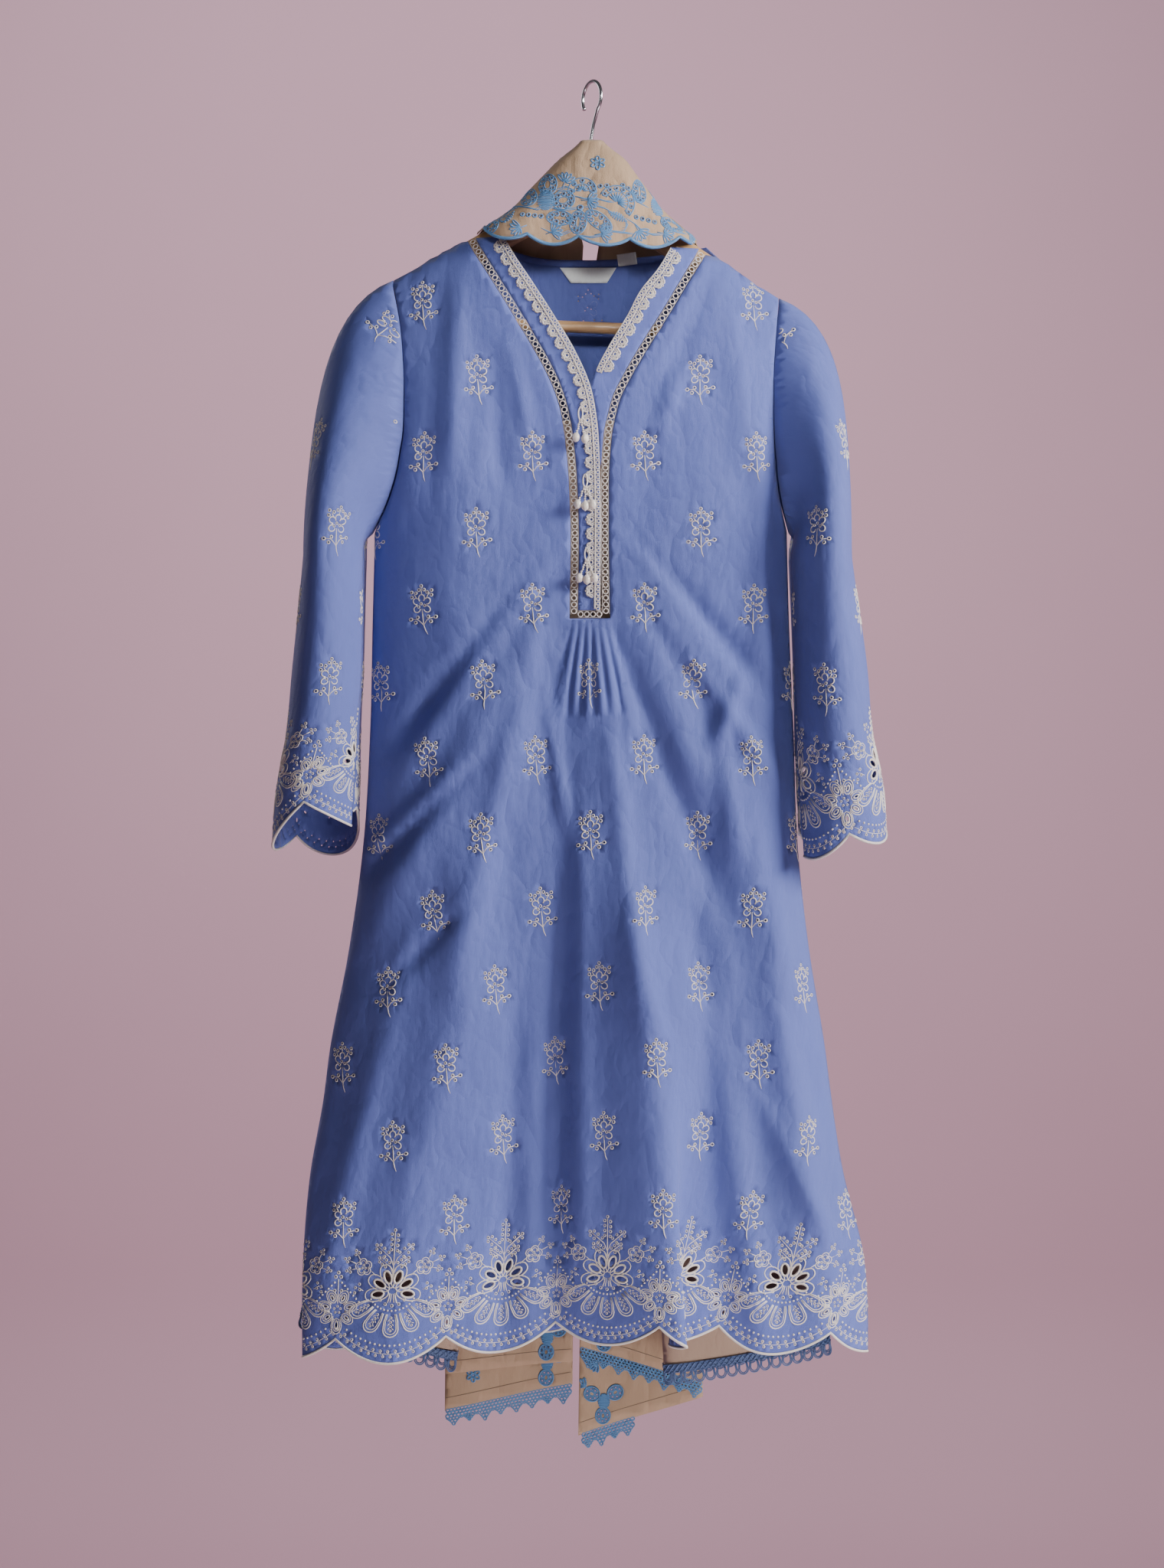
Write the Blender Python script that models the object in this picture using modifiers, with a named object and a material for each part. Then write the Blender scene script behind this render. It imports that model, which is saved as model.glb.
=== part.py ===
"""A three-piece salwar kameez suit on a wooden hanger: a long kameez with an openwork neck and a
scalloped hem, trousers hung inside it from the hanger's bar, and a dupatta laid round the hanger's
neck with both of its tails behind.

Metres, +Z up. The origin is the inside top of the hanger's hook; X runs to the right and Y away from
the viewer, so a panel's drop is -Z. A cloth is a set of rows at known drops. A place on a flat cut
(across, drop) is found on the hung cloth by the distance along its row, so widths stay true.
"""
import math

import bmesh
import bpy
import numpy as np
from mathutils import Matrix, Vector
from mathutils.geometry import delaunay_2d_cdt

SUIT = "salwar_kameez_suit"
WALL = 0.0012              # cloth wall
TRIM_WALL = 0.0010         # crochet trim, braid and labels
SEAM = 0.0003              # gap between sewn pieces
OVERLAY = 0.0006           # gap under a trim that lies on a panel

REPEAT = 0.110             # width of the embroidery repeat and of one scallop
SCALLOP = 0.023            # height of a scallop from its lowest point to its cusp
HEM_DROP = 1.259           # lowest point of the kameez hem, measured down the cloth
MEDALLION_UP = 0.071       # medallion centre above the scallop's lowest point
PETAL_OUT = 0.0150         # its six petal holes: distance out, half length, half width, turn
PETAL_LONG, PETAL_WIDE, PETAL_STEP = 0.0056, 0.0028, 40
FRONT_PHASE = 0.016        # across position of a medallion on the front and on the back
BACK_PHASE = -0.039
CUFF_PHASE = 0.030         # the same on a sleeve, from its outer line
UNDERARM = 0.445           # drop of the underarm point
ARMHOLE_PARTS = 12         # steps down an armhole, shared by the body and the sleeve
NECK_FOOT = 0.5325         # drop of the lower edge of the openwork box under the placket
INSERTION = 0.0078         # width of the openwork insertion
HANGER_TILT = math.radians(2.3)
HANGER_HALF = 0.190
BAR_DROP = 0.2415          # the bar's axis, measured down the hanger
BAR_HALF = 0.1484          # it ends at the lobes under the arms
BAR_RADIUS = 0.00575
WIRE = 0.00175             # radius of the hook's wire
HOOK_RADIUS = 0.0165       # the hook's round, to the middle of the wire
HOOK_BEND = -0.042         # height where the shank bends into the round
HOOK_YAW = math.radians(57)
LOOP_PITCH = 0.0107        # trouser lace: one loop
LOOP_HEIGHT = 0.0125
BRAID = 0.0084             # height of the braid that carries the loops
PICOT_PITCH = 0.0143       # neck trim: one pointed scallop
TRIM_BODY = 0.0110         # its straight part
PICOT = 0.0050             # and the scallops' height
FACING = 0.0064            # height of the back neck facing that shows
TAPE_WIDTH = 0.008         # tapes that hang the trousers from the bar


def table(columns, *rows):
    """Rows of numbers as one array for each named column; the first column is the one looked up."""
    names = columns.split()
    return {name: np.array([row[i] for row in rows], float) for i, name in enumerate(names)}


def along(rows, column, at):
    """A column's value at a place in the table's first column, on a smooth curve through the rows."""
    xs, ys = list(rows.values())[0], rows[column]
    slopes = np.gradient(ys, xs)
    at = np.clip(np.asarray(at, float), xs[0], xs[-1])
    i = np.clip(np.searchsorted(xs, at) - 1, 0, len(xs) - 2)
    step = xs[i + 1] - xs[i]
    u = (at - xs[i]) / step
    return ((1 + 2 * u) * (1 - u) ** 2 * ys[i] + u * (1 - u) ** 2 * step * slopes[i]
            + u * u * (3 - 2 * u) * ys[i + 1] + u * u * (u - 1) * step * slopes[i + 1])


# ---------------------------------------------------------------- measurements
KAMEEZ = table(
    "drop left right front back slit",
    (0.15, -0.2130, 0.1920, 0.031, 0.029, 0.0),
    (0.45, -0.2140, 0.1920, 0.037, 0.034, 0.0),
    (0.53, -0.2160, 0.1940, 0.038, 0.034, 0.0),
    (0.64, -0.2185, 0.1985, 0.038, 0.034, 0.0),
    (0.76, -0.2260, 0.2030, 0.040, 0.036, 0.0),
    (0.86, -0.2400, 0.2140, 0.042, 0.037, 0.0),
    (0.96, -0.2590, 0.2300, 0.044, 0.038, 0.0),
    (1.00, -0.2640, 0.2350, 0.045, 0.039, 0.0),
    (1.08, -0.2775, 0.2470, 0.046, 0.040, 0.006),
    (1.16, -0.2835, 0.2660, 0.048, 0.042, 0.014),
    (1.28, -0.2840, 0.2715, 0.050, 0.044, 0.018),
)
# A ridge line runs from its top to its foot; a negative height is a trough.
FOLDS = "top_drop top_x foot_drop foot_x top_width foot_width height"
FRONT_FOLDS = table(
    FOLDS,
    (0.445, -0.036, 0.690, -0.190, 0.012, 0.026, 0.0045),
    (0.505, -0.038, 0.830, -0.215, 0.012, 0.030, 0.0055),
    (0.435, 0.028, 0.600, 0.135, 0.012, 0.024, 0.0040),
    (0.495, 0.030, 0.700, 0.110, 0.012, 0.024, 0.0045),
    (0.180, -0.130, 0.400, -0.168, 0.014, 0.020, 0.0040),
    (0.185, 0.128, 0.380, 0.158, 0.014, 0.020, 0.0035),
)
# Long pleats of the kameez front: the crests and troughs across it, each as x and height, at rising drops.
PLEATS = (
    (0.255, (-0.135, 0.0), (-0.065, 0.0), (-0.035, 0.0), (0.0, 0.0), (0.055, 0.0), (0.100, 0.0), (0.145, 0.0)),
    (0.405, (-0.135, 6.0), (-0.065, -4.0), (-0.035, -4.0), (0.0, -3.0), (0.055, -2.0), (0.100, 2.0), (0.145, 2.0)),
    (0.500, (-0.135, 5.0), (-0.075, -1.0), (-0.036, -4.0), (0.004, -3.0), (0.055, -1.0), (0.105, 1.0), (0.150, 3.0)),
    (0.580, (-0.120, 5.0), (-0.080, 2.0), (-0.036, -2.0), (0.009, 1.0), (0.065, 1.0), (0.110, 1.0), (0.158, 4.0)),
    (0.675, (-0.110, 7.0), (-0.082, 7.0), (-0.036, -1.0), (0.012, 4.5), (0.065, 0.0), (0.110, 1.0), (0.162, 7.0)),
    (0.765, (-0.127, 10.0), (-0.090, 0.0), (-0.036, -4.0), (0.016, 5.0), (0.075, -2.0), (0.115, -2.0), (0.160, 8.0)),
    (0.848, (-0.127, 10.0), (-0.082, -3.0), (-0.036, -7.5), (0.034, 14.0), (0.100, -1.0), (0.145, 2.0), (0.185, 15.0)),
    (0.920, (-0.128, 11.0), (-0.082, -4.5), (-0.036, -10.0), (0.054, 19.0), (0.120, 1.0), (0.162, 5.0), (0.191, 15.0)),
    (0.998, (-0.150, 10.0), (-0.100, -5.0), (-0.036, -12.0), (0.054, 18.5), (0.122, 0.0), (0.168, 2.0), (0.197, 13.5)),
    (1.073, (-0.173, 9.5), (-0.105, -7.0), (-0.034, -13.0), (0.055, 18.0), (0.122, 1.0), (0.168, 1.5), (0.213, 14.0)),
    (1.160, (-0.185, 7.0), (-0.110, -9.0), (-0.032, -14.0), (0.057, 17.0), (0.124, -1.0), (0.170, -1.0), (0.222, 11.0)),
    (1.285, (-0.197, 6.0), (-0.110, -9.0), (-0.030, -14.0), (0.060, 16.0), (0.126, -2.0), (0.176, 0.0), (0.232, 9.0)),
)
PLEAT_SOFTNESS = 0.012     # how far a pleat's crest is rounded, to each side
BACK_FOLDS = table(
    FOLDS,
    (0.480, -0.060, 1.265, -0.120, 0.020, 0.045, 0.010),
    (0.520, 0.070, 1.265, 0.105, 0.020, 0.045, 0.010),
    (0.560, 0.000, 1.265, -0.010, 0.020, 0.040, 0.009),
    (0.620, -0.150, 1.265, -0.220, 0.018, 0.038, 0.010),
    (0.640, 0.130, 1.265, 0.205, 0.018, 0.034, 0.009),
    (0.560, -0.030, 1.265, -0.066, 0.018, 0.026, -0.007),
    (0.560, 0.040, 1.265, 0.048, 0.018, 0.026, -0.007),
    (0.640, -0.105, 1.265, -0.168, 0.018, 0.028, -0.007),
    (0.640, 0.105, 1.265, 0.155, 0.018, 0.026, -0.006),
    (0.190, -0.120, 0.430, -0.150, 0.016, 0.024, 0.0035),
    (0.190, 0.112, 0.430, 0.140, 0.016, 0.024, 0.0035),
)
# The front's one overlapping fold: cloth from its left turns under and shows again on its right.
OVERLAP = dict(top_drop=0.90, x=0.083, width=0.028, across=0.058, depth=0.026)

ARM_TOP = table(
    "out drop height half_depth",
    (0.000, 0.0880, 0.034, 0.0070),
    (0.030, 0.1050, 0.034, 0.0070),
    (0.060, 0.1250, 0.032, 0.0068),
    (0.120, 0.1630, 0.030, 0.0066),
    (0.148, 0.1797, 0.029, 0.0062),
    (0.149, 0.1803, 0.067, 0.0062),
    (0.160, 0.1875, 0.060, 0.0058),
    (0.168, 0.1935, 0.044, 0.0050),
    (0.175, 0.1980, 0.032, 0.0044),
    (0.187, 0.2080, 0.018, 0.0030),
    (0.190, 0.2120, 0.010, 0.0020),
)
# Centre lines of the openwork insertion and the two edges of the neck opening.
INSERTION_LEFT = table(
    "drop x",
    (0.1560, -0.1215), (0.1880, -0.1010), (0.2350, -0.0720), (0.2590, -0.0578), (0.2815, -0.0450),
    (0.3010, -0.0357), (0.3210, -0.0287), (0.3390, -0.0248), (0.3710, -0.0207), (0.4330, -0.0172),
    (0.5247, -0.0178),
)
INSERTION_RIGHT = table(
    "drop x",
    (0.1650, 0.1140), (0.1905, 0.0970), (0.2325, 0.0716), (0.2735, 0.0461), (0.2985, 0.0320),
    (0.3130, 0.0248), (0.3300, 0.0198), (0.3450, 0.0164), (0.3710, 0.0137), (0.4330, 0.0125),
    (0.5247, 0.0135),
)
NECK_LEFT = table(
    "drop x",
    (0.1552, -0.0872), (0.1752, -0.0757), (0.2025, -0.0577), (0.2370, -0.0357), (0.2677, -0.0175),
    (0.3022, -0.0022), (0.3370, 0.0047), (0.3712, 0.0072), (0.4055, 0.0082), (0.5247, 0.0080),
)
NECK_RIGHT = table(
    "drop x",
    (0.1655, 0.0785), (0.1890, 0.0642), (0.2095, 0.0479), (0.2350, 0.0343), (0.2606, 0.0188),
    (0.2842, 0.0060), (0.3022, -0.0010),
)
BACK_NECK = table(
    "x drop",
    (-0.1180, 0.1555), (-0.0850, 0.1605), (-0.0630, 0.1665), (-0.0030, 0.1700), (0.0550, 0.1675),
    (0.0850, 0.1655), (0.1130, 0.1625),
)
ARMHOLE_LEFT = table(
    "drop x",
    (0.2000, -0.1960), (0.2350, -0.1890), (0.3000, -0.1840), (0.3600, -0.1865), (0.4100, -0.1980),
    (0.4450, -0.2139),
)
ARMHOLE_RIGHT = table(
    "drop x",
    (0.2080, 0.1850), (0.2400, 0.1820), (0.3000, 0.1780), (0.3600, 0.1790), (0.4100, 0.1840),
    (0.4450, 0.1919),
)
# Sleeve sections: a flattened oval, its long axis turned from front-to-back by `turn` degrees.
# `lean` and `slope` raise the ring along its short and long axes.
SLEEVE = "drop x y long short turn lean slope"
SLEEVE_LEFT = table(
    SLEEVE,
    (0.470, -0.2535, -0.003, 0.0590, 0.0276, -10, 0.0, 0.0),
    (0.585, -0.2609, -0.003, 0.0545, 0.0334, -8, -0.05, -0.05),
    (0.650, -0.2654, -0.004, 0.0535, 0.0342, -13, -0.15, -0.12),
    (0.700, -0.2705, -0.004, 0.0490, 0.0387, -20, -0.28, -0.22),
    (0.790, -0.2738, -0.004, 0.0475, 0.0396, -26, -0.45, -0.36),
)
SLEEVE_RIGHT = table(
    SLEEVE,
    (0.470, 0.2251, -0.003, 0.0580, 0.0284, -8, 0.0, 0.0),
    (0.585, 0.2354, -0.003, 0.0520, 0.0353, -7, 0.05, 0.05),
    (0.650, 0.2387, -0.004, 0.0515, 0.0367, -11, 0.15, 0.12),
    (0.700, 0.2448, -0.004, 0.0475, 0.0406, -16, 0.26, 0.22),
    (0.790, 0.2489, -0.004, 0.0475, 0.0407, -20, 0.42, 0.36),
)
CUFF_DROP = 0.750          # lowest point of the cuff, measured down the sleeve
CAP_DROP = 0.470           # the sleeve cap ends here and the plain tube starts

WAIST_TOP, WAIST_FOOT, WAIST_DEPTH = 0.3360, 0.3660, 0.0160
LEG = "drop outer inner depth turn rise"
LEG_LEFT = table(
    LEG,
    (0.366, -0.1720, -0.0006, 0.0160, 90, 0.0),
    (0.570, -0.1880, -0.0006, 0.0200, 90, 0.0),
    (0.600, -0.1900, -0.0006, 0.0200, 90, 0.0),
    (0.660, -0.1960, -0.0130, 0.0210, 180, 0.0),
    (0.800, -0.2120, -0.0500, 0.0200, 180, 0.008),
    (1.000, -0.2400, -0.0900, 0.0200, 180, 0.020),
    (1.150, -0.2680, -0.1200, 0.0200, 180, 0.035),
    (1.290, -0.2920, -0.1380, 0.0190, 180, 0.046),
)
LEG_RIGHT = table(
    LEG,
    (0.366, 0.1650, 0.0006, 0.0160, 90, 0.0),
    (0.570, 0.1750, 0.0006, 0.0200, 90, 0.0),
    (0.600, 0.1760, 0.0006, 0.0200, 90, 0.0),
    (0.660, 0.1790, 0.0110, 0.0210, 180, 0.0),
    (0.800, 0.1860, 0.0300, 0.0200, 180, 0.004),
    (1.000, 0.2060, 0.0500, 0.0200, 180, 0.010),
    (1.150, 0.2220, 0.0640, 0.0220, 180, 0.020),
    (1.290, 0.2360, 0.0730, 0.0220, 180, 0.031),
)
LEG_HEM = {"left": 1.262, "right": 1.2745}

BIB = table(
    "drop left right depth",
    (0.0520, -0.0060, 0.0060, 0.005),
    (0.0615, -0.0140, 0.0140, 0.009),
    (0.0770, -0.0330, 0.0330, 0.018),
    (0.0910, -0.0465, 0.0430, 0.025),
    (0.1050, -0.0600, 0.0535, 0.030),
    (0.1270, -0.0810, 0.0700, 0.036),
    (0.1400, -0.1000, 0.0830, 0.039),
    (0.1480, -0.1130, 0.0930, 0.040),
    (0.1560, -0.1130, 0.1030, 0.041),
    (0.1680, -0.1130, 0.1030, 0.042),
)
BIB_SCALLOP, BIB_PITCH, BIB_PHASE = 0.0085, 0.0505, -0.0385
BIB_HEM = table("x drop", (-0.115, 0.1500), (-0.0630, 0.1610), (0.0, 0.1640), (0.055, 0.1660), (0.105, 0.1600))
TAIL = "drop outer inner outer_y inner_y"
TAIL_LEFT = table(
    TAIL,
    (0.062, -0.0140, -0.0050, 0.0003, 0.008),
    (0.091, -0.0465, -0.0060, 0.0003, 0.018),
    (0.127, -0.0810, -0.0070, 0.0003, 0.030),
    (0.148, -0.1130, -0.0080, 0.0010, 0.037),
    (0.175, -0.1240, -0.0090, 0.030, 0.041),
    (0.230, -0.1300, -0.0100, 0.044, 0.044),
    (0.450, -0.1340, -0.0130, 0.0475, 0.0475),
    (0.800, -0.1400, -0.0160, 0.0535, 0.0535),
    (1.100, -0.1460, -0.0180, 0.0590, 0.0590),
    (1.380, -0.1490, -0.0200, 0.0600, 0.0600),
)
TAIL_RIGHT = table(
    TAIL,
    (0.062, 0.0140, 0.0050, 0.0006, 0.008),
    (0.091, 0.0430, 0.0060, 0.0006, 0.018),
    (0.127, 0.0700, 0.0060, 0.0006, 0.030),
    (0.156, 0.1030, 0.0050, 0.0012, 0.038),
    (0.180, 0.1120, 0.0030, 0.030, 0.041),
    (0.230, 0.1150, 0.0010, 0.044, 0.044),
    (0.450, 0.1150, -0.0020, 0.0475, 0.0475),
    (0.800, 0.1140, -0.0060, 0.0535, 0.0535),
    (1.100, 0.1130, -0.0100, 0.0590, 0.0590),
    (1.380, 0.1120, -0.0140, 0.0600, 0.0600),
)
TAIL_LAYER = 0.0046        # distance between a tail's two layers
LAYER_TOP = 0.260          # the tails' second layers start here
# Hems of the tail layers: the drop at the outer and at the inner edge.
TAIL_HEMS = {
    ("left", "near"): (1.288, 1.276),
    ("left", "far"): (1.326, 1.300),
    ("right", "near"): (1.298, 1.262),
    ("right", "far"): (1.312, 1.352),
}
DUPATTA_LACE = 0.0130
TASSELS = table("drop x strands", (0.3255, -0.0112, 2), (0.3910, -0.0066, 3), (0.4635, -0.0050, 3))

COLOURS = {
    "periwinkle_cloth": ((0.130, 0.190, 0.560), 0.55, 0.0),
    "ivory_crochet": ((0.720, 0.640, 0.580), 0.75, 0.0),
    "cream_cloth": ((0.600, 0.460, 0.320), 0.70, 0.0),
    "slate_braid": ((0.060, 0.085, 0.170), 0.70, 0.0),
    "sky_lace": ((0.100, 0.240, 0.450), 0.70, 0.0),
    "honey_wood": ((0.500, 0.270, 0.110), 0.40, 0.0),
    "chrome_wire": ((0.700, 0.700, 0.720), 0.18, 1.0),
    "pearl": ((0.740, 0.690, 0.610), 0.25, 0.0),
    "label_tape": ((0.720, 0.700, 0.660), 0.60, 0.0),
}


# ---------------------------------------------------------------- objects
def clear_scene():
    """Removes what the scene holds and makes the suit's collection and its materials."""
    for thing in list(bpy.data.objects):
        bpy.data.objects.remove(thing, do_unlink=True)
    suit = bpy.data.collections.new(SUIT)
    bpy.context.scene.collection.children.link(suit)
    for name, (colour, roughness, metallic) in COLOURS.items():
        material = bpy.data.materials.new(name)
        material.use_nodes = True
        shader = material.node_tree.nodes["Principled BSDF"]
        shader.inputs["Base Color"].default_value = (*colour, 1.0)
        shader.inputs["Roughness"].default_value = roughness
        shader.inputs["Metallic"].default_value = metallic


def add_object(name, data, material):
    """Puts a mesh or a curve in the suit's collection with its material."""
    thing = bpy.data.objects.new(name, data)
    data.materials.append(bpy.data.materials[material])
    bpy.data.collections[SUIT].objects.link(thing)
    return thing


def solidify(thing, thickness):
    """Turns an open surface into a wall on its outer side."""
    wall = thing.modifiers.new("wall", "SOLIDIFY")
    wall.thickness = thickness
    wall.offset = 1.0
    wall.use_even_offset = False
    wall.use_quality_normals = True
    return thing


def tidy_mesh(name, points, faces):
    """A mesh from worked-out points and faces."""
    mesh = bpy.data.meshes.new(name)
    mesh.from_pydata([tuple(map(float, p)) for p in points], [], [tuple(map(int, f)) for f in faces])
    mesh.validate()
    mesh.shade_smooth()
    return mesh


# ---------------------------------------------------------------- cloth
class Cloth:
    """Rows of points at rising drops; `across` is the distance along each row from its zero."""

    def __init__(self, drops, rows, zero, side):
        self.drops, self.rows, self.side = np.asarray(drops), np.asarray(rows), side
        steps = np.linalg.norm(np.diff(self.rows, axis=1), axis=2)
        lengths = np.concatenate([np.zeros((len(drops), 1)), np.cumsum(steps, axis=1)], axis=1)
        start = [np.interp(zero, row[:, 0], length) if zero is not None else 0.0
                 for row, length in zip(self.rows, lengths)]
        self.across = lengths - np.array(start)[:, None]
        self.columns = np.arange(self.rows.shape[1])

    def on_row(self, row, across):
        column = np.interp(across, self.across[row], self.columns)
        return np.stack([np.interp(column, self.columns, self.rows[row][:, k]) for k in range(3)], axis=-1)

    def points(self, flat):
        flat = np.atleast_2d(flat)
        place = np.clip(np.interp(flat[:, 1], self.drops, np.arange(len(self.drops))), 0, len(self.drops) - 1.001)
        row = place.astype(int)
        result = np.zeros((len(flat), 3))
        for r in np.unique(row):
            here = row == r
            share = (place[here] - r)[:, None]
            result[here] = (self.on_row(r, flat[here, 0]) * (1 - share)
                            + self.on_row(r + 1, flat[here, 0]) * share)
        return result

    def place(self, flat, lift=0.0):
        """Points of the hung cloth for flat places, moved out from its inner side by `lift`."""
        flat = np.atleast_2d(np.asarray(flat, float))
        base = self.points(flat)
        if not np.any(lift):
            return base
        step = 0.0015
        middle = np.interp(flat[:, 1], self.drops, self.across.mean(axis=1))
        turn = np.where(flat[:, 0] > middle, -step, step)
        sideways = (self.points(flat + np.stack([turn, 0 * turn], 1)) - base) * np.sign(turn)[:, None]
        down = self.points(flat + (0, step)) - self.points(flat - (0, step))
        normal = np.cross(sideways, down) * self.side
        normal /= np.linalg.norm(normal, axis=1)[:, None] + 1e-12
        return base + normal * lift

    def edge(self, drop, last=False):
        """Across position of the first or last point of the row at a drop."""
        return float(np.interp(drop, self.drops, self.across[:, -1 if last else 0]))

    def across_at(self, x, drop):
        """Across position of the point of the row at a drop that lies at x."""
        row = int(np.clip(np.searchsorted(self.drops, drop), 0, len(self.drops) - 1))
        order = np.argsort(self.rows[row][:, 0])
        return float(np.interp(x, self.rows[row][order, 0], self.across[row][order]))


def resample(points, step):
    """Points along an open line at about equal steps."""
    points = np.asarray(points, float)
    lengths = np.concatenate([[0], np.cumsum(np.linalg.norm(np.diff(points, axis=0), axis=1))])
    count = max(1, int(round(lengths[-1] / step)))
    at = np.linspace(0, lengths[-1], count + 1)
    return np.stack([np.interp(at, lengths, points[:, k]) for k in range(2)], axis=1)


def inside(points, outline):
    """True for each point inside a closed outline."""
    x, y = points[:, 0][:, None], points[:, 1][:, None]
    x0, y0 = outline[:, 0][None], outline[:, 1][None]
    x1, y1 = np.roll(outline, -1, axis=0).T[:, None]
    rise = np.where(y1 == y0, 1e-12, y1 - y0)
    crossing = ((y0 > y) != (y1 > y)) & (x < (x1 - x0) * (y - y0) / rise + x0)
    return crossing.sum(axis=1) % 2 == 1


def cut(outline, holes=(), spacing=(0.028, 0.066), rows=(), margin=0.42):
    """Triangles of a flat piece: outline, holes, a spaced fill and any extra points."""
    outline = np.asarray(outline, float)
    squash = spacing[0] / spacing[1]
    low, high = outline.min(axis=0), outline.max(axis=0)
    drops = np.arange(low[1] + spacing[1] / 2, high[1], spacing[1])
    fill = [(a + (k % 2) * spacing[0] / 2, d) for k, d in enumerate(drops)
            for a in np.arange(low[0], high[0], spacing[0])]
    fill = np.array(list(rows) + fill, float).reshape(-1, 2)
    keep = inside(fill, outline)
    edge_points = np.concatenate([outline, *[np.asarray(h, float) for h in holes]])
    scale = np.array([1.0, squash])
    gap = np.linalg.norm((fill[:, None] - edge_points[None]) * scale, axis=2).min(axis=1)
    reach = np.where(np.arange(len(fill)) < len(rows), 0.08, margin) * spacing[0]
    keep &= gap > reach
    for hole in holes:
        centre = np.mean(hole, axis=0)
        radius = np.linalg.norm((np.asarray(hole) - centre) * scale, axis=1).max()
        keep &= np.linalg.norm((fill - centre) * scale, axis=1) > radius + 0.15 * spacing[0]
    loops = [outline, *[np.asarray(h, float) for h in holes]]
    points, edges = [], []
    for loop in loops:
        start = len(points)
        points.extend(loop)
        edges.extend((start + i, start + (i + 1) % len(loop)) for i in range(len(loop)))
    points.extend(fill[keep])
    result = delaunay_2d_cdt([Vector((p[0], p[1] * squash)) for p in points], edges, [], 0, 1e-7, False)
    flat = np.array([(v.x, v.y / squash) for v in result[0]])
    assert len(flat) == len(points)
    return flat, keep_inside([tuple(f) for f in result[2]], edges)


def keep_inside(triangles, edges):
    """The triangles inside the loops: each outline edge that is crossed goes in or out."""
    walls = {frozenset(e) for e in edges}
    beside = {}
    for index, (a, b, c) in enumerate(triangles):
        for pair in ((a, b), (b, c), (c, a)):
            beside.setdefault(frozenset(pair), []).append(index)
    state = {}
    queue = []
    for pair, owners in beside.items():
        if len(owners) == 1 and owners[0] not in state:
            state[owners[0]] = pair in walls
            queue.append(owners[0])
    while queue:
        index = queue.pop()
        a, b, c = triangles[index]
        for pair in (frozenset((a, b)), frozenset((b, c)), frozenset((c, a))):
            for other in beside[pair]:
                if other not in state:
                    state[other] = state[index] != (pair in walls)
                    queue.append(other)
    return [t for i, t in enumerate(triangles) if state[i]]


def hang(name, material, cloth, flat, faces, lift=0.0, thickness=WALL):
    """Hangs a cut piece on its cloth and gives it a wall."""
    a, b, c = flat[list(faces[0])]
    turn = (b[0] - a[0]) * (c[1] - a[1]) - (b[1] - a[1]) * (c[0] - a[0])
    if turn * cloth.side < 0:
        faces = [tuple(reversed(f)) for f in faces]
    mesh = tidy_mesh(name, cloth.place(flat, lift), faces)
    return solidify(add_object(name, mesh, material), thickness)


# ---------------------------------------------------------------- the hanger's lines
def tilted(x, drop):
    """A place on the hanger, turned with it about the hook."""
    c, s = math.cos(HANGER_TILT), math.sin(HANGER_TILT)
    return x * c - drop * s, drop * c + x * s


def arm_line():
    """The top line of both arms, as x and drop."""
    outs = np.linspace(-HANGER_HALF, HANGER_HALF, 81)
    return np.array([tilted(x, float(along(ARM_TOP, "drop", abs(x)))) for x in outs])


ARM_LINE = arm_line()


def shoulder(x):
    """Drop of the shoulder line: just above the arm, and on past its end at the same slope."""
    x = np.asarray(x, float)
    drop = np.interp(x, ARM_LINE[4:-4, 0], ARM_LINE[4:-4, 1])
    left, right = ARM_LINE[4, 0], ARM_LINE[-5, 0]
    drop = drop + np.clip(left - x, 0, None) * 0.5 + np.clip(x - right, 0, None) * 0.58
    return drop - 0.0015


# ---------------------------------------------------------------- the kameez
def fold_height(folds, x, drop):
    """Sum of the ridges and troughs at a place."""
    total = np.zeros_like(x)
    for top, top_x, foot, foot_x, thin, wide, height in zip(*folds.values()):
        share = (drop - top) / (foot - top)
        grow = np.clip(share, 0, 1) ** 0.7 * np.clip((1.15 - share) / 0.3, 0, 1)
        centre = top_x + (foot_x - top_x) * share
        width = thin + (wide - thin) * np.clip(share, 0, 1)
        total += height * grow * np.exp(-((x - centre) / width) ** 2)
    return total


def pleat_height(x, drop, left, right):
    """Height of the long pleats along a row, with soft crests and troughs."""
    tops = [row[0] for row in PLEATS]
    bends = np.array([row[1:] for row in PLEATS])
    places = [left, *(np.interp(drop, tops, bends[:, k, 0]) for k in range(bends.shape[1])), right]
    heights = [0.0, *(np.interp(drop, tops, bends[:, k, 1]) * 0.001 for k in range(bends.shape[1])), 0.0]
    total = np.zeros_like(x)
    for shift, weight in ((-1.0, 0.12), (-0.5, 0.23), (0.0, 0.30), (0.5, 0.23), (1.0, 0.12)):
        total += weight * np.interp(x + shift * PLEAT_SOFTNESS, places, heights)
    return total


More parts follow.
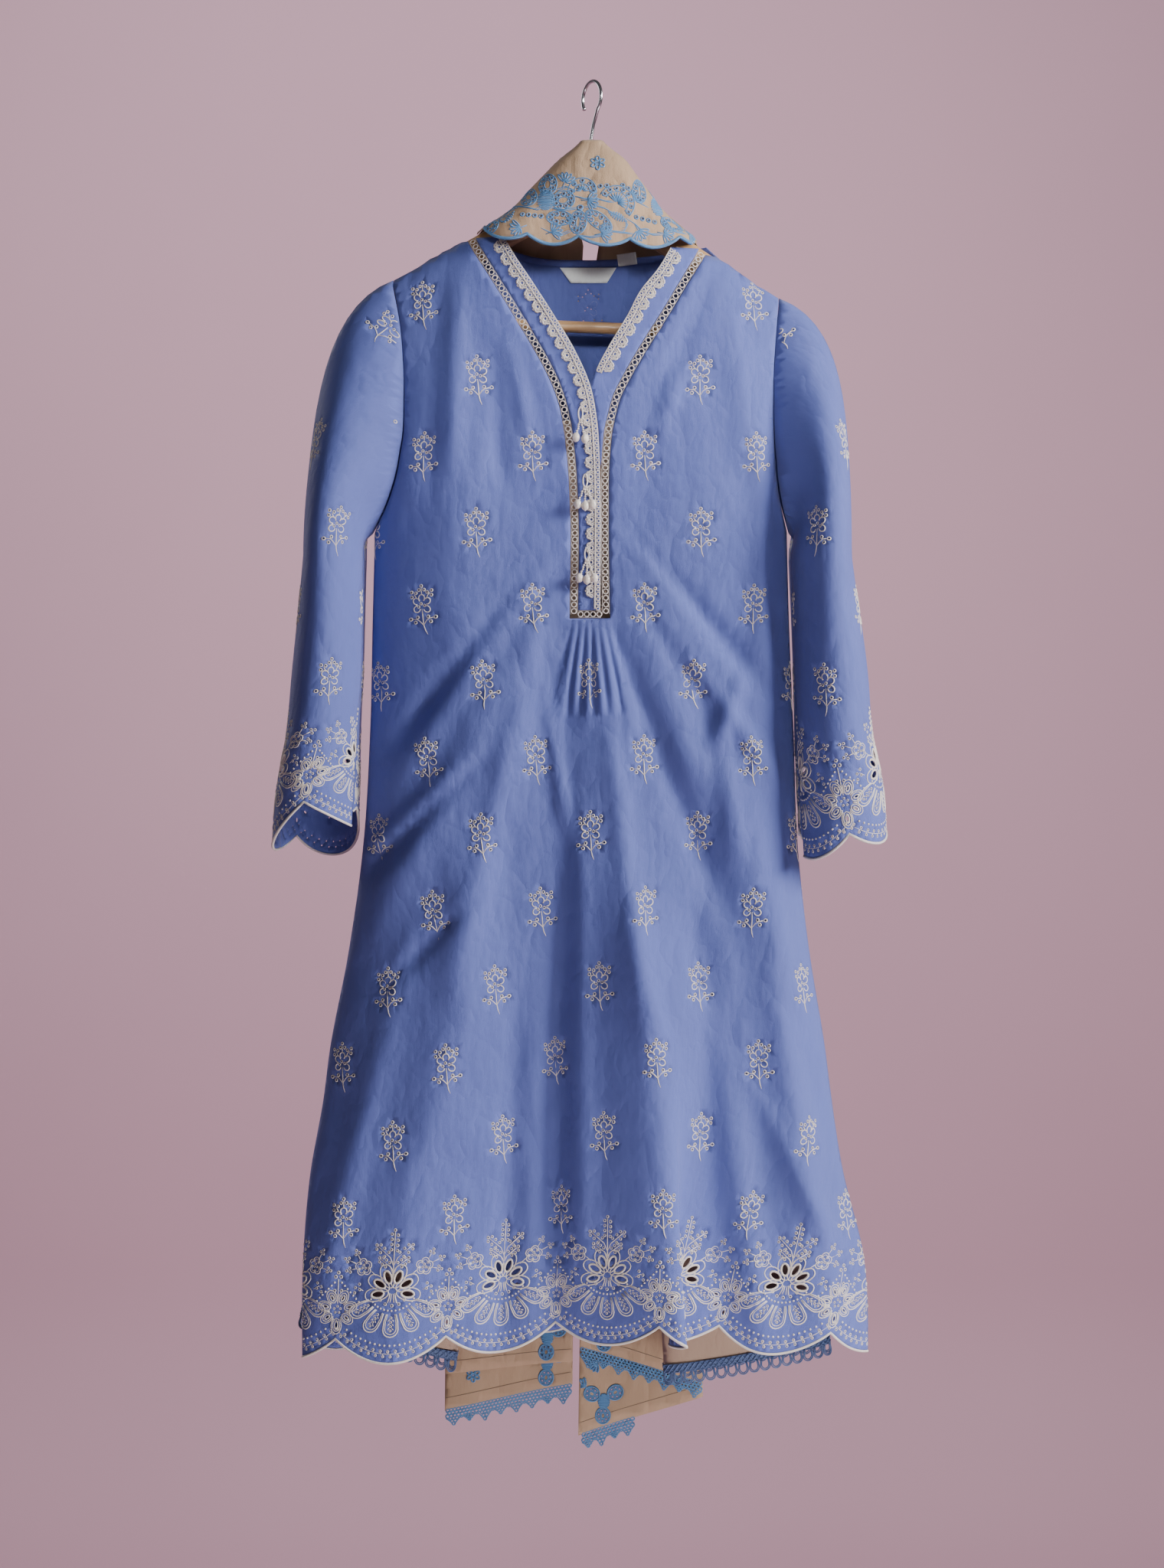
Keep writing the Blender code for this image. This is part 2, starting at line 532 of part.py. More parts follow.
def kameez_cloth(face, folds, overlap=None, across=121, step=0.012):
    """The front (face -1) or the back (face 1) of the kameez."""
    drops = np.arange(0.140, 1.285, step)
    angles = np.linspace(-math.pi / 2, math.pi / 2, across)
    rows = []
    for drop in drops:
        left, right = along(KAMEEZ, "left", drop), along(KAMEEZ, "right", drop)
        depth = along(KAMEEZ, "front" if face < 0 else "back", drop)
        slit = along(KAMEEZ, "slit", drop)
        x = (left + right) / 2 + (right - left) / 2 * np.sin(angles)
        below = np.clip((drop - shoulder(x)) / 0.09, 0, 1)
        rounding = np.sqrt(1 - (1 - below) ** 2)
        out = slit * rounding + (depth - slit) * np.cos(angles) * rounding
        calm = np.clip(np.cos(angles) * 2.2, 0, 1)
        raised = fold_height(folds, x, drop)
        if face < 0:
            raised = raised + pleat_height(x, drop, left, right)
        out = out + raised * calm * rounding
        if overlap:
            grow = np.clip((drop - overlap["top_drop"]) / (HEM_DROP - overlap["top_drop"]), 0, 1) ** 1.3
            u = (x - overlap["x"]) / overlap["width"]
            turn = u * np.exp(-u * u) * grow
            x = x - overlap["across"] * turn
            out = out - overlap["depth"] * turn
        rise = 0.020 * np.exp(-((x - 0.02) / 0.13) ** 2) + 0.008 * np.clip(x / 0.27, 0, 1)
        z = -drop + rise * (drop / HEM_DROP) ** 3
        y = face * (SEAM / 2 + np.maximum(out, 0))
        rows.append(np.stack([x, y, z], axis=1))
    return Cloth(drops, rows, 0.0, -1 if face < 0 else 1)


def side_line(cloth, last, top, foot, step=0.05):
    """Flat places down one side edge."""
    drops = np.linspace(top, foot, max(2, int(round((foot - top) / step)) + 1))
    inset = -1e-5 if last else 1e-5
    return [(cloth.edge(d, last) + inset, d) for d in drops]


def scallops(left, right, phase, low, height=SCALLOP, pitch=REPEAT, parts=6):
    """Points of a scalloped edge from left to right, with its cusps."""
    first = math.ceil((left - phase) / pitch * parts + 0.25)
    last = math.floor((right - phase) / pitch * parts - 0.25)
    places = [left] + [phase + k * pitch / parts for k in range(first, last + 1)] + [right]
    result = []
    for a in places:
        u = ((a - phase) / pitch + 0.5) % 1.0 * 2 - 1
        result.append((a, (low(a) if callable(low) else low) - height * u * u))
    return result


def petal_holes(phase, low, left, right, parts=6, clear=0.012):
    """The six large petal-shaped holes of each medallion that fits between two edges."""
    holes = []
    for k in range(math.ceil((left - phase) / REPEAT), math.floor((right - phase) / REPEAT) + 1):
        centre = np.array([phase + k * REPEAT, low - MEDALLION_UP])
        for petal in range(6):
            turn = math.radians(PETAL_STEP * (petal - 2.5))
            away = np.array([math.sin(turn), -math.cos(turn)])
            aside = np.array([-away[1], away[0]])
            middle = centre + away * PETAL_OUT
            hole = [middle + away * PETAL_LONG * math.cos(t) + aside * PETAL_WIDE * math.sin(t)
                    for t in np.arange(parts) * 2 * math.pi / parts]
            if left + clear < min(p[0] for p in hole) and max(p[0] for p in hole) < right - clear:
                holes.append(np.array(hole))
    return holes


def offset_line(line, distance, top, foot, step=0.016):
    """A table's line moved sideways, as (x, drop) from its top to its foot."""
    drops = np.linspace(top, foot, max(2, int(round((foot - top) / step)) + 1))
    x = along(line, "x", drops)
    slope = np.gradient(x, drops)
    turn = np.sqrt(1 + slope * slope)
    return [(float(a), float(b)) for a, b in zip(x + distance / turn, drops - distance * slope / turn)]


def armhole_line(cloth, line, parts=ARMHOLE_PARTS):
    """Flat places down an armhole, from the shoulder to the underarm, in equal parts."""
    drops = np.linspace(float(shoulder(line["x"][0])), UNDERARM, 49)
    xs = along(line, "x", drops)
    dense = np.array([(cloth.across_at(x, d), float(d)) for x, d in zip(xs, drops)])
    length = np.linalg.norm(np.diff(dense, axis=0), axis=1).sum()
    return [tuple(p) for p in resample(dense, length / parts)]


def shoulder_line(cloth, start, end, inner=0.0, step=0.02):
    """Flat places along the shoulder between two x values, `inner` below the seam."""
    xs = np.linspace(start, end, max(2, int(round(abs(end - start) / step)) + 1))
    return [(cloth.across_at(x, float(shoulder(x)) + inner), float(shoulder(x)) + inner) for x in xs]


def edge_rows(cloth):
    """Extra points just inside the shoulders and the sides, where the cloth turns over."""
    rows = []
    for inner in (0.004, 0.016):
        rows += shoulder_line(cloth, -0.190, -0.112, inner) + shoulder_line(cloth, 0.108, 0.182, inner)
    for distance in (0.006, 0.020):
        for drop in np.arange(UNDERARM + 0.03, HEM_DROP - 0.15, 0.06):
            rows += [(cloth.edge(drop) + distance, drop), (cloth.edge(drop, True) - distance, drop)]
    return rows


def make_kameez_front(cloth):
    """The front: armholes, shoulders, the long cut for the neck work, side edges and scalloped hem."""
    half = INSERTION / 2 + SEAM
    hem_left, hem_right = cloth.edge(HEM_DROP - 0.01) + 1e-5, cloth.edge(HEM_DROP - 0.01, True) - 1e-5
    left_inner = offset_line(INSERTION_LEFT, -half, float(shoulder(-0.1215)) + 0.0022, NECK_FOOT + SEAM)
    right_inner = offset_line(INSERTION_RIGHT, half, float(shoulder(0.1140)) + 0.0030, NECK_FOOT + SEAM)
    outline = (
        side_line(cloth, False, UNDERARM, HEM_DROP - 0.022)[1:]
        + scallops(hem_left, hem_right, FRONT_PHASE, HEM_DROP)
        + side_line(cloth, True, UNDERARM, HEM_DROP - 0.022)[:0:-1]
        + armhole_line(cloth, ARMHOLE_RIGHT)[::-1]
        + shoulder_line(cloth, 0.170, 0.124)
        + right_inner
        + left_inner[::-1]
        + shoulder_line(cloth, -0.130, -0.178)
        + armhole_line(cloth, ARMHOLE_LEFT)
    )
    holes = petal_holes(FRONT_PHASE, HEM_DROP, hem_left, hem_right)
    flat, faces = cut(outline, holes, rows=edge_rows(cloth))
    return hang("kameez_front", "periwinkle_cloth", cloth, flat, faces)


def make_kameez_back(cloth):
    """The back: as the front, with a shallow neck."""
    hem_left, hem_right = cloth.edge(HEM_DROP - 0.01) + 1e-5, cloth.edge(HEM_DROP - 0.01, True) - 1e-5
    neck = [(cloth.across_at(x, d), d) for x, d in zip(
        np.linspace(0.113, -0.118, 12), along(BACK_NECK, "drop", np.linspace(0.113, -0.118, 12)))]
    outline = (
        side_line(cloth, False, UNDERARM, HEM_DROP - 0.022)[1:]
        + scallops(hem_left, hem_right, BACK_PHASE, HEM_DROP)
        + side_line(cloth, True, UNDERARM, HEM_DROP - 0.022)[:0:-1]
        + armhole_line(cloth, ARMHOLE_RIGHT)[::-1]
        + shoulder_line(cloth, 0.170, 0.128)
        + neck
        + shoulder_line(cloth, -0.132, -0.178)
        + armhole_line(cloth, ARMHOLE_LEFT)
    )
    holes = petal_holes(BACK_PHASE, HEM_DROP, hem_left, hem_right)
    stations = np.linspace(-0.110, 0.108, 15)
    below = [(cloth.across_at(x, d + gap), float(d + gap)) for gap in (0.0085, 0.028)
             for x, d in zip(stations, along(BACK_NECK, "drop", stations))]
    flat, faces = cut(outline, holes, rows=edge_rows(cloth) + below)
    return hang("kameez_back", "periwinkle_cloth", cloth, flat, faces)


# ---------------------------------------------------------------- sleeves
class Sleeve:
    """One sleeve: a cap from the armhole down to CAP_DROP and a plain tube of oval rings below it."""

    def __init__(self, hand, sections, armhole, fronts, backs, columns=49):
        self.hand = hand
        outward = -1.0 if hand == "left" else 1.0
        self.halves = {}
        for face, cloth in (("front", fronts), ("back", backs)):
            ways = np.linspace(0, 1, columns)
            edge = cloth.place(armhole_line(cloth, armhole, ARMHOLE_PARTS * 4))
            span = np.linspace(0, 1, len(edge))
            start = np.stack([np.interp(ways, span, edge[:, k]) for k in range(3)], axis=1)
            start[:, 0] += outward * (0.0009 + 0.0020 * ways ** 1.5)
            rings = [self.ring(sections, drop, outward, face, ways)
                     for drop in np.arange(CAP_DROP, 0.800, 0.012)]
            cap = [self.cap(start, rings[0], outward, face, ways, s) for s in np.linspace(0, 1, 17)[:-1]]
            side = outward * (1 if face == "front" else -1)
            self.halves[face] = SleeveHalf(np.array(cap), np.array(rings), side)

    @staticmethod
    def ring(sections, drop, outward, face, ways):
        """Half a ring, from the outer line through the front or the back to the inner line."""
        value = {name: float(along(sections, name, drop)) for name in SLEEVE.split()[1:]}
        turn = math.radians(value["turn"])
        long_way = np.array([outward * math.sin(turn), math.cos(turn)])
        short_way = np.array([outward * math.cos(turn), -math.sin(turn)])
        angle = ways * math.pi
        sign = -1.0 if face == "front" else 1.0
        gap = SEAM / 2 + 0.0002
        major = sign * (value["long"] * np.sin(angle) + gap)
        minor = value["short"] * np.cos(angle)
        xy = np.array([value["x"], value["y"]]) + np.outer(major, long_way) + np.outer(minor, short_way)
        z = -drop + value["lean"] * minor + value["slope"] * major
        return np.column_stack([xy, z])

    @staticmethod
    def cap(start, ring, outward, face, ways, s):
        """A line across the cap, a share s of the way from the armhole to the first ring."""
        sign = -1.0 if face == "front" else 1.0
        length = np.linalg.norm(ring - start, axis=1)
        reach = np.minimum(0.45 * length, 0.045 + 0.035 * (1 - ways))
        away = np.stack([outward * np.ones_like(ways), sign * 0.55 * np.sin(math.pi * ways),
                         -0.36 - 0.3 * ways], axis=1)
        away /= np.linalg.norm(away, axis=1)[:, None]
        first = start + away * reach[:, None]
        second = ring + np.array([0, 0, 1.0]) * (0.42 * length)[:, None]
        return ((1 - s) ** 3 * start + 3 * (1 - s) ** 2 * s * first
                + 3 * (1 - s) * s * s * second + s ** 3 * ring)


class SleeveHalf:
    """The front or the back of a sleeve, addressed by distance from its outer line and by drop."""

    def __init__(self, cap, rings, side):
        self.side = side
        self.cap_grid = np.concatenate([cap, rings[:1]])
        self.tube = Cloth(CAP_DROP + 0.012 * np.arange(len(rings)), rings, None, side)
        steps = np.linalg.norm(np.diff(self.cap_grid, axis=0), axis=2).sum(axis=0)
        self.cap_drop = CAP_DROP - steps            # flat drop of the armhole edge, for each column
        self.columns = self.tube.columns

    def points(self, flat):
        flat = np.atleast_2d(flat)
        result = self.tube.points(flat)
        above = flat[:, 1] < CAP_DROP
        if above.any():
            column = np.interp(flat[above, 0], self.tube.across[0], self.columns)
            top = np.interp(column, self.columns, self.cap_drop)
            share = np.clip((flat[above, 1] - top) / (CAP_DROP - top + 1e-9), 0, 1) * (len(self.cap_grid) - 1)
            low = np.clip(share.astype(int), 0, len(self.cap_grid) - 2)
            result[above] = [
                self.between(r, c) * (1 - (s - r)) + self.between(r + 1, c) * (s - r)
                for r, c, s in zip(low, column, share)]
        return result

    def between(self, row, column):
        c = min(int(column), len(self.columns) - 2)
        return self.cap_grid[row][c] * (1 - column + c) + self.cap_grid[row][c + 1] * (column - c)

    place = Cloth.place

    @property
    def drops(self):
        return self.tube.drops

    @property
    def across(self):
        return self.tube.across

    def edge(self, drop, last=False):
        return self.tube.edge(max(drop, CAP_DROP), last)


def make_sleeve_half(sleeve, face):
    """Half of a sleeve with its cap edge, its two seams and its scalloped cuff."""
    half = sleeve.halves[face]
    mirror = 1 if face == "front" else -1
    phase = mirror * CUFF_PHASE
    width = half.edge(CUFF_DROP - 0.01, True)
    ways = np.linspace(0, len(half.columns) - 1, ARMHOLE_PARTS + 1)
    cap = [(float(np.interp(w, half.columns, half.tube.across[0])),
            float(np.interp(w, half.columns, half.cap_drop)) + 1e-6) for w in ways]
    outer = [(1e-5, d) for d in np.linspace(cap[0][1], CUFF_DROP - 0.02, 13)[1:-1]]
    inner = [(half.edge(d, True) - 1e-5, d) for d in np.linspace(cap[-1][1], CUFF_DROP - 0.02, 8)[1:-1]]
    outline = outer + scallops(1e-5, width - 1e-5, phase, CUFF_DROP, parts=6) + inner[::-1] + cap[::-1]
    holes = petal_holes(phase, CUFF_DROP, 0.0, width, clear=0.004)
    near = [(half.edge(d, True) - 0.005, d) for d in np.arange(0.50, 0.72, 0.05)]
    near += [(0.005, d) for d in np.arange(0.24, 0.72, 0.05)]
    flat, faces = cut(outline, holes, spacing=(0.022, 0.048), rows=near)
    return hang(f"sleeve_{sleeve.hand}_{face}", "periwinkle_cloth", half, flat, faces)


# ---------------------------------------------------------------- the neck
def on_cloth(cloth, line):
    """Flat places for points given as (x, drop)."""
    return [(cloth.across_at(x, d), d) for x, d in line]


def make_neck(cloth):
    """Openwork insertion, the plain band inside it, and the crochet trim on the band's edge."""
    half = INSERTION / 2
    foot_top = NECK_FOOT - INSERTION
    for hand, line, side in (("left", INSERTION_LEFT, -1), ("right", INSERTION_RIGHT, 1)):
        top = float(shoulder(line["x"][0])) + 0.0026
        outer = offset_line(line, side * half, top, foot_top - SEAM)
        inner = offset_line(line, -side * half, top - 0.001 * side, foot_top - SEAM)
        flat, faces = cut(outer + inner[::-1], spacing=(0.02, 0.03))
        hang(f"insertion_{hand}", "ivory_crochet", cloth, flat, faces)
    left = along(INSERTION_LEFT, "x", 0.5247) - half
    right = along(INSERTION_RIGHT, "x", 0.5247) + half
    foot = [(left, foot_top), (right, foot_top), (right, NECK_FOOT), (left, NECK_FOOT)]
    flat, faces = cut(resample(np.array(foot + foot[:1]), 0.012)[:-1], spacing=(0.02, 0.03))
    hang("insertion_foot", "ivory_crochet", cloth, flat, faces)

    inner_gap = half + SEAM
    band_foot = foot_top - SEAM
    outer = offset_line(INSERTION_LEFT, inner_gap, 0.1575, band_foot)
    inner = offset_line(NECK_LEFT, 0.0, 0.1552, band_foot)
    flat, faces = cut(outer + inner[::-1], spacing=(0.02, 0.03))
    hang("neck_band_left", "periwinkle_cloth", cloth, flat, faces)

    outer = offset_line(INSERTION_RIGHT, -inner_gap, 0.1680, 0.3900)
    gap_line = offset_line(NECK_LEFT, SEAM, 0.3040, 0.3960)
    inner = offset_line(NECK_RIGHT, 0.0, 0.1660, 0.3022)
    crossing = [p for p in gap_line if p[0] < along(INSERTION_RIGHT, "x", p[1]) - inner_gap - 0.0006]
    outer = [p for p in outer if p[0] > along(NECK_LEFT, "x", p[1]) + 0.0012]
    flat, faces = cut(outer + crossing[::-1] + inner[::-1][1:], spacing=(0.02, 0.03))
    hang("neck_band_right", "periwinkle_cloth", cloth, flat, faces)

    make_trim(cloth, "trim_left", NECK_LEFT, -1, 0.1560, band_foot - 0.0010)
    make_trim(cloth, "trim_right", NECK_RIGHT, 1, 0.1670, 0.2900)


def make_trim(cloth, name, line, side, top, foot):
    """Crochet trim along a neck edge: a straight inner side and a picot for each pitch outside."""
    dense = np.array(offset_line(line, 0.0, top, foot, 0.001))
    lengths = np.concatenate([[0], np.cumsum(np.linalg.norm(np.diff(dense, axis=0), axis=1))])
    tangents = np.gradient(dense, lengths, axis=0)
    aside = np.stack([tangents[:, 1], -tangents[:, 0]], axis=1) * side

    def at(length, out):
        return tuple(np.interp(length, lengths, dense[:, k] + aside[:, k] * out) for k in range(2))

    inner = [at(s, 0.0004) for s in np.arange(0, lengths[-1], 0.012)] + [at(lengths[-1], 0.0004)]
    outer = []
    for k in range(int(lengths[-1] / PICOT_PITCH)):
        for share, out in ((0.0, 0.0), (0.35, 1.0), (0.65, 1.0)):
            outer.append(at((k + share) * PICOT_PITCH, TRIM_BODY + PICOT * out))
    outer.append(at(lengths[-1], TRIM_BODY))
    flat, faces = cut(outer + inner[::-1], spacing=(0.03, 0.04))
    hang(name, "ivory_crochet", cloth, flat, faces, lift=WALL + OVERLAY, thickness=TRIM_WALL)


def make_back_neck(cloth):
    """The facing inside the back neck, the blank label under it and the blank tab on it."""
    xs = np.linspace(-0.080, 0.082, 12)
    edge = along(BACK_NECK, "drop", xs)
    facing = on_cloth(cloth, list(zip(xs, edge + OVERLAY))
                              + list(zip(xs[::-1], edge[::-1] + OVERLAY + FACING)))
    flat, faces = cut(facing, spacing=(0.02, 0.03))
    inner = -(2 * OVERLAY + TRIM_WALL)
    hang("back_neck_facing", "periwinkle_cloth", cloth, flat, faces, lift=inner, thickness=TRIM_WALL)
    label = [(-0.0322, 0.1776), (0.0248, 0.1776), (0.0150, 0.1930), (-0.0210, 0.1930)]
    flat, faces = cut(resample(np.array(on_cloth(cloth, label + label[:1])), 0.014)[:-1], spacing=(0.02, 0.03))
    hang("label", "label_tape", cloth, flat, faces, lift=inner, thickness=TRIM_WALL)
    tab = [(0.0250, 0.1650), (0.0440, 0.1625), (0.0457, 0.1745), (0.0268, 0.1770)]
    flat, faces = cut(on_cloth(cloth, tab), spacing=(0.03, 0.04))
    hang("size_tab", "label_tape", cloth, flat, faces, lift=inner - OVERLAY - TRIM_WALL - 0.0004,
         thickness=TRIM_WALL)


def revolve_along(path, radii, sides):
    """Points and faces of a closed tube of changing radius down a line."""
    points, faces = [], []
    for (x, y, z), r in zip(path, radii):
        points += [(x + r * math.cos(t), y + r * math.sin(t), z)
                   for t in np.arange(sides) * 2 * math.pi / sides]
    for i in range(len(path) - 1):
        for k in range(sides):
            n = (k + 1) % sides
            faces.append((i * sides + k, (i + 1) * sides + k, (i + 1) * sides + n, i * sides + n))
    faces.append(tuple(range(sides)))
    faces.append(tuple(reversed(range((len(path) - 1) * sides, len(path) * sides))))
    return points, faces


def make_tassel(cloth, index, drop, x, strands):
    """A pearl tassel: a cord loop, and strings of small beads that end in large drop pearls."""
    lift = WALL + OVERLAY + TRIM_WALL + SEAM + 0.0012
    top = Vector(cloth.place([(x, drop)], lift)[0])
    head = 0.013
    parts = []
    cord = [top + Vector((0, -down * 0.10, -down)) for down in (0.0006, head * 0.5, head + 0.002)]
    parts.append(revolve_along(cord, (0.0012, 0.0018, 0.0013), 6))
    spread = 0.0085 if strands == 2 else 0.0080
    for k in range(strands):
        lean = (k - (strands - 1) / 2) * spread
        length = 0.0245 + 0.002 * (k % 2)
        start = top + Vector((lean * 0.05, -0.0013, -head + 0.001))
        end = top + Vector((lean, -0.0040 - 0.0006 * (k % 2), -head - length))
        path = [start.lerp(end, s) for s in (0.0, 0.50, 0.62, 0.74, 0.88, 0.97, 1.0)]
        parts.append(revolve_along(path, (0.0010, 0.0010, 0.0012, 0.0026, 0.0038, 0.0026, 0.0008), 6))
    name = f"tassel_{index}"
    objects = [add_object(f"{name}_part_{i}", tidy_mesh(name, *part), "pearl") for i, part in enumerate(parts)]
    return join_solids(name, objects, "pearl")


def join_solids(name, objects, material):
    """Boolean union of closed solids into the first one."""
    first = objects[0]
    for other in objects[1:]:
        union = first.modifiers.new("union", "BOOLEAN")
        union.operation = "UNION"
        union.object = other
    bpy.context.view_layer.update()
    solid = bpy.data.meshes.new_from_object(first.evaluated_get(bpy.context.evaluated_depsgraph_get()))
    for thing in objects:
        bpy.data.objects.remove(thing, do_unlink=True)
    solid.name = name
    solid.materials.clear()
    return add_object(name, solid, material)


# ---------------------------------------------------------------- trousers
def leg_cloth(face, rows):
    """The front (face -1) or the back (face 1) of one leg, from its outer seam to its inner seam."""
    drops = np.arange(0.366, 1.300, 0.0117)
    result = []
    for drop in drops:
        outer, inner = along(rows, "outer", drop), along(rows, "inner", drop)
        turn = math.radians(float(np.clip(along(rows, "turn", drop), 90, 180)))
        angle = np.linspace(0, turn, 49)
        reach = 1 - math.cos(turn)
        x = outer + (inner - outer) * (1 - np.cos(angle)) / reach
        y = face * (SEAM / 2 + along(rows, "depth", drop) * np.sin(angle))
        z = -drop + along(rows, "rise", drop) * (x - inner) / (outer - inner)
        result.append(np.stack([x, y, z], axis=1))
    side = face if rows["outer"][0] < 0 else -face
    return Cloth(drops, result, None, side)


def make_trouser_panel(hand, rows, face):
    """One leg panel, and the half of the loop lace that edges its hem."""
    word = "front" if face < 0 else "back"
    cloth = leg_cloth(face, rows)
    top, hem = WAIST_FOOT + 2 * SEAM, LEG_HEM[hand]
    drops = np.linspace(top, hem, 20)
    outer = [(1e-5, d) for d in drops]
    inner = [(cloth.edge(d, True) - 1e-5, d) for d in drops]
    hem_row = [(a, hem) for a in np.linspace(0, inner[-1][0], 9)[1:-1]]
    top_row = [(a, top) for a in np.linspace(inner[0][0], 0, 7)[1:-1]]
    near = [(0.006, d) for d in drops[1:-1]] + [(cloth.edge(d, True) - 0.006, d) for d in drops[8:-1]]
    flat, faces = cut(outer + hem_row + inner[::-1] + top_row, spacing=(0.034, 0.10), rows=near)
    hang(f"trouser_{word}_{hand}", "cream_cloth", cloth, flat, faces)
    make_loop_lace(f"trouser_lace_{hand}_{word}", cloth, hem)


def make_loop_lace(name, cloth, hem):
    """A braid on the hem with open cord loops below it, one for each pitch."""
    lift = WALL + OVERLAY
    width = cloth.edge(hem, True)
    start, end = 0.0024, width - 0.0024
    count = int((end - start) / LOOP_PITCH)
    pitch = (end - start) / count
    outline = [(start + k * pitch, hem - BRAID) for k in range(count, -1, -1)]
    holes = []
    for k in range(count):
        left, middle = start + k * pitch, start + (k + 0.5) * pitch
        outline += [(left + 0.0004, hem + 0.0012), (left + 0.0010, hem + 0.0085),
                    (middle, hem + LOOP_HEIGHT), (left + pitch - 0.0010, hem + 0.0085)]
        holes.append([(middle - 0.0023, hem + 0.0026), (middle + 0.0023, hem + 0.0026),
                      (middle + 0.0021, hem + 0.0094), (middle - 0.0021, hem + 0.0094)])
    outline.append((end, hem + 0.0012))
    flat, faces = cut(outline, holes, spacing=(0.05, 0.05))
    hang(name, "slate_braid", cloth, flat, faces, lift=lift, thickness=TRIM_WALL + 0.0004)


def ring_wall(name, material, rows, thickness):
    """A closed ring of rows of points given a wall outward."""
    count = len(rows[0])
    points = [p for row in rows for p in row]
    faces = [(i * count + k, (i + 1) * count + k, (i + 1) * count + (k + 1) % count, i * count + (k + 1) % count)
             for i in range(len(rows) - 1) for k in range(count)]
    return solidify(add_object(name, tidy_mesh(name, points, faces), material), thickness)


def make_waist():
    """The elastic waistband and the two tapes that hang it from the hanger's bar."""
    left, right = LEG_LEFT["outer"][0], LEG_RIGHT["outer"][0]
    rows = []
    for drop in (WAIST_TOP, WAIST_FOOT):
        rows.append([((left + right) / 2 + (right - left) / 2 * math.cos(t), WAIST_DEPTH * math.sin(t), -drop)
                     for t in np.arange(32) * 2 * math.pi / 32])
    ring_wall("trouser_waistband", "cream_cloth", rows, WALL + 0.0006)
    radius = BAR_RADIUS + OVERLAY
    for hand, x in (("left", -0.120), ("right", 0.112)):
        bar_drop = float(np.interp(x, *zip(*[tilted(t, BAR_DROP) for t in (-0.2, 0.2)])))
        over = [(radius * math.cos(t), -bar_drop + radius * math.sin(t)) for t in np.linspace(math.pi, 0, 9)]
        foot = -WAIST_TOP + SEAM
        band = WAIST_DEPTH * math.sqrt(1 - ((x - (left + right) / 2) / ((right - left) / 2)) ** 2)
        line = [(-band, foot)] + over + [(band, foot)]
        points = [(x + w, y, z) for w in (-TAPE_WIDTH / 2, TAPE_WIDTH / 2) for y, z in line]
        n = len(line)
        faces = [(k, k + 1, n + k + 1, n + k) for k in range(n - 1)]
        faces = [tuple(reversed(f)) for f in faces]
        mesh = tidy_mesh(f"hanging_tape_{hand}", points, faces)
        solidify(add_object(f"hanging_tape_{hand}", mesh, "cream_cloth"), 0.0010)


# ---------------------------------------------------------------- dupatta
def bib_cloth():
    """The stretch in front of the hanger's neck."""
    drops = np.arange(0.052, 0.180, 0.004)
    angles = np.linspace(-math.pi / 2, math.pi / 2, 61)
    rows = []
    for drop in drops:
        left, right = along(BIB, "left", drop), along(BIB, "right", drop)
        x = (left + right) / 2 + (right - left) / 2 * np.sin(angles)
        full = (1 - np.abs(np.sin(angles)) ** 4) ** 0.5
        y = -SEAM / 2 - along(BIB, "depth", drop) * full
        y = y - 0.003 * np.sin(x * 60 + 1.0) * full * np.clip((drop - 0.08) / 0.08, 0, 1)
        rows.append(np.stack([x, y, np.full_like(x, -drop)], axis=1))
    return Cloth(drops, rows, 0.0, -1)


def make_bib(cloth):
    """The bib, with its scalloped satin-stitched edge."""
    def low(across):
        return float(along(BIB_HEM, "drop", across)) + BIB_SCALLOP / 2

    start, foot = 0.058, 0.1500
    drops = np.linspace(start, foot, 12)
    left = [(cloth.edge(start) * s, start) for s in (-0.6, 0.0, 0.6)]
    left += [(cloth.edge(d) + 1e-5, d) for d in drops]
    right = [(cloth.edge(d, True) - 1e-5, d) for d in np.linspace(start, 0.157, 12)]
    hem = scallops(-0.1155, 0.1060, BIB_PHASE, low, BIB_SCALLOP, BIB_PITCH, parts=6)[1:-1]
    flat, faces = cut(left + hem + right[::-1], spacing=(0.016, 0.020))
    return hang("dupatta_front", "cream_cloth", cloth, flat, faces)


def tail_cloth(rows, hand, layer):
    """One layer of a tail; the far layer lies behind the near one."""
    drops = np.arange(0.062, 1.390, 0.0125)
    back = TAIL_LAYER if layer == "far" else 0.0
    result = []
    for drop in drops:
        outer, inner = along(rows, "outer", drop), along(rows, "inner", drop)
        angle = np.linspace(0, math.pi / 2, 33)
        x = inner + (outer - inner) * np.cos(angle)
        outer_y, inner_y = along(rows, "outer_y", drop), along(rows, "inner_y", drop)
        y = outer_y + (inner_y - outer_y) * np.sin(angle)
        wave = np.clip((drop - 0.16) / 0.2, 0, 1)
        y = y + wave * (0.0035 * np.sin((x - inner) / (outer - inner) * 5.2) + 0.0035)
        free = np.clip((drop - 0.16) / 0.03, 0, 1)
        y = y + back * free
        result.append(np.stack([x, y, np.full_like(x, -drop)], axis=1))
    return Cloth(drops, result, None, 1 if hand == "left" else -1)


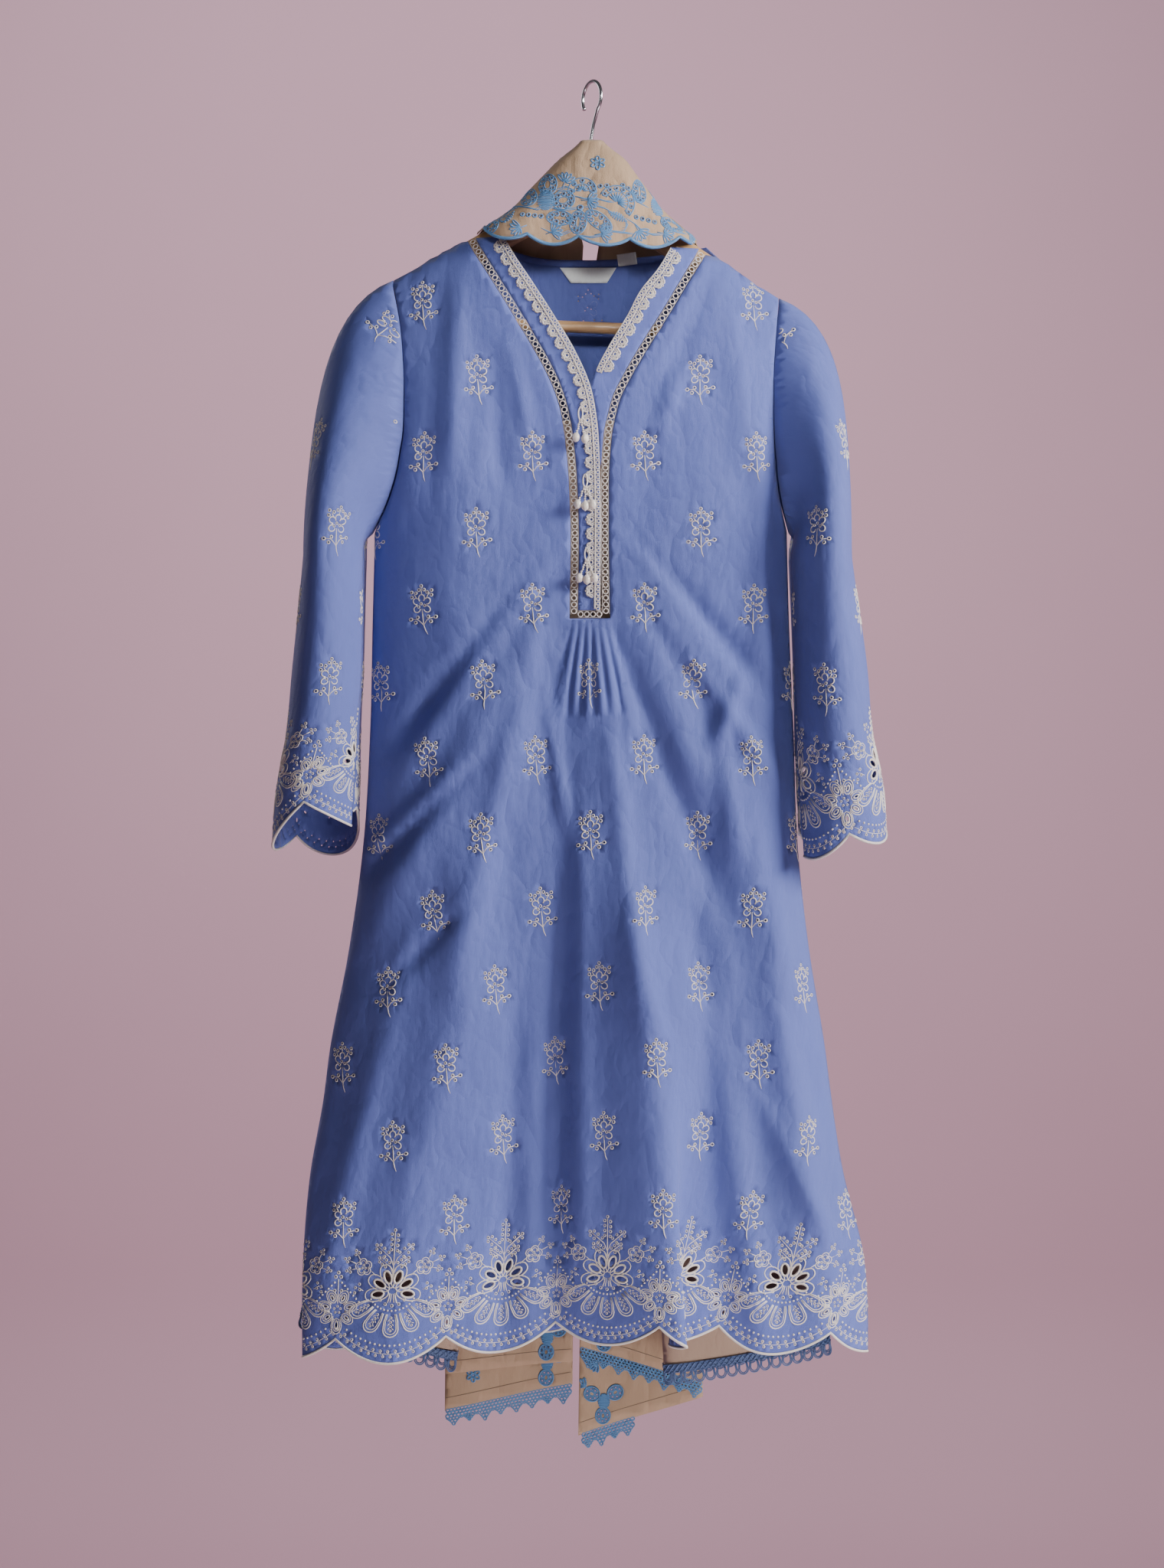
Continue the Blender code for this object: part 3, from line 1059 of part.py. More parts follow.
def make_tail(hand, rows, layer):
    """One layer of a tail, ending in its hem, and its lace where the layer has one."""
    cloth = tail_cloth(rows, hand, layer)
    top = 0.0630 if layer == "far" else LAYER_TOP
    outer_hem, inner_hem = TAIL_HEMS[hand, layer]
    outer = [(1e-5, d) for d in np.linspace(top, outer_hem, 24)]
    width = cloth.edge(inner_hem, True) - 1e-5
    inner = [(cloth.edge(d, True) - 1e-5, d) for d in np.linspace(top, inner_hem, 24)]
    hem = [(s * width, outer_hem + (inner_hem - outer_hem) * s) for s in (0.2, 0.4, 0.6, 0.8)]
    flat, faces = cut(outer + hem + inner[::-1], spacing=(0.036, 0.075))
    hang(f"dupatta_tail_{hand}_{layer}", "cream_cloth", cloth, flat, faces)
    if (hand, layer) in (("left", "far"), ("right", "near"), ("right", "far")):
        make_dupatta_lace(hand, layer, cloth, width, outer_hem, inner_hem)


def make_dupatta_lace(hand, layer, cloth, width, outer_hem, inner_hem):
    """Crochet lace under a tail's hem, with a point for each picot."""
    first, last = (0.55, 0.97) if (hand, layer) == ("right", "far") else (0.02, 0.98)
    count = int(round((last - first) * width / 0.012))
    upper, lower = [], []
    for k in range(count * 2 + 1):
        share = first + (last - first) * k / (2 * count)
        drop = outer_hem + (inner_hem - outer_hem) * share + SEAM
        if k % 2 == 0:
            upper.append((share * width, drop))
        lower.append((share * width, drop + DUPATTA_LACE * (1.0 if k % 2 else 0.72)))
    flat, faces = cut(upper + lower[::-1], spacing=(0.03, 0.03))
    hang(f"dupatta_lace_{hand}_{layer}", "sky_lace", cloth, flat, faces, thickness=TRIM_WALL)


# ---------------------------------------------------------------- hanger
def make_arms():
    """The wooden arms: rounded sections from end to end."""
    outs = list(ARM_TOP["out"])
    stations = [-v for v in outs[:0:-1]] + outs
    sides = 12
    points, faces = [], []
    for x in stations:
        drop, height, half = (float(along(ARM_TOP, c, abs(x))) for c in ("drop", "height", "half_depth"))
        for k in range(sides):
            t = 2 * math.pi * k / sides
            px, pd = tilted(x, drop + height / 2 - height / 2 * math.cos(t))
            points.append((px, half * math.sin(t), -pd))
    for i in range(len(stations) - 1):
        for k in range(sides):
            n = (k + 1) % sides
            faces.append((i * sides + k, (i + 1) * sides + k, (i + 1) * sides + n, i * sides + n))
    faces.append(tuple(range(sides)))
    faces.append(tuple(reversed(range((len(stations) - 1) * sides, len(stations) * sides))))
    return add_object("hanger_arms", tidy_mesh("hanger_arms", points, faces), "honey_wood")


def make_bar():
    """The trouser bar, between the lobes under the arms."""
    mesh = bpy.data.meshes.new("hanger_bar")
    shape = bmesh.new()
    bmesh.ops.create_cone(shape, cap_ends=True, segments=20, radius1=BAR_RADIUS, radius2=BAR_RADIUS,
                          depth=2 * BAR_HALF)
    shape.to_mesh(mesh)
    shape.free()
    mesh.shade_smooth()
    bar = add_object("hanger_bar", mesh, "honey_wood")
    x, drop = tilted(0.0, BAR_DROP)
    bar.matrix_world = (Matrix.Translation((x, 0, -drop))
                        @ Matrix.Rotation(math.pi / 2 + HANGER_TILT, 4, "Y"))
    return bar


def make_hook():
    """The wire hook over the rail: a shank in the wooden neck and three quarters of a circle."""
    radius, yaw = HOOK_RADIUS, HOOK_YAW
    centre = -radius + WIRE
    foot_x, foot_drop = tilted(0.0, float(ARM_TOP["drop"][0]))
    line = [(0.0, -foot_drop + SEAM), (0.0, -0.060), (0.0025, HOOK_BEND)]
    line += [(radius * math.cos(t), centre + radius * math.sin(t))
             for t in np.radians(np.arange(-50, 215, 12))]
    data = bpy.data.curves.new("hanger_hook", "CURVE")
    data.dimensions = "3D"
    data.bevel_depth = WIRE
    data.bevel_resolution = 2
    data.use_fill_caps = True
    spline = data.splines.new("POLY")
    spline.points.add(len(line) - 1)
    for point, (u, z) in zip(spline.points, line):
        lean = foot_x * max(0.0, HOOK_BEND - z) / (HOOK_BEND + foot_drop)
        point.co = (u * math.cos(yaw) + lean, -u * math.sin(yaw), z, 1.0)
    return add_object("hanger_hook", data, "chrome_wire")


def main():
    clear_scene()
    make_arms()
    make_bar()
    make_hook()
    front = kameez_cloth(-1, FRONT_FOLDS, OVERLAP)
    back = kameez_cloth(1, BACK_FOLDS)
    make_kameez_front(front)
    make_kameez_back(back)
    for hand, sections, armhole in (("left", SLEEVE_LEFT, ARMHOLE_LEFT), ("right", SLEEVE_RIGHT, ARMHOLE_RIGHT)):
        sleeve = Sleeve(hand, sections, armhole, front, back)
        for face in ("front", "back"):
            make_sleeve_half(sleeve, face)
    make_neck(front)
    make_back_neck(back)
    for index, (drop, x, strands) in enumerate(zip(*TASSELS.values()), 1):
        make_tassel(front, index, drop, x, int(strands))
    make_waist()
    for hand, rows in (("left", LEG_LEFT), ("right", LEG_RIGHT)):
        for face in (-1, 1):
            make_trouser_panel(hand, rows, face)
    make_bib(bib_cloth())
    for hand, rows in (("left", TAIL_LEFT), ("right", TAIL_RIGHT)):
        for layer in ("near", "far"):
            make_tail(hand, rows, layer)


main()
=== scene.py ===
"""A three-piece salwar kameez suit on a hanger: eyelet-embroidered kameez, trousers and dupatta."""
import functools
import math

import bpy
import numpy as np
from bpy.props import FloatProperty, FloatVectorProperty, PointerProperty
from mathutils import Matrix, Vector
from mathutils.geometry import delaunay_2d_cdt
from mathutils.kdtree import KDTree


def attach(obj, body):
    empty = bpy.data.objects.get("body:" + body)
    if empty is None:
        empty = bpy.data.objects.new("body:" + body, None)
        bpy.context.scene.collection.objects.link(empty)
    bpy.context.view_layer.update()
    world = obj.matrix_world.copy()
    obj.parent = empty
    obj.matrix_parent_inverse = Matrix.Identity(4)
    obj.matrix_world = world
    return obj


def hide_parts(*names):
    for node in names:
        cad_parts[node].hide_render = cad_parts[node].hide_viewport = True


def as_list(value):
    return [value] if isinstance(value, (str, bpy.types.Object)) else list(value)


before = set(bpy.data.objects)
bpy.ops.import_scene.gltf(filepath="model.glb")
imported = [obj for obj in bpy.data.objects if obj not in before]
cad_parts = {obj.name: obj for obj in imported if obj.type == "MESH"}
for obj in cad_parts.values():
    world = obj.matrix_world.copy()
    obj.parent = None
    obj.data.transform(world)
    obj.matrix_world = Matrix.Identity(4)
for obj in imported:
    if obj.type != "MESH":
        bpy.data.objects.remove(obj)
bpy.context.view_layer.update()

bl_info = {
    "name": "Salwar kameez suit",
    "version": (1, 0, 0),
    "blender": (4, 5, 0),
    "location": "View3D > Sidebar > Suit",
    "description": "Dresses a packed salwar kameez suit: cloth, eyelet embroidery, crochet and hanger",
    "category": "Object",
}

MM = 0.001                 # tables are in millimetres, single lengths in metres
SHELL = 0.0008             # thickness of the cloth shells
WALL = 0.0012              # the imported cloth's wall, under every trim
SEAM = 0.0003
INSET = 1e-5               # keeps a cut edge off the end of its cloth's rows
REPEAT = 0.110             # width of the embroidery repeat and of one scallop
ROW_PITCH = 0.0749         # distance between rows of sprigs
FIRST_ROW = 0.2245
SPRIG_UP = 0.006           # a sprig's own middle lies this far above its row
SCALLOP = 0.023
HEM_DROP = 1.259
MEDALLION_UP, CUSP_UP = 0.071, 0.0525
HEM_CORNER, CUFF_CORNER, HEM_EDGE = 0.022, 0.020, 0.010     # where the side edges end, above the lowest point
FRONT_PHASE = 0.016
BACK_PHASE = -0.039
CUFF_PHASE = 0.030
UNDERARM = 0.445
SHOULDER_ROUND = 0.09      # the cloth turns down from the shoulder line within this drop
MOST_OUT = 0.068           # folds that stand further out than this are pressed back
NECK_FOOT = 0.5325
INSERTION = 0.0078
HANGER_TILT = math.radians(2.3)
HANGER_HALF = 0.190
BAR_DROP = 0.2415
BAR_HALF = 0.1484
BAR_RADIUS = 0.00575
WIRE = 0.00175
HOOK_RADIUS = 0.0165
HOOK_BEND = -0.042
HOOK_YAW = math.radians(57)
LOOP_HEIGHT = 0.0125
BRAID = 0.0084
FACING = 0.0064
TAPE_WIDTH, TAPE_STEP = 0.008, 0.005
ARMHOLE_PARTS = 48
PLACE_STEP, STITCH_STEP = 0.0015, 0.0012     # how far the cloth's slope is measured, in shells and stitches
PETAL_OUT, PETAL_LONG, PETAL_WIDE, PETAL_STEP, PETAL_PARTS = 0.0150, 0.0056, 0.0028, 40, 14


PLAIN = ("turn", "lean", "slope", "strands")   # columns that aren't lengths


def table(columns, *rows):
    """Rows of millimetres as an array of metres for each named column; the first column is looked up."""
    return {name: np.array([row[i] for row in rows], float) * (1.0 if name in PLAIN else MM)
            for i, name in enumerate(columns.split())}


def along(rows, column, at):
    """A column's value at a place in the table's first column, on a smooth curve through the rows."""
    xs, ys = list(rows.values())[0], rows[column]
    slopes = np.gradient(ys, xs)
    at = np.clip(np.asarray(at, float), xs[0], xs[-1])
    i = np.clip(np.searchsorted(xs, at) - 1, 0, len(xs) - 2)
    step = xs[i + 1] - xs[i]
    u = (at - xs[i]) / step
    return ((1 + 2 * u) * (1 - u) ** 2 * ys[i] + u * (1 - u) ** 2 * step * slopes[i]
            + u * u * (3 - 2 * u) * ys[i + 1] + u * u * (u - 1) * step * slopes[i + 1])


# ---------------------------------------------------------------- measurements
KAMEEZ = table(
    "drop left right front back slit",
    (150, -213, 192, 31, 29, 0),
    (450, -214, 192, 37, 34, 0),
    (530, -216, 194, 38, 34, 0),
    (640, -218.5, 198.5, 38, 34, 0),
    (760, -226, 203, 40, 36, 0),
    (860, -240, 214, 42, 37, 0),
    (960, -259, 230, 44, 38, 0),
    (1000, -264, 235, 45, 39, 0),
    (1080, -277.5, 247, 46, 40, 6),
    (1160, -283.5, 266, 48, 42, 14),
    (1280, -284, 271.5, 50, 44, 18),
)
# A ridge line runs from its top to its foot; a negative height is a trough.
FOLDS = "top_drop top_x foot_drop foot_x top_width foot_width height"
FRONT_FOLDS = table(
    FOLDS,
    (445, -36, 690, -190, 12, 26, 4.5),
    (505, -38, 830, -215, 12, 30, 5.5),
    (435, 28, 600, 135, 12, 24, 4),
    (495, 30, 700, 110, 12, 24, 4.5),
    (180, -130, 400, -168, 14, 20, 4),
    (185, 128, 380, 158, 14, 20, 3.5),
)
# Long pleats of the kameez front: where their bends lie across it, and how high each stands.
BENDS = "drop a b c d e f g"
PLEAT_PLACES = table(
    BENDS,
    (255, -135, -65, -35, 0, 55, 100, 145),
    (405, -135, -65, -35, 0, 55, 100, 145),
    (500, -135, -75, -36, 4, 55, 105, 150),
    (580, -120, -80, -36, 9, 65, 110, 158),
    (675, -110, -82, -36, 12, 65, 110, 162),
    (765, -127, -90, -36, 16, 75, 115, 160),
    (848, -127, -82, -36, 34, 100, 145, 185),
    (920, -128, -82, -36, 54, 120, 162, 191),
    (998, -150, -100, -36, 54, 122, 168, 197),
    (1073, -173, -105, -34, 55, 122, 168, 213),
    (1160, -185, -110, -32, 57, 124, 170, 222),
    (1285, -197, -110, -30, 60, 126, 176, 232),
)
PLEAT_HEIGHTS = table(
    BENDS,
    (255, 0, 0, 0, 0, 0, 0, 0),
    (405, 6, -4, -4, -3, -2, 2, 2),
    (500, 5, -1, -4, -3, -1, 1, 3),
    (580, 5, 2, -2, 1, 1, 1, 4),
    (675, 7, 7, -1, 4.5, 0, 1, 7),
    (765, 10, 0, -4, 5, -2, -2, 8),
    (848, 10, -3, -7.5, 14, -1, 2, 15),
    (920, 11, -4.5, -10, 19, 1, 5, 15),
    (998, 10, -5, -12, 18.5, 0, 2, 13.5),
    (1073, 9.5, -7, -13, 18, 1, 1.5, 14),
    (1160, 7, -9, -14, 17, -1, -1, 11),
    (1285, 6, -9, -14, 16, -2, 0, 9),
)
PLEAT_SOFTNESS = 0.012     # how far a pleat's crest is rounded, to each side
BACK_FOLDS = table(
    FOLDS,
    (480, -60, 1265, -120, 20, 45, 10),
    (520, 70, 1265, 105, 20, 45, 10),
    (560, 0, 1265, -10, 20, 40, 9),
    (620, -150, 1265, -220, 18, 38, 10),
    (640, 130, 1265, 205, 18, 34, 9),
    (560, -30, 1265, -66, 18, 26, -7),
    (560, 40, 1265, 48, 18, 26, -7),
    (640, -105, 1265, -168, 18, 28, -7),
    (640, 105, 1265, 155, 18, 26, -6),
    (190, -120, 430, -150, 16, 24, 3.5),
    (190, 112, 430, 140, 16, 24, 3.5),
)
# Finer creases of the hung cloth, drawn as the folds are.
FRONT_CREASES = table(
    FOLDS,
    (592, -46, 735, -25, 4, 6, 4.5),
    (465, -36, 860, -127, 10, 18, 5),
    (545, 6, 930, 54, 8, 14, 6),
    (575, 152, 655, 122, 8, 9, 5),
    (615, 124, 760, 140, 8, 12, 4.5),
    (983, 155, 1140, 232, 8, 12, 5.5),
    (860, 178, 1040, 228, 8, 12, -4.5),
    (800, -165, 1200, -272, 14, 18, 5),
    (660, -100, 785, -222, 8, 12, -5),
    (645, -95, 760, -222, 7, 12, 4),
    (790, -98, 880, -190, 7, 10, -4.5),
    (440, -30, 645, -182, 6, 14, -5.5),
    (430, 24, 585, 156, 6, 12, -5.5),
    (470, 26, 690, 180, 6, 14, 4.5),
    (540, 22, 800, 118, 7, 16, -5),
    (180, -126, 370, -136, 8, 12, 4.5),
    (190, -146, 400, -162, 8, 14, -4),
    (300, 162, 600, 172, 10, 14, 5),
    (185, 120, 290, 82, 7, 9, -4),
    (225, 104, 340, 70, 6, 8, 3.5),
    (240, -85, 350, -62, 5, 8, 3.5),
    (255, -100, 400, -88, 6, 10, -3.5),
    (700, -10, 1160, -12, 8, 16, 5.5),
    (640, -22, 1200, -40, 8, 18, -5),
    (880, -70, 1260, -88, 10, 18, -6),
    (760, 96, 1250, 136, 10, 20, -5),
    (940, 120, 1260, 170, 10, 20, 5),
)
BACK_CREASES = table(
    FOLDS,
    (230, -60, 520, -20, 10, 16, 3.5),
    (250, 60, 560, 30, 10, 16, 3.5),
    (560, -90, 1200, -172, 12, 24, 7),
    (600, 95, 1220, 180, 12, 22, 6.5),
    (700, 20, 1240, 28, 12, 20, 6),
    (760, -30, 1240, -46, 10, 18, -5),
    (520, 150, 760, 80, 8, 14, -4),
    (540, -165, 780, -95, 8, 14, -4),
    (620, 170, 860, 110, 9, 14, 4),
)
GATHERS = table(
    FOLDS,
    *[(534.5, x, 615 + 12 * (k % 3), x * 2.3 + 4, 1.6, 4.5, 2.0 if k % 2 else -1.8)
      for k, x in enumerate(np.linspace(-18.5, 17.5, 13))],
)
FOLD_GAIN = 1.80           # the hung cloth's folds stand a little more proud than its solid's
PLEAT_GAIN = 1.35
CREASE_GAIN = 1.55
# The front's one overlapping fold: cloth from its left turns under and shows again on its right.
OVERLAP = dict(top_drop=0.90, x=0.083, width=0.028, across=0.058, depth=0.026)

ARM_TOP = table(
    "out drop height half_depth",
    (0, 88, 34, 7),
    (30, 105, 34, 7),
    (60, 125, 32, 6.8),
    (120, 163, 30, 6.6),
    (148, 179.7, 29, 6.2),
    (149, 180.3, 67, 6.2),
    (160, 187.5, 60, 5.8),
    (168, 193.5, 44, 5),
    (175, 198, 32, 4.4),
    (187, 208, 18, 3),
    (190, 212, 10, 2),
)
# Centre lines of the openwork insertion and the two edges of the neck opening.
INSERTION_LEFT = table("drop x", (156, -121.5), (188, -101), (235, -72), (259, -57.8), (281.5, -45),
    (301, -35.7), (321, -28.7), (339, -24.8), (371, -20.7), (433, -17.2), (524.7, -17.8))
INSERTION_RIGHT = table("drop x", (165, 114), (190.5, 97), (232.5, 71.6), (273.5, 46.1), (298.5, 32),
    (313, 24.8), (330, 19.8), (345, 16.4), (371, 13.7), (433, 12.5), (524.7, 13.5))
NECK_LEFT = table("drop x", (155.2, -87.2), (175.2, -75.7), (202.5, -57.7), (237, -35.7), (267.7, -17.5),
    (302.2, -2.2), (337, 4.7), (371.2, 7.2), (405.5, 8.2), (524.7, 8))
NECK_RIGHT = table("drop x", (165.5, 78.5), (189, 64.2), (209.5, 47.9), (235, 34.3), (260.6, 18.8),
    (284.2, 6), (302.2, -1))
BACK_NECK = table("x drop", (-118, 155.5), (-85, 160.5), (-63, 166.5), (-3, 170), (55, 167.5), (85, 165.5),
    (113, 162.5))
ARMHOLE_LEFT = table("drop x", (200, -196), (235, -189), (300, -184), (360, -186.5), (410, -198),
    (445, -213.9))
ARMHOLE_RIGHT = table("drop x", (208, 185), (240, 182), (300, 178), (360, 179), (410, 184), (445, 191.9))
# Sleeve sections: a flattened oval, its long axis turned from front-to-back by `turn` degrees.
# `lean` and `slope` raise the ring along its short and long axes.
SLEEVE = "drop x y long short turn lean slope"
SLEEVE_LEFT = table(
    SLEEVE,
    (470, -253.5, -3, 59, 27.6, -10, 0, 0),
    (585, -260.9, -3, 54.5, 33.4, -8, -0.05, -0.05),
    (650, -265.4, -4, 53.5, 34.2, -13, -0.15, -0.12),
    (700, -270.5, -4, 49, 38.7, -20, -0.28, -0.22),
    (790, -273.8, -4, 47.5, 39.6, -26, -0.45, -0.36),
)
SLEEVE_RIGHT = table(
    SLEEVE,
    (470, 225.1, -3, 58, 28.4, -8, 0, 0),
    (585, 235.4, -3, 52, 35.3, -7, 0.05, 0.05),
    (650, 238.7, -4, 51.5, 36.7, -11, 0.15, 0.12),
    (700, 244.8, -4, 47.5, 40.6, -16, 0.26, 0.22),
    (790, 248.9, -4, 47.5, 40.7, -20, 0.42, 0.36),
)
CUFF_DROP = 0.750          # lowest point of the cuff, measured down the sleeve
CAP_DROP = 0.470           # the sleeve cap ends here and the plain tube starts

WAIST_TOP, WAIST_FOOT, WAIST_DEPTH = 0.3360, 0.3660, 0.0160
LEG = "drop outer inner depth turn rise"
LEG_LEFT = table(
    LEG,
    (366, -172, -0.6, 16, 90, 0),
    (570, -188, -0.6, 20, 90, 0),
    (600, -190, -0.6, 20, 90, 0),
    (660, -196, -13, 21, 180, 0),
    (800, -212, -50, 20, 180, 8),
    (1000, -240, -90, 20, 180, 20),
    (1150, -268, -120, 20, 180, 35),
    (1290, -292, -138, 19, 180, 46),
)
LEG_RIGHT = table(
    LEG,
    (366, 165, 0.6, 16, 90, 0),
    (570, 175, 0.6, 20, 90, 0),
    (600, 176, 0.6, 20, 90, 0),
    (660, 179, 11, 21, 180, 0),
    (800, 186, 30, 20, 180, 4),
    (1000, 206, 50, 20, 180, 10),
    (1150, 222, 64, 22, 180, 20),
    (1290, 236, 73, 22, 180, 31),
)
LEG_HEM = {"left": 1.262, "right": 1.2745}

BIB = table(
    "drop left right depth",
    (52, -6, 6, 5),
    (61.5, -14, 14, 9),
    (77, -33, 33, 18),
    (91, -46.5, 43, 25),
    (105, -60, 53.5, 30),
    (127, -81, 70, 36),
    (140, -100, 83, 39),
    (148, -113, 93, 40),
    (156, -113, 103, 41),
    (168, -113, 103, 42),
)
BIB_SCALLOP, BIB_PITCH, BIB_PHASE = 0.0085, 0.0505, -0.0385
BIB_HEM = table("x drop", (-115, 150), (-63, 161), (0, 164), (55, 166), (105, 160))
TAIL = "drop outer inner outer_y inner_y"
TAIL_LEFT = table(
    TAIL,
    (62, -14, -5, 0.3, 8),
    (91, -46.5, -6, 0.3, 18),
    (127, -81, -7, 0.3, 30),
    (148, -113, -8, 1, 37),
    (175, -124, -9, 30, 41),
    (230, -130, -10, 44, 44),
    (450, -134, -13, 47.5, 47.5),
    (800, -140, -16, 53.5, 53.5),
    (1100, -146, -18, 59, 59),
    (1380, -149, -20, 60, 60),
)
TAIL_RIGHT = table(
    TAIL,
    (62, 14, 5, 0.6, 8),
    (91, 43, 6, 0.6, 18),
    (127, 70, 6, 0.6, 30),
    (156, 103, 5, 1.2, 38),
    (180, 112, 3, 30, 41),
    (230, 115, 1, 44, 44),
    (450, 115, -2, 47.5, 47.5),
    (800, 114, -6, 53.5, 53.5),
    (1100, 113, -10, 59, 59),
    (1380, 112, -14, 60, 60),
)
TAIL_LAYER = 0.0046        # distance between a tail's two layers
LAYER_TOP = 0.260          # the tails' second layers start here
# Hems of the tail layers: the drop at the outer and at the inner edge.
TAIL_HEMS = {
    ("left", "near"): (1.288, 1.276),
    ("left", "far"): (1.326, 1.300),
    ("right", "near"): (1.298, 1.262),
    ("right", "far"): (1.312, 1.352),
}
# Half sizes of a tassel's beads: on the string, at its end, over each pearl, and the pearl.
SEED, END_SEED, CAP_SEED, PEARL = (
    (0.00115, 0.00115, 0.0010), (0.0009, 0.0009, 0.0008), (0.0013, 0.0013, 0.0009), (0.0038, 0.0038, 0.0047))
PICOT_DRAWN = 0.0143       # the width that one picot's points are written for
LACE_POINTS = (1.0, 0.72, 1.3, 0.85, 1.12)     # heights of the dupatta lace's points, in turn
TASSELS = table("drop x strands", (325.5, -11.2, 2), (391, -6.6, 3), (463.5, -5, 3))


def turned(degrees):
    """Sine and cosine of a turn in degrees."""
    return math.sin(math.radians(degrees)), math.cos(math.radians(degrees))


# ---------------------------------------------------------------- cloth
class Cloth:
    """Rows of points at rising drops; `across` is the distance along each row from its zero."""

    def __init__(self, drops, rows, zero, side):
        self.drops, self.rows, self.side = np.asarray(drops), np.asarray(rows), side
        steps = np.linalg.norm(np.diff(self.rows, axis=1), axis=2)
        lengths = np.concatenate([np.zeros((len(drops), 1)), np.cumsum(steps, axis=1)], axis=1)
        start = [np.interp(zero, row[:, 0], length) if zero is not None else 0.0
                 for row, length in zip(self.rows, lengths)]
        self.across = lengths - np.array(start)[:, None]
        self.columns = np.arange(self.rows.shape[1])

    def on_row(self, row, across):
        column = np.interp(across, self.across[row], self.columns)
        return np.stack([np.interp(column, self.columns, self.rows[row][:, k]) for k in range(3)], axis=-1)

    def points(self, flat):
        flat = np.atleast_2d(flat)
        last = len(self.drops) - 1.001
        place = np.clip(np.interp(flat[:, 1], self.drops, np.arange(len(self.drops))), 0, last)
        row = place.astype(int)
        result = np.zeros((len(flat), 3))
        for r in np.unique(row):
            here = row == r
            share = (place[here] - r)[:, None]
            result[here] = (self.on_row(r, flat[here, 0]) * (1 - share)
                            + self.on_row(r + 1, flat[here, 0]) * share)
        return result

    def place(self, flat, lift=0.0):
        """Points of the hung cloth for flat places, moved out from its inner side by `lift`."""
        return frames(self, flat, lift, PLACE_STEP)[0] if np.any(lift) else self.points(flat)

    def edge(self, drop, last=False):
        """Across position of the first or last point of the row at a drop."""
        return float(np.interp(drop, self.drops, self.across[:, -1 if last else 0]))

    def across_at(self, x, drop):
        """Across position of the point of the row at a drop that lies at x."""
        row = int(np.clip(np.searchsorted(self.drops, drop), 0, len(self.drops) - 1))
        order = np.argsort(self.rows[row][:, 0])
        return float(np.interp(x, self.rows[row][order, 0], self.across[row][order]))


def lengths_along(points):
    """Distance of each point from the first, along their line."""
    return np.concatenate([[0], np.cumsum(np.linalg.norm(np.diff(points, axis=0), axis=1))])


def resample(points, step):
    """Points along an open line at about equal steps."""
    points = np.asarray(points, float)
    lengths = lengths_along(points)
    count = max(1, int(round(lengths[-1] / step)))
    at = np.linspace(0, lengths[-1], count + 1)
    return np.stack([np.interp(at, lengths, points[:, k]) for k in range(2)], axis=1)


def inside(points, outline):
    """True for each point inside a closed outline."""
    x, y = points[:, 0][:, None], points[:, 1][:, None]
    x0, y0 = outline[:, 0][None], outline[:, 1][None]
    x1, y1 = np.roll(outline, -1, axis=0).T[:, None]
    rise = np.where(y1 == y0, 1e-12, y1 - y0)
    crossing = ((y0 > y) != (y1 > y)) & (x < (x1 - x0) * (y - y0) / rise + x0)
    return crossing.sum(axis=1) % 2 == 1


def clearance(points, outline):
    """Distance from each point to a closed outline, negative outside it."""
    start, end = outline, np.roll(outline, -1, axis=0)
    way = end - start
    length = (way ** 2).sum(axis=1) + 1e-18
    result = np.empty(len(points))
    for first in range(0, len(points), 4000):
        some = points[first:first + 4000, None]
        share = np.clip(((some - start) * way).sum(axis=2) / length, 0, 1)
        result[first:first + 4000] = np.linalg.norm(some - start - way * share[..., None], axis=2).min(axis=1)
    return np.where(inside(points, outline), result, -result)


def cut(outline, holes=(), spacing=(0.006, 0.009), more=None):
    """Triangles of a flat piece: outline, holes, a spaced fill and more points where it creases."""
    outline = np.asarray(outline, float)
    outline = outline + 4e-6 * (np.arange(len(outline)) % 2)[:, None]
    low, high = outline.min(axis=0), outline.max(axis=0)
    fill = np.array([(a + (k % 2) * spacing[0] / 2, d)
                     for k, d in enumerate(np.arange(low[1] + spacing[1] / 2, high[1], spacing[1]))
                     for a in np.arange(low[0], high[0], spacing[0])]).reshape(-1, 2)
    if more is not None:
        fill = np.concatenate([more, fill])
    fill = fill[inside(fill, outline)]
    loops = [outline, *holes]
    rims = np.concatenate(loops)
    near = KDTree(len(rims))
    for index, (a, d) in enumerate(rims):
        near.insert((a, d, 0.0), index)
    near.balance()
    clear = [near.find((a, d, 0.0))[2] > 0.32 * spacing[0] for a, d in fill]
    edges, start = [], 0
    for loop in loops:
        edges.extend((start + i, start + (i + 1) % len(loop)) for i in range(len(loop)))
        start += len(loop)
    points = np.concatenate([rims, fill[clear]])
    result = delaunay_2d_cdt([Vector(p) for p in points], edges, [], 0, 1e-9, False)
    if len(result[0]) != len(points):
        raise ValueError("two edges of a cut piece cross")
    faces = keep_inside([tuple(f) for f in result[2]], edges)
    used = np.unique(np.array(faces))
    renumber = np.full(len(points), -1)
    renumber[used] = np.arange(len(used))
    return points[used], [tuple(renumber[list(f)]) for f in faces]


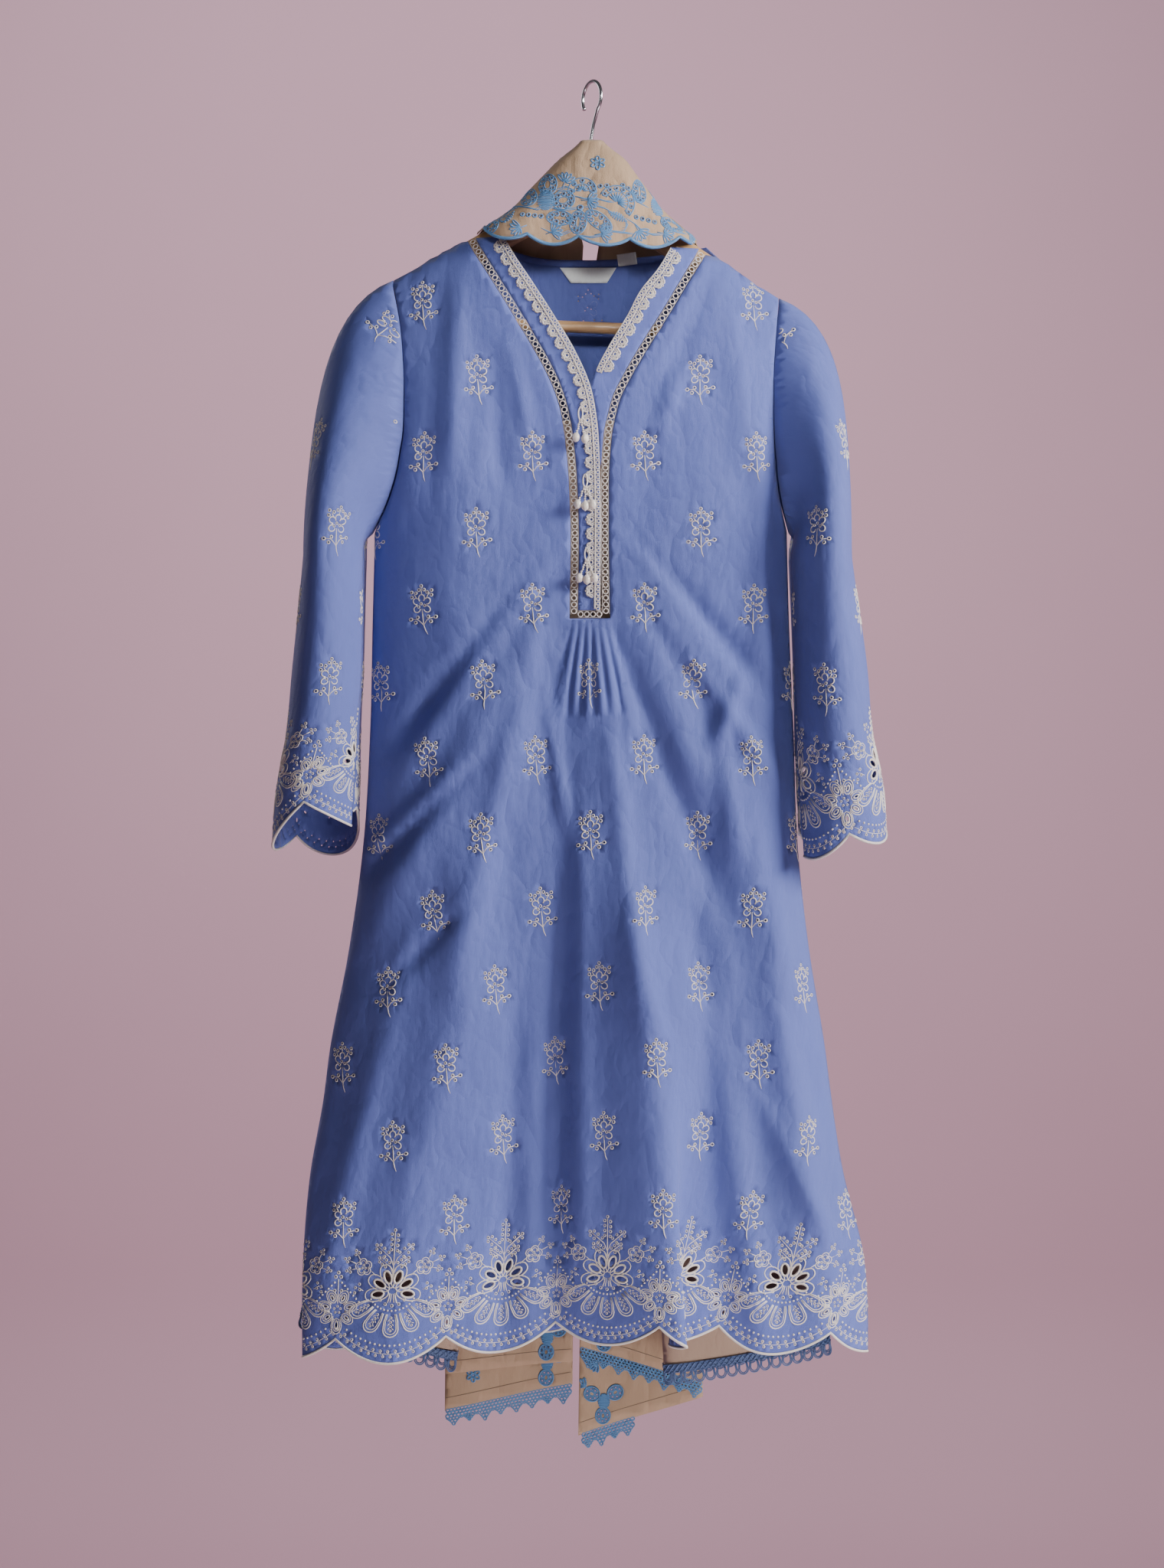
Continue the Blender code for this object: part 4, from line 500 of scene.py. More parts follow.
def keep_inside(triangles, edges):
    """The triangles inside the loops: each outline edge that is crossed goes in or out."""
    walls = {frozenset(e) for e in edges}
    beside = {}
    for index, (a, b, c) in enumerate(triangles):
        for pair in ((a, b), (b, c), (c, a)):
            beside.setdefault(frozenset(pair), []).append(index)
    state = {}
    queue = []
    for pair, owners in beside.items():
        if len(owners) == 1 and owners[0] not in state:
            state[owners[0]] = pair in walls
            queue.append(owners[0])
    while queue:
        index = queue.pop()
        a, b, c = triangles[index]
        for pair in (frozenset((a, b)), frozenset((b, c)), frozenset((c, a))):
            for other in beside[pair]:
                if other not in state:
                    state[other] = state[index] != (pair in walls)
                    queue.append(other)
    return [t for i, t in enumerate(triangles) if state[i]]


def tilted(x, drop):
    """A place on the hanger, turned with it about the hook."""
    c, s = math.cos(HANGER_TILT), math.sin(HANGER_TILT)
    return x * c - drop * s, drop * c + x * s


def arm_line():
    """The top line of both arms, as x and drop."""
    outs = np.linspace(-HANGER_HALF, HANGER_HALF, 81)
    return np.array([tilted(x, float(along(ARM_TOP, "drop", abs(x)))) for x in outs])


ARM_LINE = arm_line()


def shoulder(x):
    """Drop of the shoulder line: just above the arm, and on past its end at the same slope."""
    x = np.asarray(x, float)
    drop = np.interp(x, ARM_LINE[4:-4, 0], ARM_LINE[4:-4, 1])
    left, right = ARM_LINE[4, 0], ARM_LINE[-5, 0]
    drop = drop + np.clip(left - x, 0, None) * 0.5 + np.clip(x - right, 0, None) * 0.58
    return drop - 0.0015


def fold_height(folds, x, drop):
    """Sum of the ridges and troughs at a place."""
    total = np.zeros_like(x)
    for top, top_x, foot, foot_x, thin, wide, height in zip(*folds.values()):
        share = (drop - top) / (foot - top)
        grow = np.clip(share, 0, 1) ** 0.7 * np.clip((1.15 - share) / 0.3, 0, 1)
        centre = top_x + (foot_x - top_x) * share
        width = thin + (wide - thin) * np.clip(share, 0, 1)
        total += height * grow * np.exp(-((x - centre) / width) ** 2)
    return total


def bends_at(rows, drop):
    """Every column of a pleat table at a drop."""
    drops, *columns = rows.values()
    return [np.interp(drop, drops, column) for column in columns]


def pleat_height(x, drop, left, right):
    """Height of the long pleats along a row, with soft crests and troughs."""
    places = [left, *bends_at(PLEAT_PLACES, drop), right]
    heights = [0.0, *bends_at(PLEAT_HEIGHTS, drop), 0.0]
    total = np.zeros_like(x)
    for shift, weight in ((-1.0, 0.12), (-0.5, 0.23), (0.0, 0.30), (0.5, 0.23), (1.0, 0.12)):
        total += weight * np.interp(x + shift * PLEAT_SOFTNESS, places, heights)
    return total


def kameez_cloth(face, folds, creases, overlap=None):
    """The front (face -1) or the back (face 1) of the kameez."""
    drops = np.arange(0.140, 1.285, 0.006)
    angles = np.linspace(-math.pi / 2, math.pi / 2, 361)
    rows = []
    for drop in drops:
        left, right = along(KAMEEZ, "left", drop), along(KAMEEZ, "right", drop)
        depth = along(KAMEEZ, "front" if face < 0 else "back", drop)
        slit = along(KAMEEZ, "slit", drop)
        x = (left + right) / 2 + (right - left) / 2 * np.sin(angles)
        below = np.clip((drop - shoulder(x)) / SHOULDER_ROUND, 0, 1)
        rounding = np.sqrt(1 - (1 - below) ** 2)
        out = slit * rounding + (depth - slit) * np.cos(angles) * rounding
        calm = np.clip(np.cos(angles) * 2.2, 0, 1)
        raised = fold_height(folds, x, drop) * FOLD_GAIN
        if face < 0:
            raised = raised + pleat_height(x, drop, left, right) * PLEAT_GAIN
        for finer in creases:
            raised = raised + fold_height(finer, x, drop) * CREASE_GAIN
        out = out + raised * calm * rounding
        out = out - 0.6 * np.clip(out - MOST_OUT, 0, None)
        if overlap:
            grow = np.clip((drop - overlap["top_drop"]) / (HEM_DROP - overlap["top_drop"]), 0, 1) ** 1.3
            u = (x - overlap["x"]) / overlap["width"]
            turn = u * np.exp(-u * u) * grow
            x = x - overlap["across"] * turn
            out = out - overlap["depth"] * turn
        rise = 0.020 * np.exp(-((x - 0.02) / 0.13) ** 2) + 0.008 * np.clip(x / 0.27, 0, 1)
        z = -drop + rise * (drop / HEM_DROP) ** 3
        y = face * (SEAM / 2 + np.maximum(out, 0))
        rows.append(np.stack([x, y, z], axis=1))
    return Cloth(drops, rows, 0.0, -1 if face < 0 else 1)


def spaced(start, end, step):
    """Equal steps from one number to another, each as near to `step` as will fit."""
    return np.linspace(start, end, max(2, int(round(abs(end - start) / step)) + 1))


@functools.cache
def front_cloth():
    """The kameez front's hung surface, worked out once."""
    return kameez_cloth(-1, FRONT_FOLDS, (FRONT_CREASES, GATHERS), OVERLAP)


@functools.cache
def back_cloth():
    """The kameez back's hung surface, worked out once."""
    return kameez_cloth(1, BACK_FOLDS, (BACK_CREASES,))


def side_line(cloth, last):
    """Flat places down one side of the kameez, from the underarm to the hem's corner."""
    inset = -INSET if last else INSET
    return [(cloth.edge(d, last) + inset, d) for d in spaced(UNDERARM, HEM_DROP - HEM_CORNER, 0.010)]


def scallops(left, right, phase, low, height=SCALLOP, pitch=REPEAT, parts=24):
    """Points of a scalloped edge from left to right, with its cusps."""
    first = math.ceil((left - phase) / pitch * parts + 0.25)
    last = math.floor((right - phase) / pitch * parts - 0.25)
    places = [left] + [phase + k * pitch / parts for k in range(first, last + 1)] + [right]
    result = []
    for a in places:
        u = ((a - phase) / pitch + 0.5) % 1.0 * 2 - 1
        result.append((a, (low(a) if callable(low) else low) - height * u * u))
    return result


def offset_line(line, distance, top, foot, step):
    """A table's line moved sideways, as (x, drop) from its top to its foot."""
    drops = spaced(top, foot, step)
    x = along(line, "x", drops)
    slope = np.gradient(x, drops)
    turn = np.sqrt(1 + slope * slope)
    return [(float(a), float(b)) for a, b in zip(x + distance / turn, drops - distance * slope / turn)]


def armhole_line(cloth, line):
    """Flat places down an armhole, from the shoulder to the underarm, in equal parts."""
    drops = np.linspace(float(shoulder(line["x"][0])), UNDERARM, 49)
    xs = along(line, "x", drops)
    dense = np.array([(cloth.across_at(x, d), float(d)) for x, d in zip(xs, drops)])
    return [tuple(p) for p in resample(dense, lengths_along(dense)[-1] / ARMHOLE_PARTS)]


def shoulder_line(cloth, start, end):
    """Flat places along the shoulder between two x values."""
    return on_cloth(cloth, [(x, float(shoulder(x))) for x in spaced(start, end, 0.006)])


class Sleeve:
    """One sleeve: a cap from the armhole down to CAP_DROP and a plain tube of oval rings below it."""

    def __init__(self, sections, armhole, outward):
        self.halves = {}
        for face, cloth in (("front", front_cloth()), ("back", back_cloth())):
            ways = np.linspace(0, 1, 49)
            edge = cloth.place(armhole_line(cloth, armhole))
            span = np.linspace(0, 1, len(edge))
            start = np.stack([np.interp(ways, span, edge[:, k]) for k in range(3)], axis=1)
            start[:, 0] += outward * (0.0009 + 0.0020 * ways ** 1.5)
            rings = [self.ring(sections, drop, outward, face, ways)
                     for drop in np.arange(CAP_DROP, 0.800, 0.012)]
            cap = [self.cap(start, rings[0], outward, face, ways, s) for s in np.linspace(0, 1, 17)[:-1]]
            side = outward * (1 if face == "front" else -1)
            self.halves[face] = SleeveHalf(np.array(cap), np.array(rings), side)

    @staticmethod
    def ring(sections, drop, outward, face, ways):
        """Half a ring, from the outer line through the front or the back to the inner line."""
        value = {name: float(along(sections, name, drop)) for name in SLEEVE.split()[1:]}
        turn = math.radians(value["turn"])
        long_way = np.array([outward * math.sin(turn), math.cos(turn)])
        short_way = np.array([outward * math.cos(turn), -math.sin(turn)])
        angle = ways * math.pi
        sign = -1.0 if face == "front" else 1.0
        gap = SEAM / 2 + 0.0002
        major = sign * (value["long"] * np.sin(angle) + gap)
        minor = value["short"] * np.cos(angle)
        xy = np.array([value["x"], value["y"]]) + np.outer(major, long_way) + np.outer(minor, short_way)
        z = -drop + value["lean"] * minor + value["slope"] * major
        return np.column_stack([xy, z])

    @staticmethod
    def cap(start, ring, outward, face, ways, s):
        """A line across the cap, a share s of the way from the armhole to the first ring."""
        sign = -1.0 if face == "front" else 1.0
        length = np.linalg.norm(ring - start, axis=1)
        reach = np.minimum(0.45 * length, 0.045 + 0.035 * (1 - ways))
        away = np.stack([outward * np.ones_like(ways), sign * 0.55 * np.sin(math.pi * ways),
                         -0.36 - 0.3 * ways], axis=1)
        away /= np.linalg.norm(away, axis=1)[:, None]
        first = start + away * reach[:, None]
        second = ring + np.array([0, 0, 1.0]) * (0.42 * length)[:, None]
        return ((1 - s) ** 3 * start + 3 * (1 - s) ** 2 * s * first
                + 3 * (1 - s) * s * s * second + s ** 3 * ring)


class SleeveHalf:
    """The front or the back of a sleeve, addressed by distance from its outer line and by drop."""

    def __init__(self, cap, rings, side):
        self.side = side
        self.cap_grid = np.concatenate([cap, rings[:1]])
        self.tube = Cloth(CAP_DROP + 0.012 * np.arange(len(rings)), rings, None, side)
        steps = np.linalg.norm(np.diff(self.cap_grid, axis=0), axis=2).sum(axis=0)
        self.cap_drop = CAP_DROP - steps            # flat drop of the armhole edge, for each column
        self.columns, self.drops, self.across = self.tube.columns, self.tube.drops, self.tube.across

    def points(self, flat):
        flat = np.atleast_2d(flat)
        result = self.tube.points(flat)
        above = flat[:, 1] < CAP_DROP
        if above.any():
            column = np.interp(flat[above, 0], self.tube.across[0], self.columns)
            top = np.interp(column, self.columns, self.cap_drop)
            share = np.clip((flat[above, 1] - top) / (CAP_DROP - top + 1e-9), 0, 1) * (len(self.cap_grid) - 1)
            low = np.clip(share.astype(int), 0, len(self.cap_grid) - 2)
            result[above] = [
                self.between(r, c) * (1 - (s - r)) + self.between(r + 1, c) * (s - r)
                for r, c, s in zip(low, column, share)]
        return result

    def between(self, row, column):
        c = min(int(column), len(self.columns) - 2)
        return self.cap_grid[row][c] * (1 - column + c) + self.cap_grid[row][c + 1] * (column - c)

    place = Cloth.place

    def edge(self, drop, last=False):
        return self.tube.edge(max(drop, CAP_DROP), last)


def on_cloth(cloth, line):
    """Flat places for points given as (x, drop)."""
    return [(cloth.across_at(x, d), d) for x, d in line]


def leg_cloth(face, rows):
    """The front (face -1) or the back (face 1) of one leg, from its outer seam to its inner seam."""
    drops = np.arange(0.366, 1.300, 0.0117)
    result = []
    for drop in drops:
        outer, inner = along(rows, "outer", drop), along(rows, "inner", drop)
        turn = math.radians(float(np.clip(along(rows, "turn", drop), 90, 180)))
        angle = np.linspace(0, turn, 49)
        reach = 1 - math.cos(turn)
        x = outer + (inner - outer) * (1 - np.cos(angle)) / reach
        y = face * (SEAM / 2 + along(rows, "depth", drop) * np.sin(angle))
        z = -drop + along(rows, "rise", drop) * (x - inner) / (outer - inner)
        result.append(np.stack([x, y, z], axis=1))
    side = face if rows["outer"][0] < 0 else -face
    return Cloth(drops, result, None, side)


def bib_cloth():
    """The stretch in front of the hanger's neck."""
    drops = np.arange(0.052, 0.180, 0.004)
    angles = np.linspace(-math.pi / 2, math.pi / 2, 61)
    rows = []
    for drop in drops:
        left, right = along(BIB, "left", drop), along(BIB, "right", drop)
        x = (left + right) / 2 + (right - left) / 2 * np.sin(angles)
        full = (1 - np.abs(np.sin(angles)) ** 4) ** 0.5
        y = -SEAM / 2 - along(BIB, "depth", drop) * full
        y = y - 0.003 * np.sin(x * 60 + 1.0) * full * np.clip((drop - 0.08) / 0.08, 0, 1)
        rows.append(np.stack([x, y, np.full_like(x, -drop)], axis=1))
    return Cloth(drops, rows, 0.0, -1)


def tail_cloth(rows, hand, layer):
    """One layer of a tail; the far layer lies behind the near one."""
    drops = np.arange(0.062, 1.390, 0.0125)
    back = TAIL_LAYER if layer == "far" else 0.0
    result = []
    for drop in drops:
        outer, inner = along(rows, "outer", drop), along(rows, "inner", drop)
        angle = np.linspace(0, math.pi / 2, 33)
        x = inner + (outer - inner) * np.cos(angle)
        outer_y, inner_y = along(rows, "outer_y", drop), along(rows, "inner_y", drop)
        y = outer_y + (inner_y - outer_y) * np.sin(angle)
        wave = np.clip((drop - 0.16) / 0.2, 0, 1)
        y = y + wave * (0.0035 * np.sin((x - inner) / (outer - inner) * 5.2) + 0.0035)
        free = np.clip((drop - 0.16) / 0.03, 0, 1)
        y = y + back * free
        result.append(np.stack([x, y, np.full_like(x, -drop)], axis=1))
    return Cloth(drops, result, None, 1 if hand == "left" else -1)


# ---------------------------------------------------------------- node trees
class Graph:
    """A node tree under construction, for a material or for a geometry modifier."""

    def __init__(self, tree):
        self.tree = tree

    def node(self, kind, settings=None, values=None):
        """Adds a node, sets its properties, then its sockets by name or number."""
        made = self.tree.nodes.new(kind)
        for name, value in (settings or {}).items():
            setattr(made, name, value)
        for key, value in (values or {}).items():
            self.feed(made.inputs[key], value)
        return made

    def feed(self, socket, value):
        """Links a node's output to a socket, or sets the socket's own value."""
        if isinstance(value, Value):
            value = value.socket
        if isinstance(value, bpy.types.NodeSocket):
            self.tree.links.new(value, socket)
        else:
            socket.default_value = value

    def value(self, socket):
        return Value(self, socket)

    def ramp(self, factor, *stops):
        """A colour ramp over (place, colour) stops."""
        made = self.node("ShaderNodeValToRGB", None, {"Fac": factor})
        ramp = made.color_ramp
        while len(ramp.elements) < len(stops):
            ramp.elements.new(0.5)
        for element, (place, colour) in zip(ramp.elements, stops):
            element.position = place
            element.color = (*colour, 1.0)
        return made.outputs["Color"]

    def mix(self, factor, first, second):
        """Mixes two colours."""
        made = self.node("ShaderNodeMix", {"data_type": "RGBA"})
        for index, value in ((0, factor), (6, first), (7, second)):
            if isinstance(value, tuple) and len(value) == 3:
                value = (*value, 1.0)
            self.feed(made.inputs[index], value)
        return made.outputs[2]

    def noise(self, place, scale, detail=2.0, roughness=0.5):
        made = self.node("ShaderNodeTexNoise", {"noise_dimensions": "3D"},
                         {"Vector": place, "Scale": scale, "Detail": detail, "Roughness": roughness})
        return self.value(made.outputs["Fac"])


class Value:
    """A number socket; arithmetic on it adds Math nodes."""

    def __init__(self, graph, socket):
        self.graph, self.socket = graph, socket

    def math(self, operation, *others):
        values = {0: self}
        values.update({i + 1: other for i, other in enumerate(others)})
        made = self.graph.node("ShaderNodeMath", {"operation": operation}, values)
        return Value(self.graph, made.outputs[0])

    def reflected(self, operation, other):
        made = self.graph.node("ShaderNodeMath", {"operation": operation}, {0: other, 1: self})
        return Value(self.graph, made.outputs[0])

    def __add__(self, other):
        return self.math("ADD", other)

    __radd__ = __add__

    def __sub__(self, other):
        return self.math("SUBTRACT", other)

    def __rsub__(self, other):
        return self.reflected("SUBTRACT", other)

    def __mul__(self, other):
        return self.math("MULTIPLY", other)

    __rmul__ = __mul__

    def sin(self):
        return self.math("SINE")

    def size(self):
        return self.math("ABSOLUTE")


def flat_places(graph):
    """The cloth's own across and down places in metres, as numbers and as a vector."""
    uv = graph.node("ShaderNodeUVMap", {"uv_map": "flat"}).outputs["UV"]
    parts = graph.node("ShaderNodeSeparateXYZ", None, {"Vector": uv})
    return graph.value(parts.outputs["X"]), graph.value(parts.outputs["Y"]), uv


def stretched(graph, vector, scale):
    """A vector with each of its axes scaled."""
    made = graph.node("ShaderNodeVectorMath", {"operation": "MULTIPLY"}, {0: vector, 1: scale})
    return made.outputs[0]


def object_places(graph):
    return graph.node("ShaderNodeTexCoord").outputs["Object"]


def finish_with(name, colour, roughness, paint=None, **sockets):
    """A Principled material; `paint` adds what changes over the surface."""
    material = bpy.data.materials.new(name)
    material.use_nodes = True
    graph = Graph(material.node_tree)
    shader = material.node_tree.nodes["Principled BSDF"]
    shader.inputs["Base Color"].default_value = (*colour, 1.0)
    shader.inputs["Roughness"].default_value = roughness
    for key, value in sockets.items():
        shader.inputs[key.replace("_", " ")].default_value = value
    if paint:
        paint(graph, shader)
    return material


def tint(graph, shader, share, first, second):
    """Mixes two colours into the shader's own."""
    graph.feed(shader.inputs["Base Color"], graph.mix(share, first, second))


def raise_with(graph, shader, height, strength, distance):
    """Feeds a height into the shader's normal."""
    bump = graph.node("ShaderNodeBump", None, {"Strength": strength, "Distance": distance, "Height": height})
    graph.feed(shader.inputs["Normal"], bump.outputs["Normal"])


# ---------------------------------------------------------------- finishes
def cotton(name, colour, shade, crease, weave=0.00055):
    """Fine woven cotton: a plain weave, soft crushed creases and faint cloudy colour."""
    def paint(graph, shader):
        across, down, uv = flat_places(graph)
        cloudy = graph.noise(stretched(graph, uv, (18.0, 7.0, 1.0)), 1.0, 3.0)
        tint(graph, shader, cloudy, colour, shade)
        threads = (across * (math.tau / weave)).sin() * (down * (math.tau / weave)).sin()
        crush = graph.noise(stretched(graph, uv, (95.0, 26.0, 1.0)), 1.0, 4.0, 0.55)
        ridges = (graph.noise(stretched(graph, uv, (11.0, 7.0, 1.0)), 1.0, 2.0) - 0.5).size()
        crumples = (graph.noise(stretched(graph, uv, (38.0, 23.0, 1.0)), 1.0, 2.0) - 0.5).size()
        crushed = crush + ridges * 11.0 + crumples * 3.5
        raise_with(graph, shader, threads * 0.03 + crushed * crease, 0.55, 0.004)
    return finish_with(name, colour, 0.62, paint, Sheen_Weight=0.14, Sheen_Roughness=0.45,
                       Specular_IOR_Level=0.35)


def thread_finish(name, colour, shade, roughness=0.55, ply=0.0011):
    """Mercerised cotton thread: slanted plies and a soft gloss."""
    def paint(graph, shader):
        place = object_places(graph)
        fuzz = graph.noise(place, 900.0, 2.0)
        tint(graph, shader, fuzz, shade, colour)
        parts = graph.node("ShaderNodeSeparateXYZ", None, {"Vector": place})
        slant = graph.value(parts.outputs["X"]) + graph.value(parts.outputs["Z"]) * 1.2
        plies = (slant * (math.tau / ply)).sin()
        raise_with(graph, shader, plies * 0.12 + fuzz * 0.5, 0.4, 0.0004)
    return finish_with(name, colour, roughness, paint, Sheen_Weight=0.2, Sheen_Roughness=0.4)


def make_finishes(shades):
    """All materials of the suit, by the piece they belong to."""
    blue, cream, ivory = tuple(shades.kameez), tuple(shades.trousers), tuple(shades.thread)
    sky, slate = tuple(shades.lace), tuple(shades.braid)

    def darker(colour, share):
        return tuple(c * share for c in colour)

    def grain(graph, shader):
        place = stretched(graph, object_places(graph), (14.0, 160.0, 160.0))
        rings = graph.noise(place, 1.0, 5.0, 0.6)
        fine = graph.noise(stretched(graph, place, (1.0, 4.0, 4.0)), 1.0, 3.0)
        wood = graph.ramp(rings * 0.75 + fine * 0.25, (0.30, (0.30, 0.155, 0.065)),
                          (0.52, (0.52, 0.31, 0.15)), (0.72, (0.66, 0.43, 0.23)))
        graph.feed(shader.inputs["Base Color"], wood)
        raise_with(graph, shader, rings + fine * 0.5, 0.12, 0.0006)

    def drawn(graph, shader):
        lines = graph.noise(stretched(graph, object_places(graph), (900.0, 900.0, 60.0)), 1.0, 2.0)
        graph.feed(shader.inputs["Roughness"], lines * 0.16 + 0.14)

    def satin_tape(graph, shader):
        _, down, uv = flat_places(graph)
        ribs = (down * (math.tau / 0.0007)).sin()
        cloudy = graph.noise(stretched(graph, uv, (300.0, 120.0, 1.0)), 1.0, 3.0)
        tint(graph, shader, cloudy, (0.70, 0.74, 0.75), (0.86, 0.90, 0.90))
        raise_with(graph, shader, ribs * 0.15 + cloudy * 0.6, 0.4, 0.0006)

    def lustre(graph, shader):
        cloudy = graph.noise(object_places(graph), 260.0, 2.0)
        tint(graph, shader, cloudy, (0.60, 0.52, 0.46), (0.86, 0.80, 0.76))
        graph.feed(shader.inputs["Roughness"], cloudy * 0.2 + 0.12)

    def floor_paint(graph, shader):
        cloudy = graph.noise(object_places(graph), 1.3, 3.0)
        tint(graph, shader, cloudy, (0.56, 0.335, 0.42), (0.60, 0.365, 0.45))

    cotton("kameez_cotton", blue, darker(blue, 0.80), 0.55, sizes().weave)
    # The facing is the kameez cotton painted lighter than the kameez itself: painted light for the shaded
    # inside of the back neck.
    cotton("facing_cotton_painted_lighter", darker(blue, 1.15), darker(blue, 0.95), 0.4)
    cotton("trouser_cotton", cream, darker(cream, 0.84), 0.5, 0.0006)
    cotton("dupatta_cotton", tuple(shades.dupatta), darker(tuple(shades.dupatta), 0.80), 0.8, 0.0007)
    thread_finish("embroidery_thread", ivory, darker(ivory, 0.84))
    thread_finish("crochet_cord", tuple(shades.crochet), darker(tuple(shades.crochet), 0.76), 0.7, 0.0009)
    thread_finish("sky_thread", sky, darker(sky, 0.70), 0.65)
    thread_finish("tan_thread", darker(tuple(shades.dupatta), 0.55), darker(tuple(shades.dupatta), 0.4))
    thread_finish("slate_thread", slate, darker(slate, 0.5), 0.6)
    finish_with("varnished_wood", (0.50, 0.30, 0.14), 0.38, grain, Coat_Weight=0.35, Coat_Roughness=0.25)
    finish_with("chromed_wire", (0.62, 0.62, 0.65), 0.2, drawn, Metallic=1.0)
    finish_with("satin_label", (0.70, 0.70, 0.72), 0.4, satin_tape, Sheen_Weight=0.3)
    finish_with("pearl_bead", (0.78, 0.72, 0.68), 0.2, lustre, Coat_Weight=0.6, Coat_Roughness=0.1)
    finish_with("studio_paint", (0.62, 0.42, 0.49), 0.9, floor_paint)


def finish(name):
    return bpy.data.materials[name]


def sizes():
    """The sizes set for the suit's fine work."""
    return bpy.context.scene.suit_sizes


# ---------------------------------------------------------------- shells
def settle(thing, slot, *nodes):
    """Puts a finished piece in the frame: it rides and stands for its nodes; slot is not used."""
    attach(thing, "root")
    if nodes:
        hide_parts(*nodes)
    return thing


def add_mesh(name, points, faces, material):
    """An object at the origin from worked-out points and faces."""
    mesh = bpy.data.meshes.new(name)
    mesh.from_pydata([tuple(map(float, p)) for p in points], [], [tuple(map(int, f)) for f in faces])
    mesh.validate()
    mesh.shade_smooth()
    mesh.materials.append(finish(material))
    thing = bpy.data.objects.new(name, mesh)
    bpy.context.scene.collection.objects.link(thing)
    return thing


def lay_flat_map(thing, flat):
    """Stores each point's flat place as the piece's UV map."""
    mesh = thing.data
    index = np.zeros(len(mesh.loops), int)
    mesh.loops.foreach_get("vertex_index", index)
    layer = mesh.uv_layers.new(name="flat")
    layer.data.foreach_set("uv", np.asarray(flat, float)[index].ravel())


def solidify(thing, thickness):
    """Turns an open surface into a wall on its outer side."""
    wall = thing.modifiers.new("wall", "SOLIDIFY")
    wall.thickness = thickness
    wall.offset = 1.0
    wall.use_even_offset = False
    wall.use_quality_normals = True
    return thing


def hang(name, material, cloth, flat, faces, lift=0.0, thickness=None):
    """Hangs a cut piece on its cloth and gives it a wall."""
    a, b, c = flat[list(faces[0])]
    turn = (b[0] - a[0]) * (c[1] - a[1]) - (b[1] - a[1]) * (c[0] - a[0])
    if turn * cloth.side < 0:
        faces = [tuple(reversed(f)) for f in faces]
    thing = add_mesh(name, cloth.place(flat, lift), faces, material)
    lay_flat_map(thing, flat)
    return solidify(thing, thickness or sizes().shell)


def flat_area(flat, faces):
    """Area of a cut piece before it is hung."""
    a, b, c = (flat[[f[k] for f in faces]] for k in range(3))
    return float(np.abs(np.cross(b - a, c - a)).sum() / 2)


def cut_size(flat):
    """Width and length of the smallest upright or turned rectangle that a piece is cut from."""
    best = None
    for turn in np.radians(np.arange(-44, 45, 2)):
        across = flat @ (math.cos(turn), math.sin(turn))
        down = flat @ (-math.sin(turn), math.cos(turn))
        size = (np.ptp(across), np.ptp(down))
        if best is None or size[0] * size[1] < best[0] * best[1] * (1 if turn else 1.02):
            best = size
    return best


def declare_sheet(thing, flat, faces, held, rests_on, with_pieces=()):
    """Works out the size of a piece of cloth's cut, and keeps nothing of it."""
    width, length = cut_size(flat)
    area = min(flat_area(flat, faces), width * length)
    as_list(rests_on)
    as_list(with_pieces)


# ---------------------------------------------------------------- outlines
def hem_edges(cloth, low=HEM_DROP):
    """Across positions of a hem's two ends."""
    return cloth.edge(low - HEM_EDGE) + INSET, cloth.edge(low - HEM_EDGE, True) - INSET


def front_neck():
    """The front's inner edge: down outside the right insertion and up outside the left one."""
    half, foot = INSERTION / 2 + SEAM, NECK_FOOT + SEAM
    right = offset_line(INSERTION_RIGHT, half, float(shoulder(INSERTION_RIGHT["x"][0])) + 0.0030, foot, 0.006)
    left = offset_line(INSERTION_LEFT, -half, float(shoulder(INSERTION_LEFT["x"][0])) + 0.0022, foot, 0.006)
    return right + left[::-1]


def back_neck(cloth):
    """The back's neck edge, from the right to the left."""
    xs = np.linspace(0.113, -0.118, 40)
    return on_cloth(cloth, list(zip(xs, along(BACK_NECK, "drop", xs))))


def kameez_outline(cloth, phase, neck, neck_right, neck_left):
    """The edge of the kameez's front or back, all round."""
    return np.array(
        side_line(cloth, False)[1:]
        + scallops(*hem_edges(cloth), phase, HEM_DROP)
        + side_line(cloth, True)[:0:-1]
        + armhole_line(cloth, ARMHOLE_RIGHT)[::-1]
        + shoulder_line(cloth, 0.170, neck_right)
        + neck
        + shoulder_line(cloth, neck_left, -0.178)
        + armhole_line(cloth, ARMHOLE_LEFT))


def sleeve_outline(half, face):
    """Half a sleeve's edge, all round."""
    phase = CUFF_PHASE if face == "front" else -CUFF_PHASE
    ways = np.linspace(0, len(half.columns) - 1, ARMHOLE_PARTS * 3 // 4 + 1)
    cap = [(float(np.interp(w, half.columns, half.tube.across[0])),
            float(np.interp(w, half.columns, half.cap_drop)) + 1e-6) for w in ways]
    foot = CUFF_DROP - CUFF_CORNER
    outer = [(INSET, d) for d in np.linspace(cap[0][1], foot, 60)[1:-1]]
    inner = [(half.edge(d, True) - INSET, d) for d in np.linspace(cap[-1][1], foot, 36)[1:-1]]
    return np.array(outer + scallops(*hem_edges(half, CUFF_DROP), phase, CUFF_DROP) + inner[::-1] + cap[::-1])


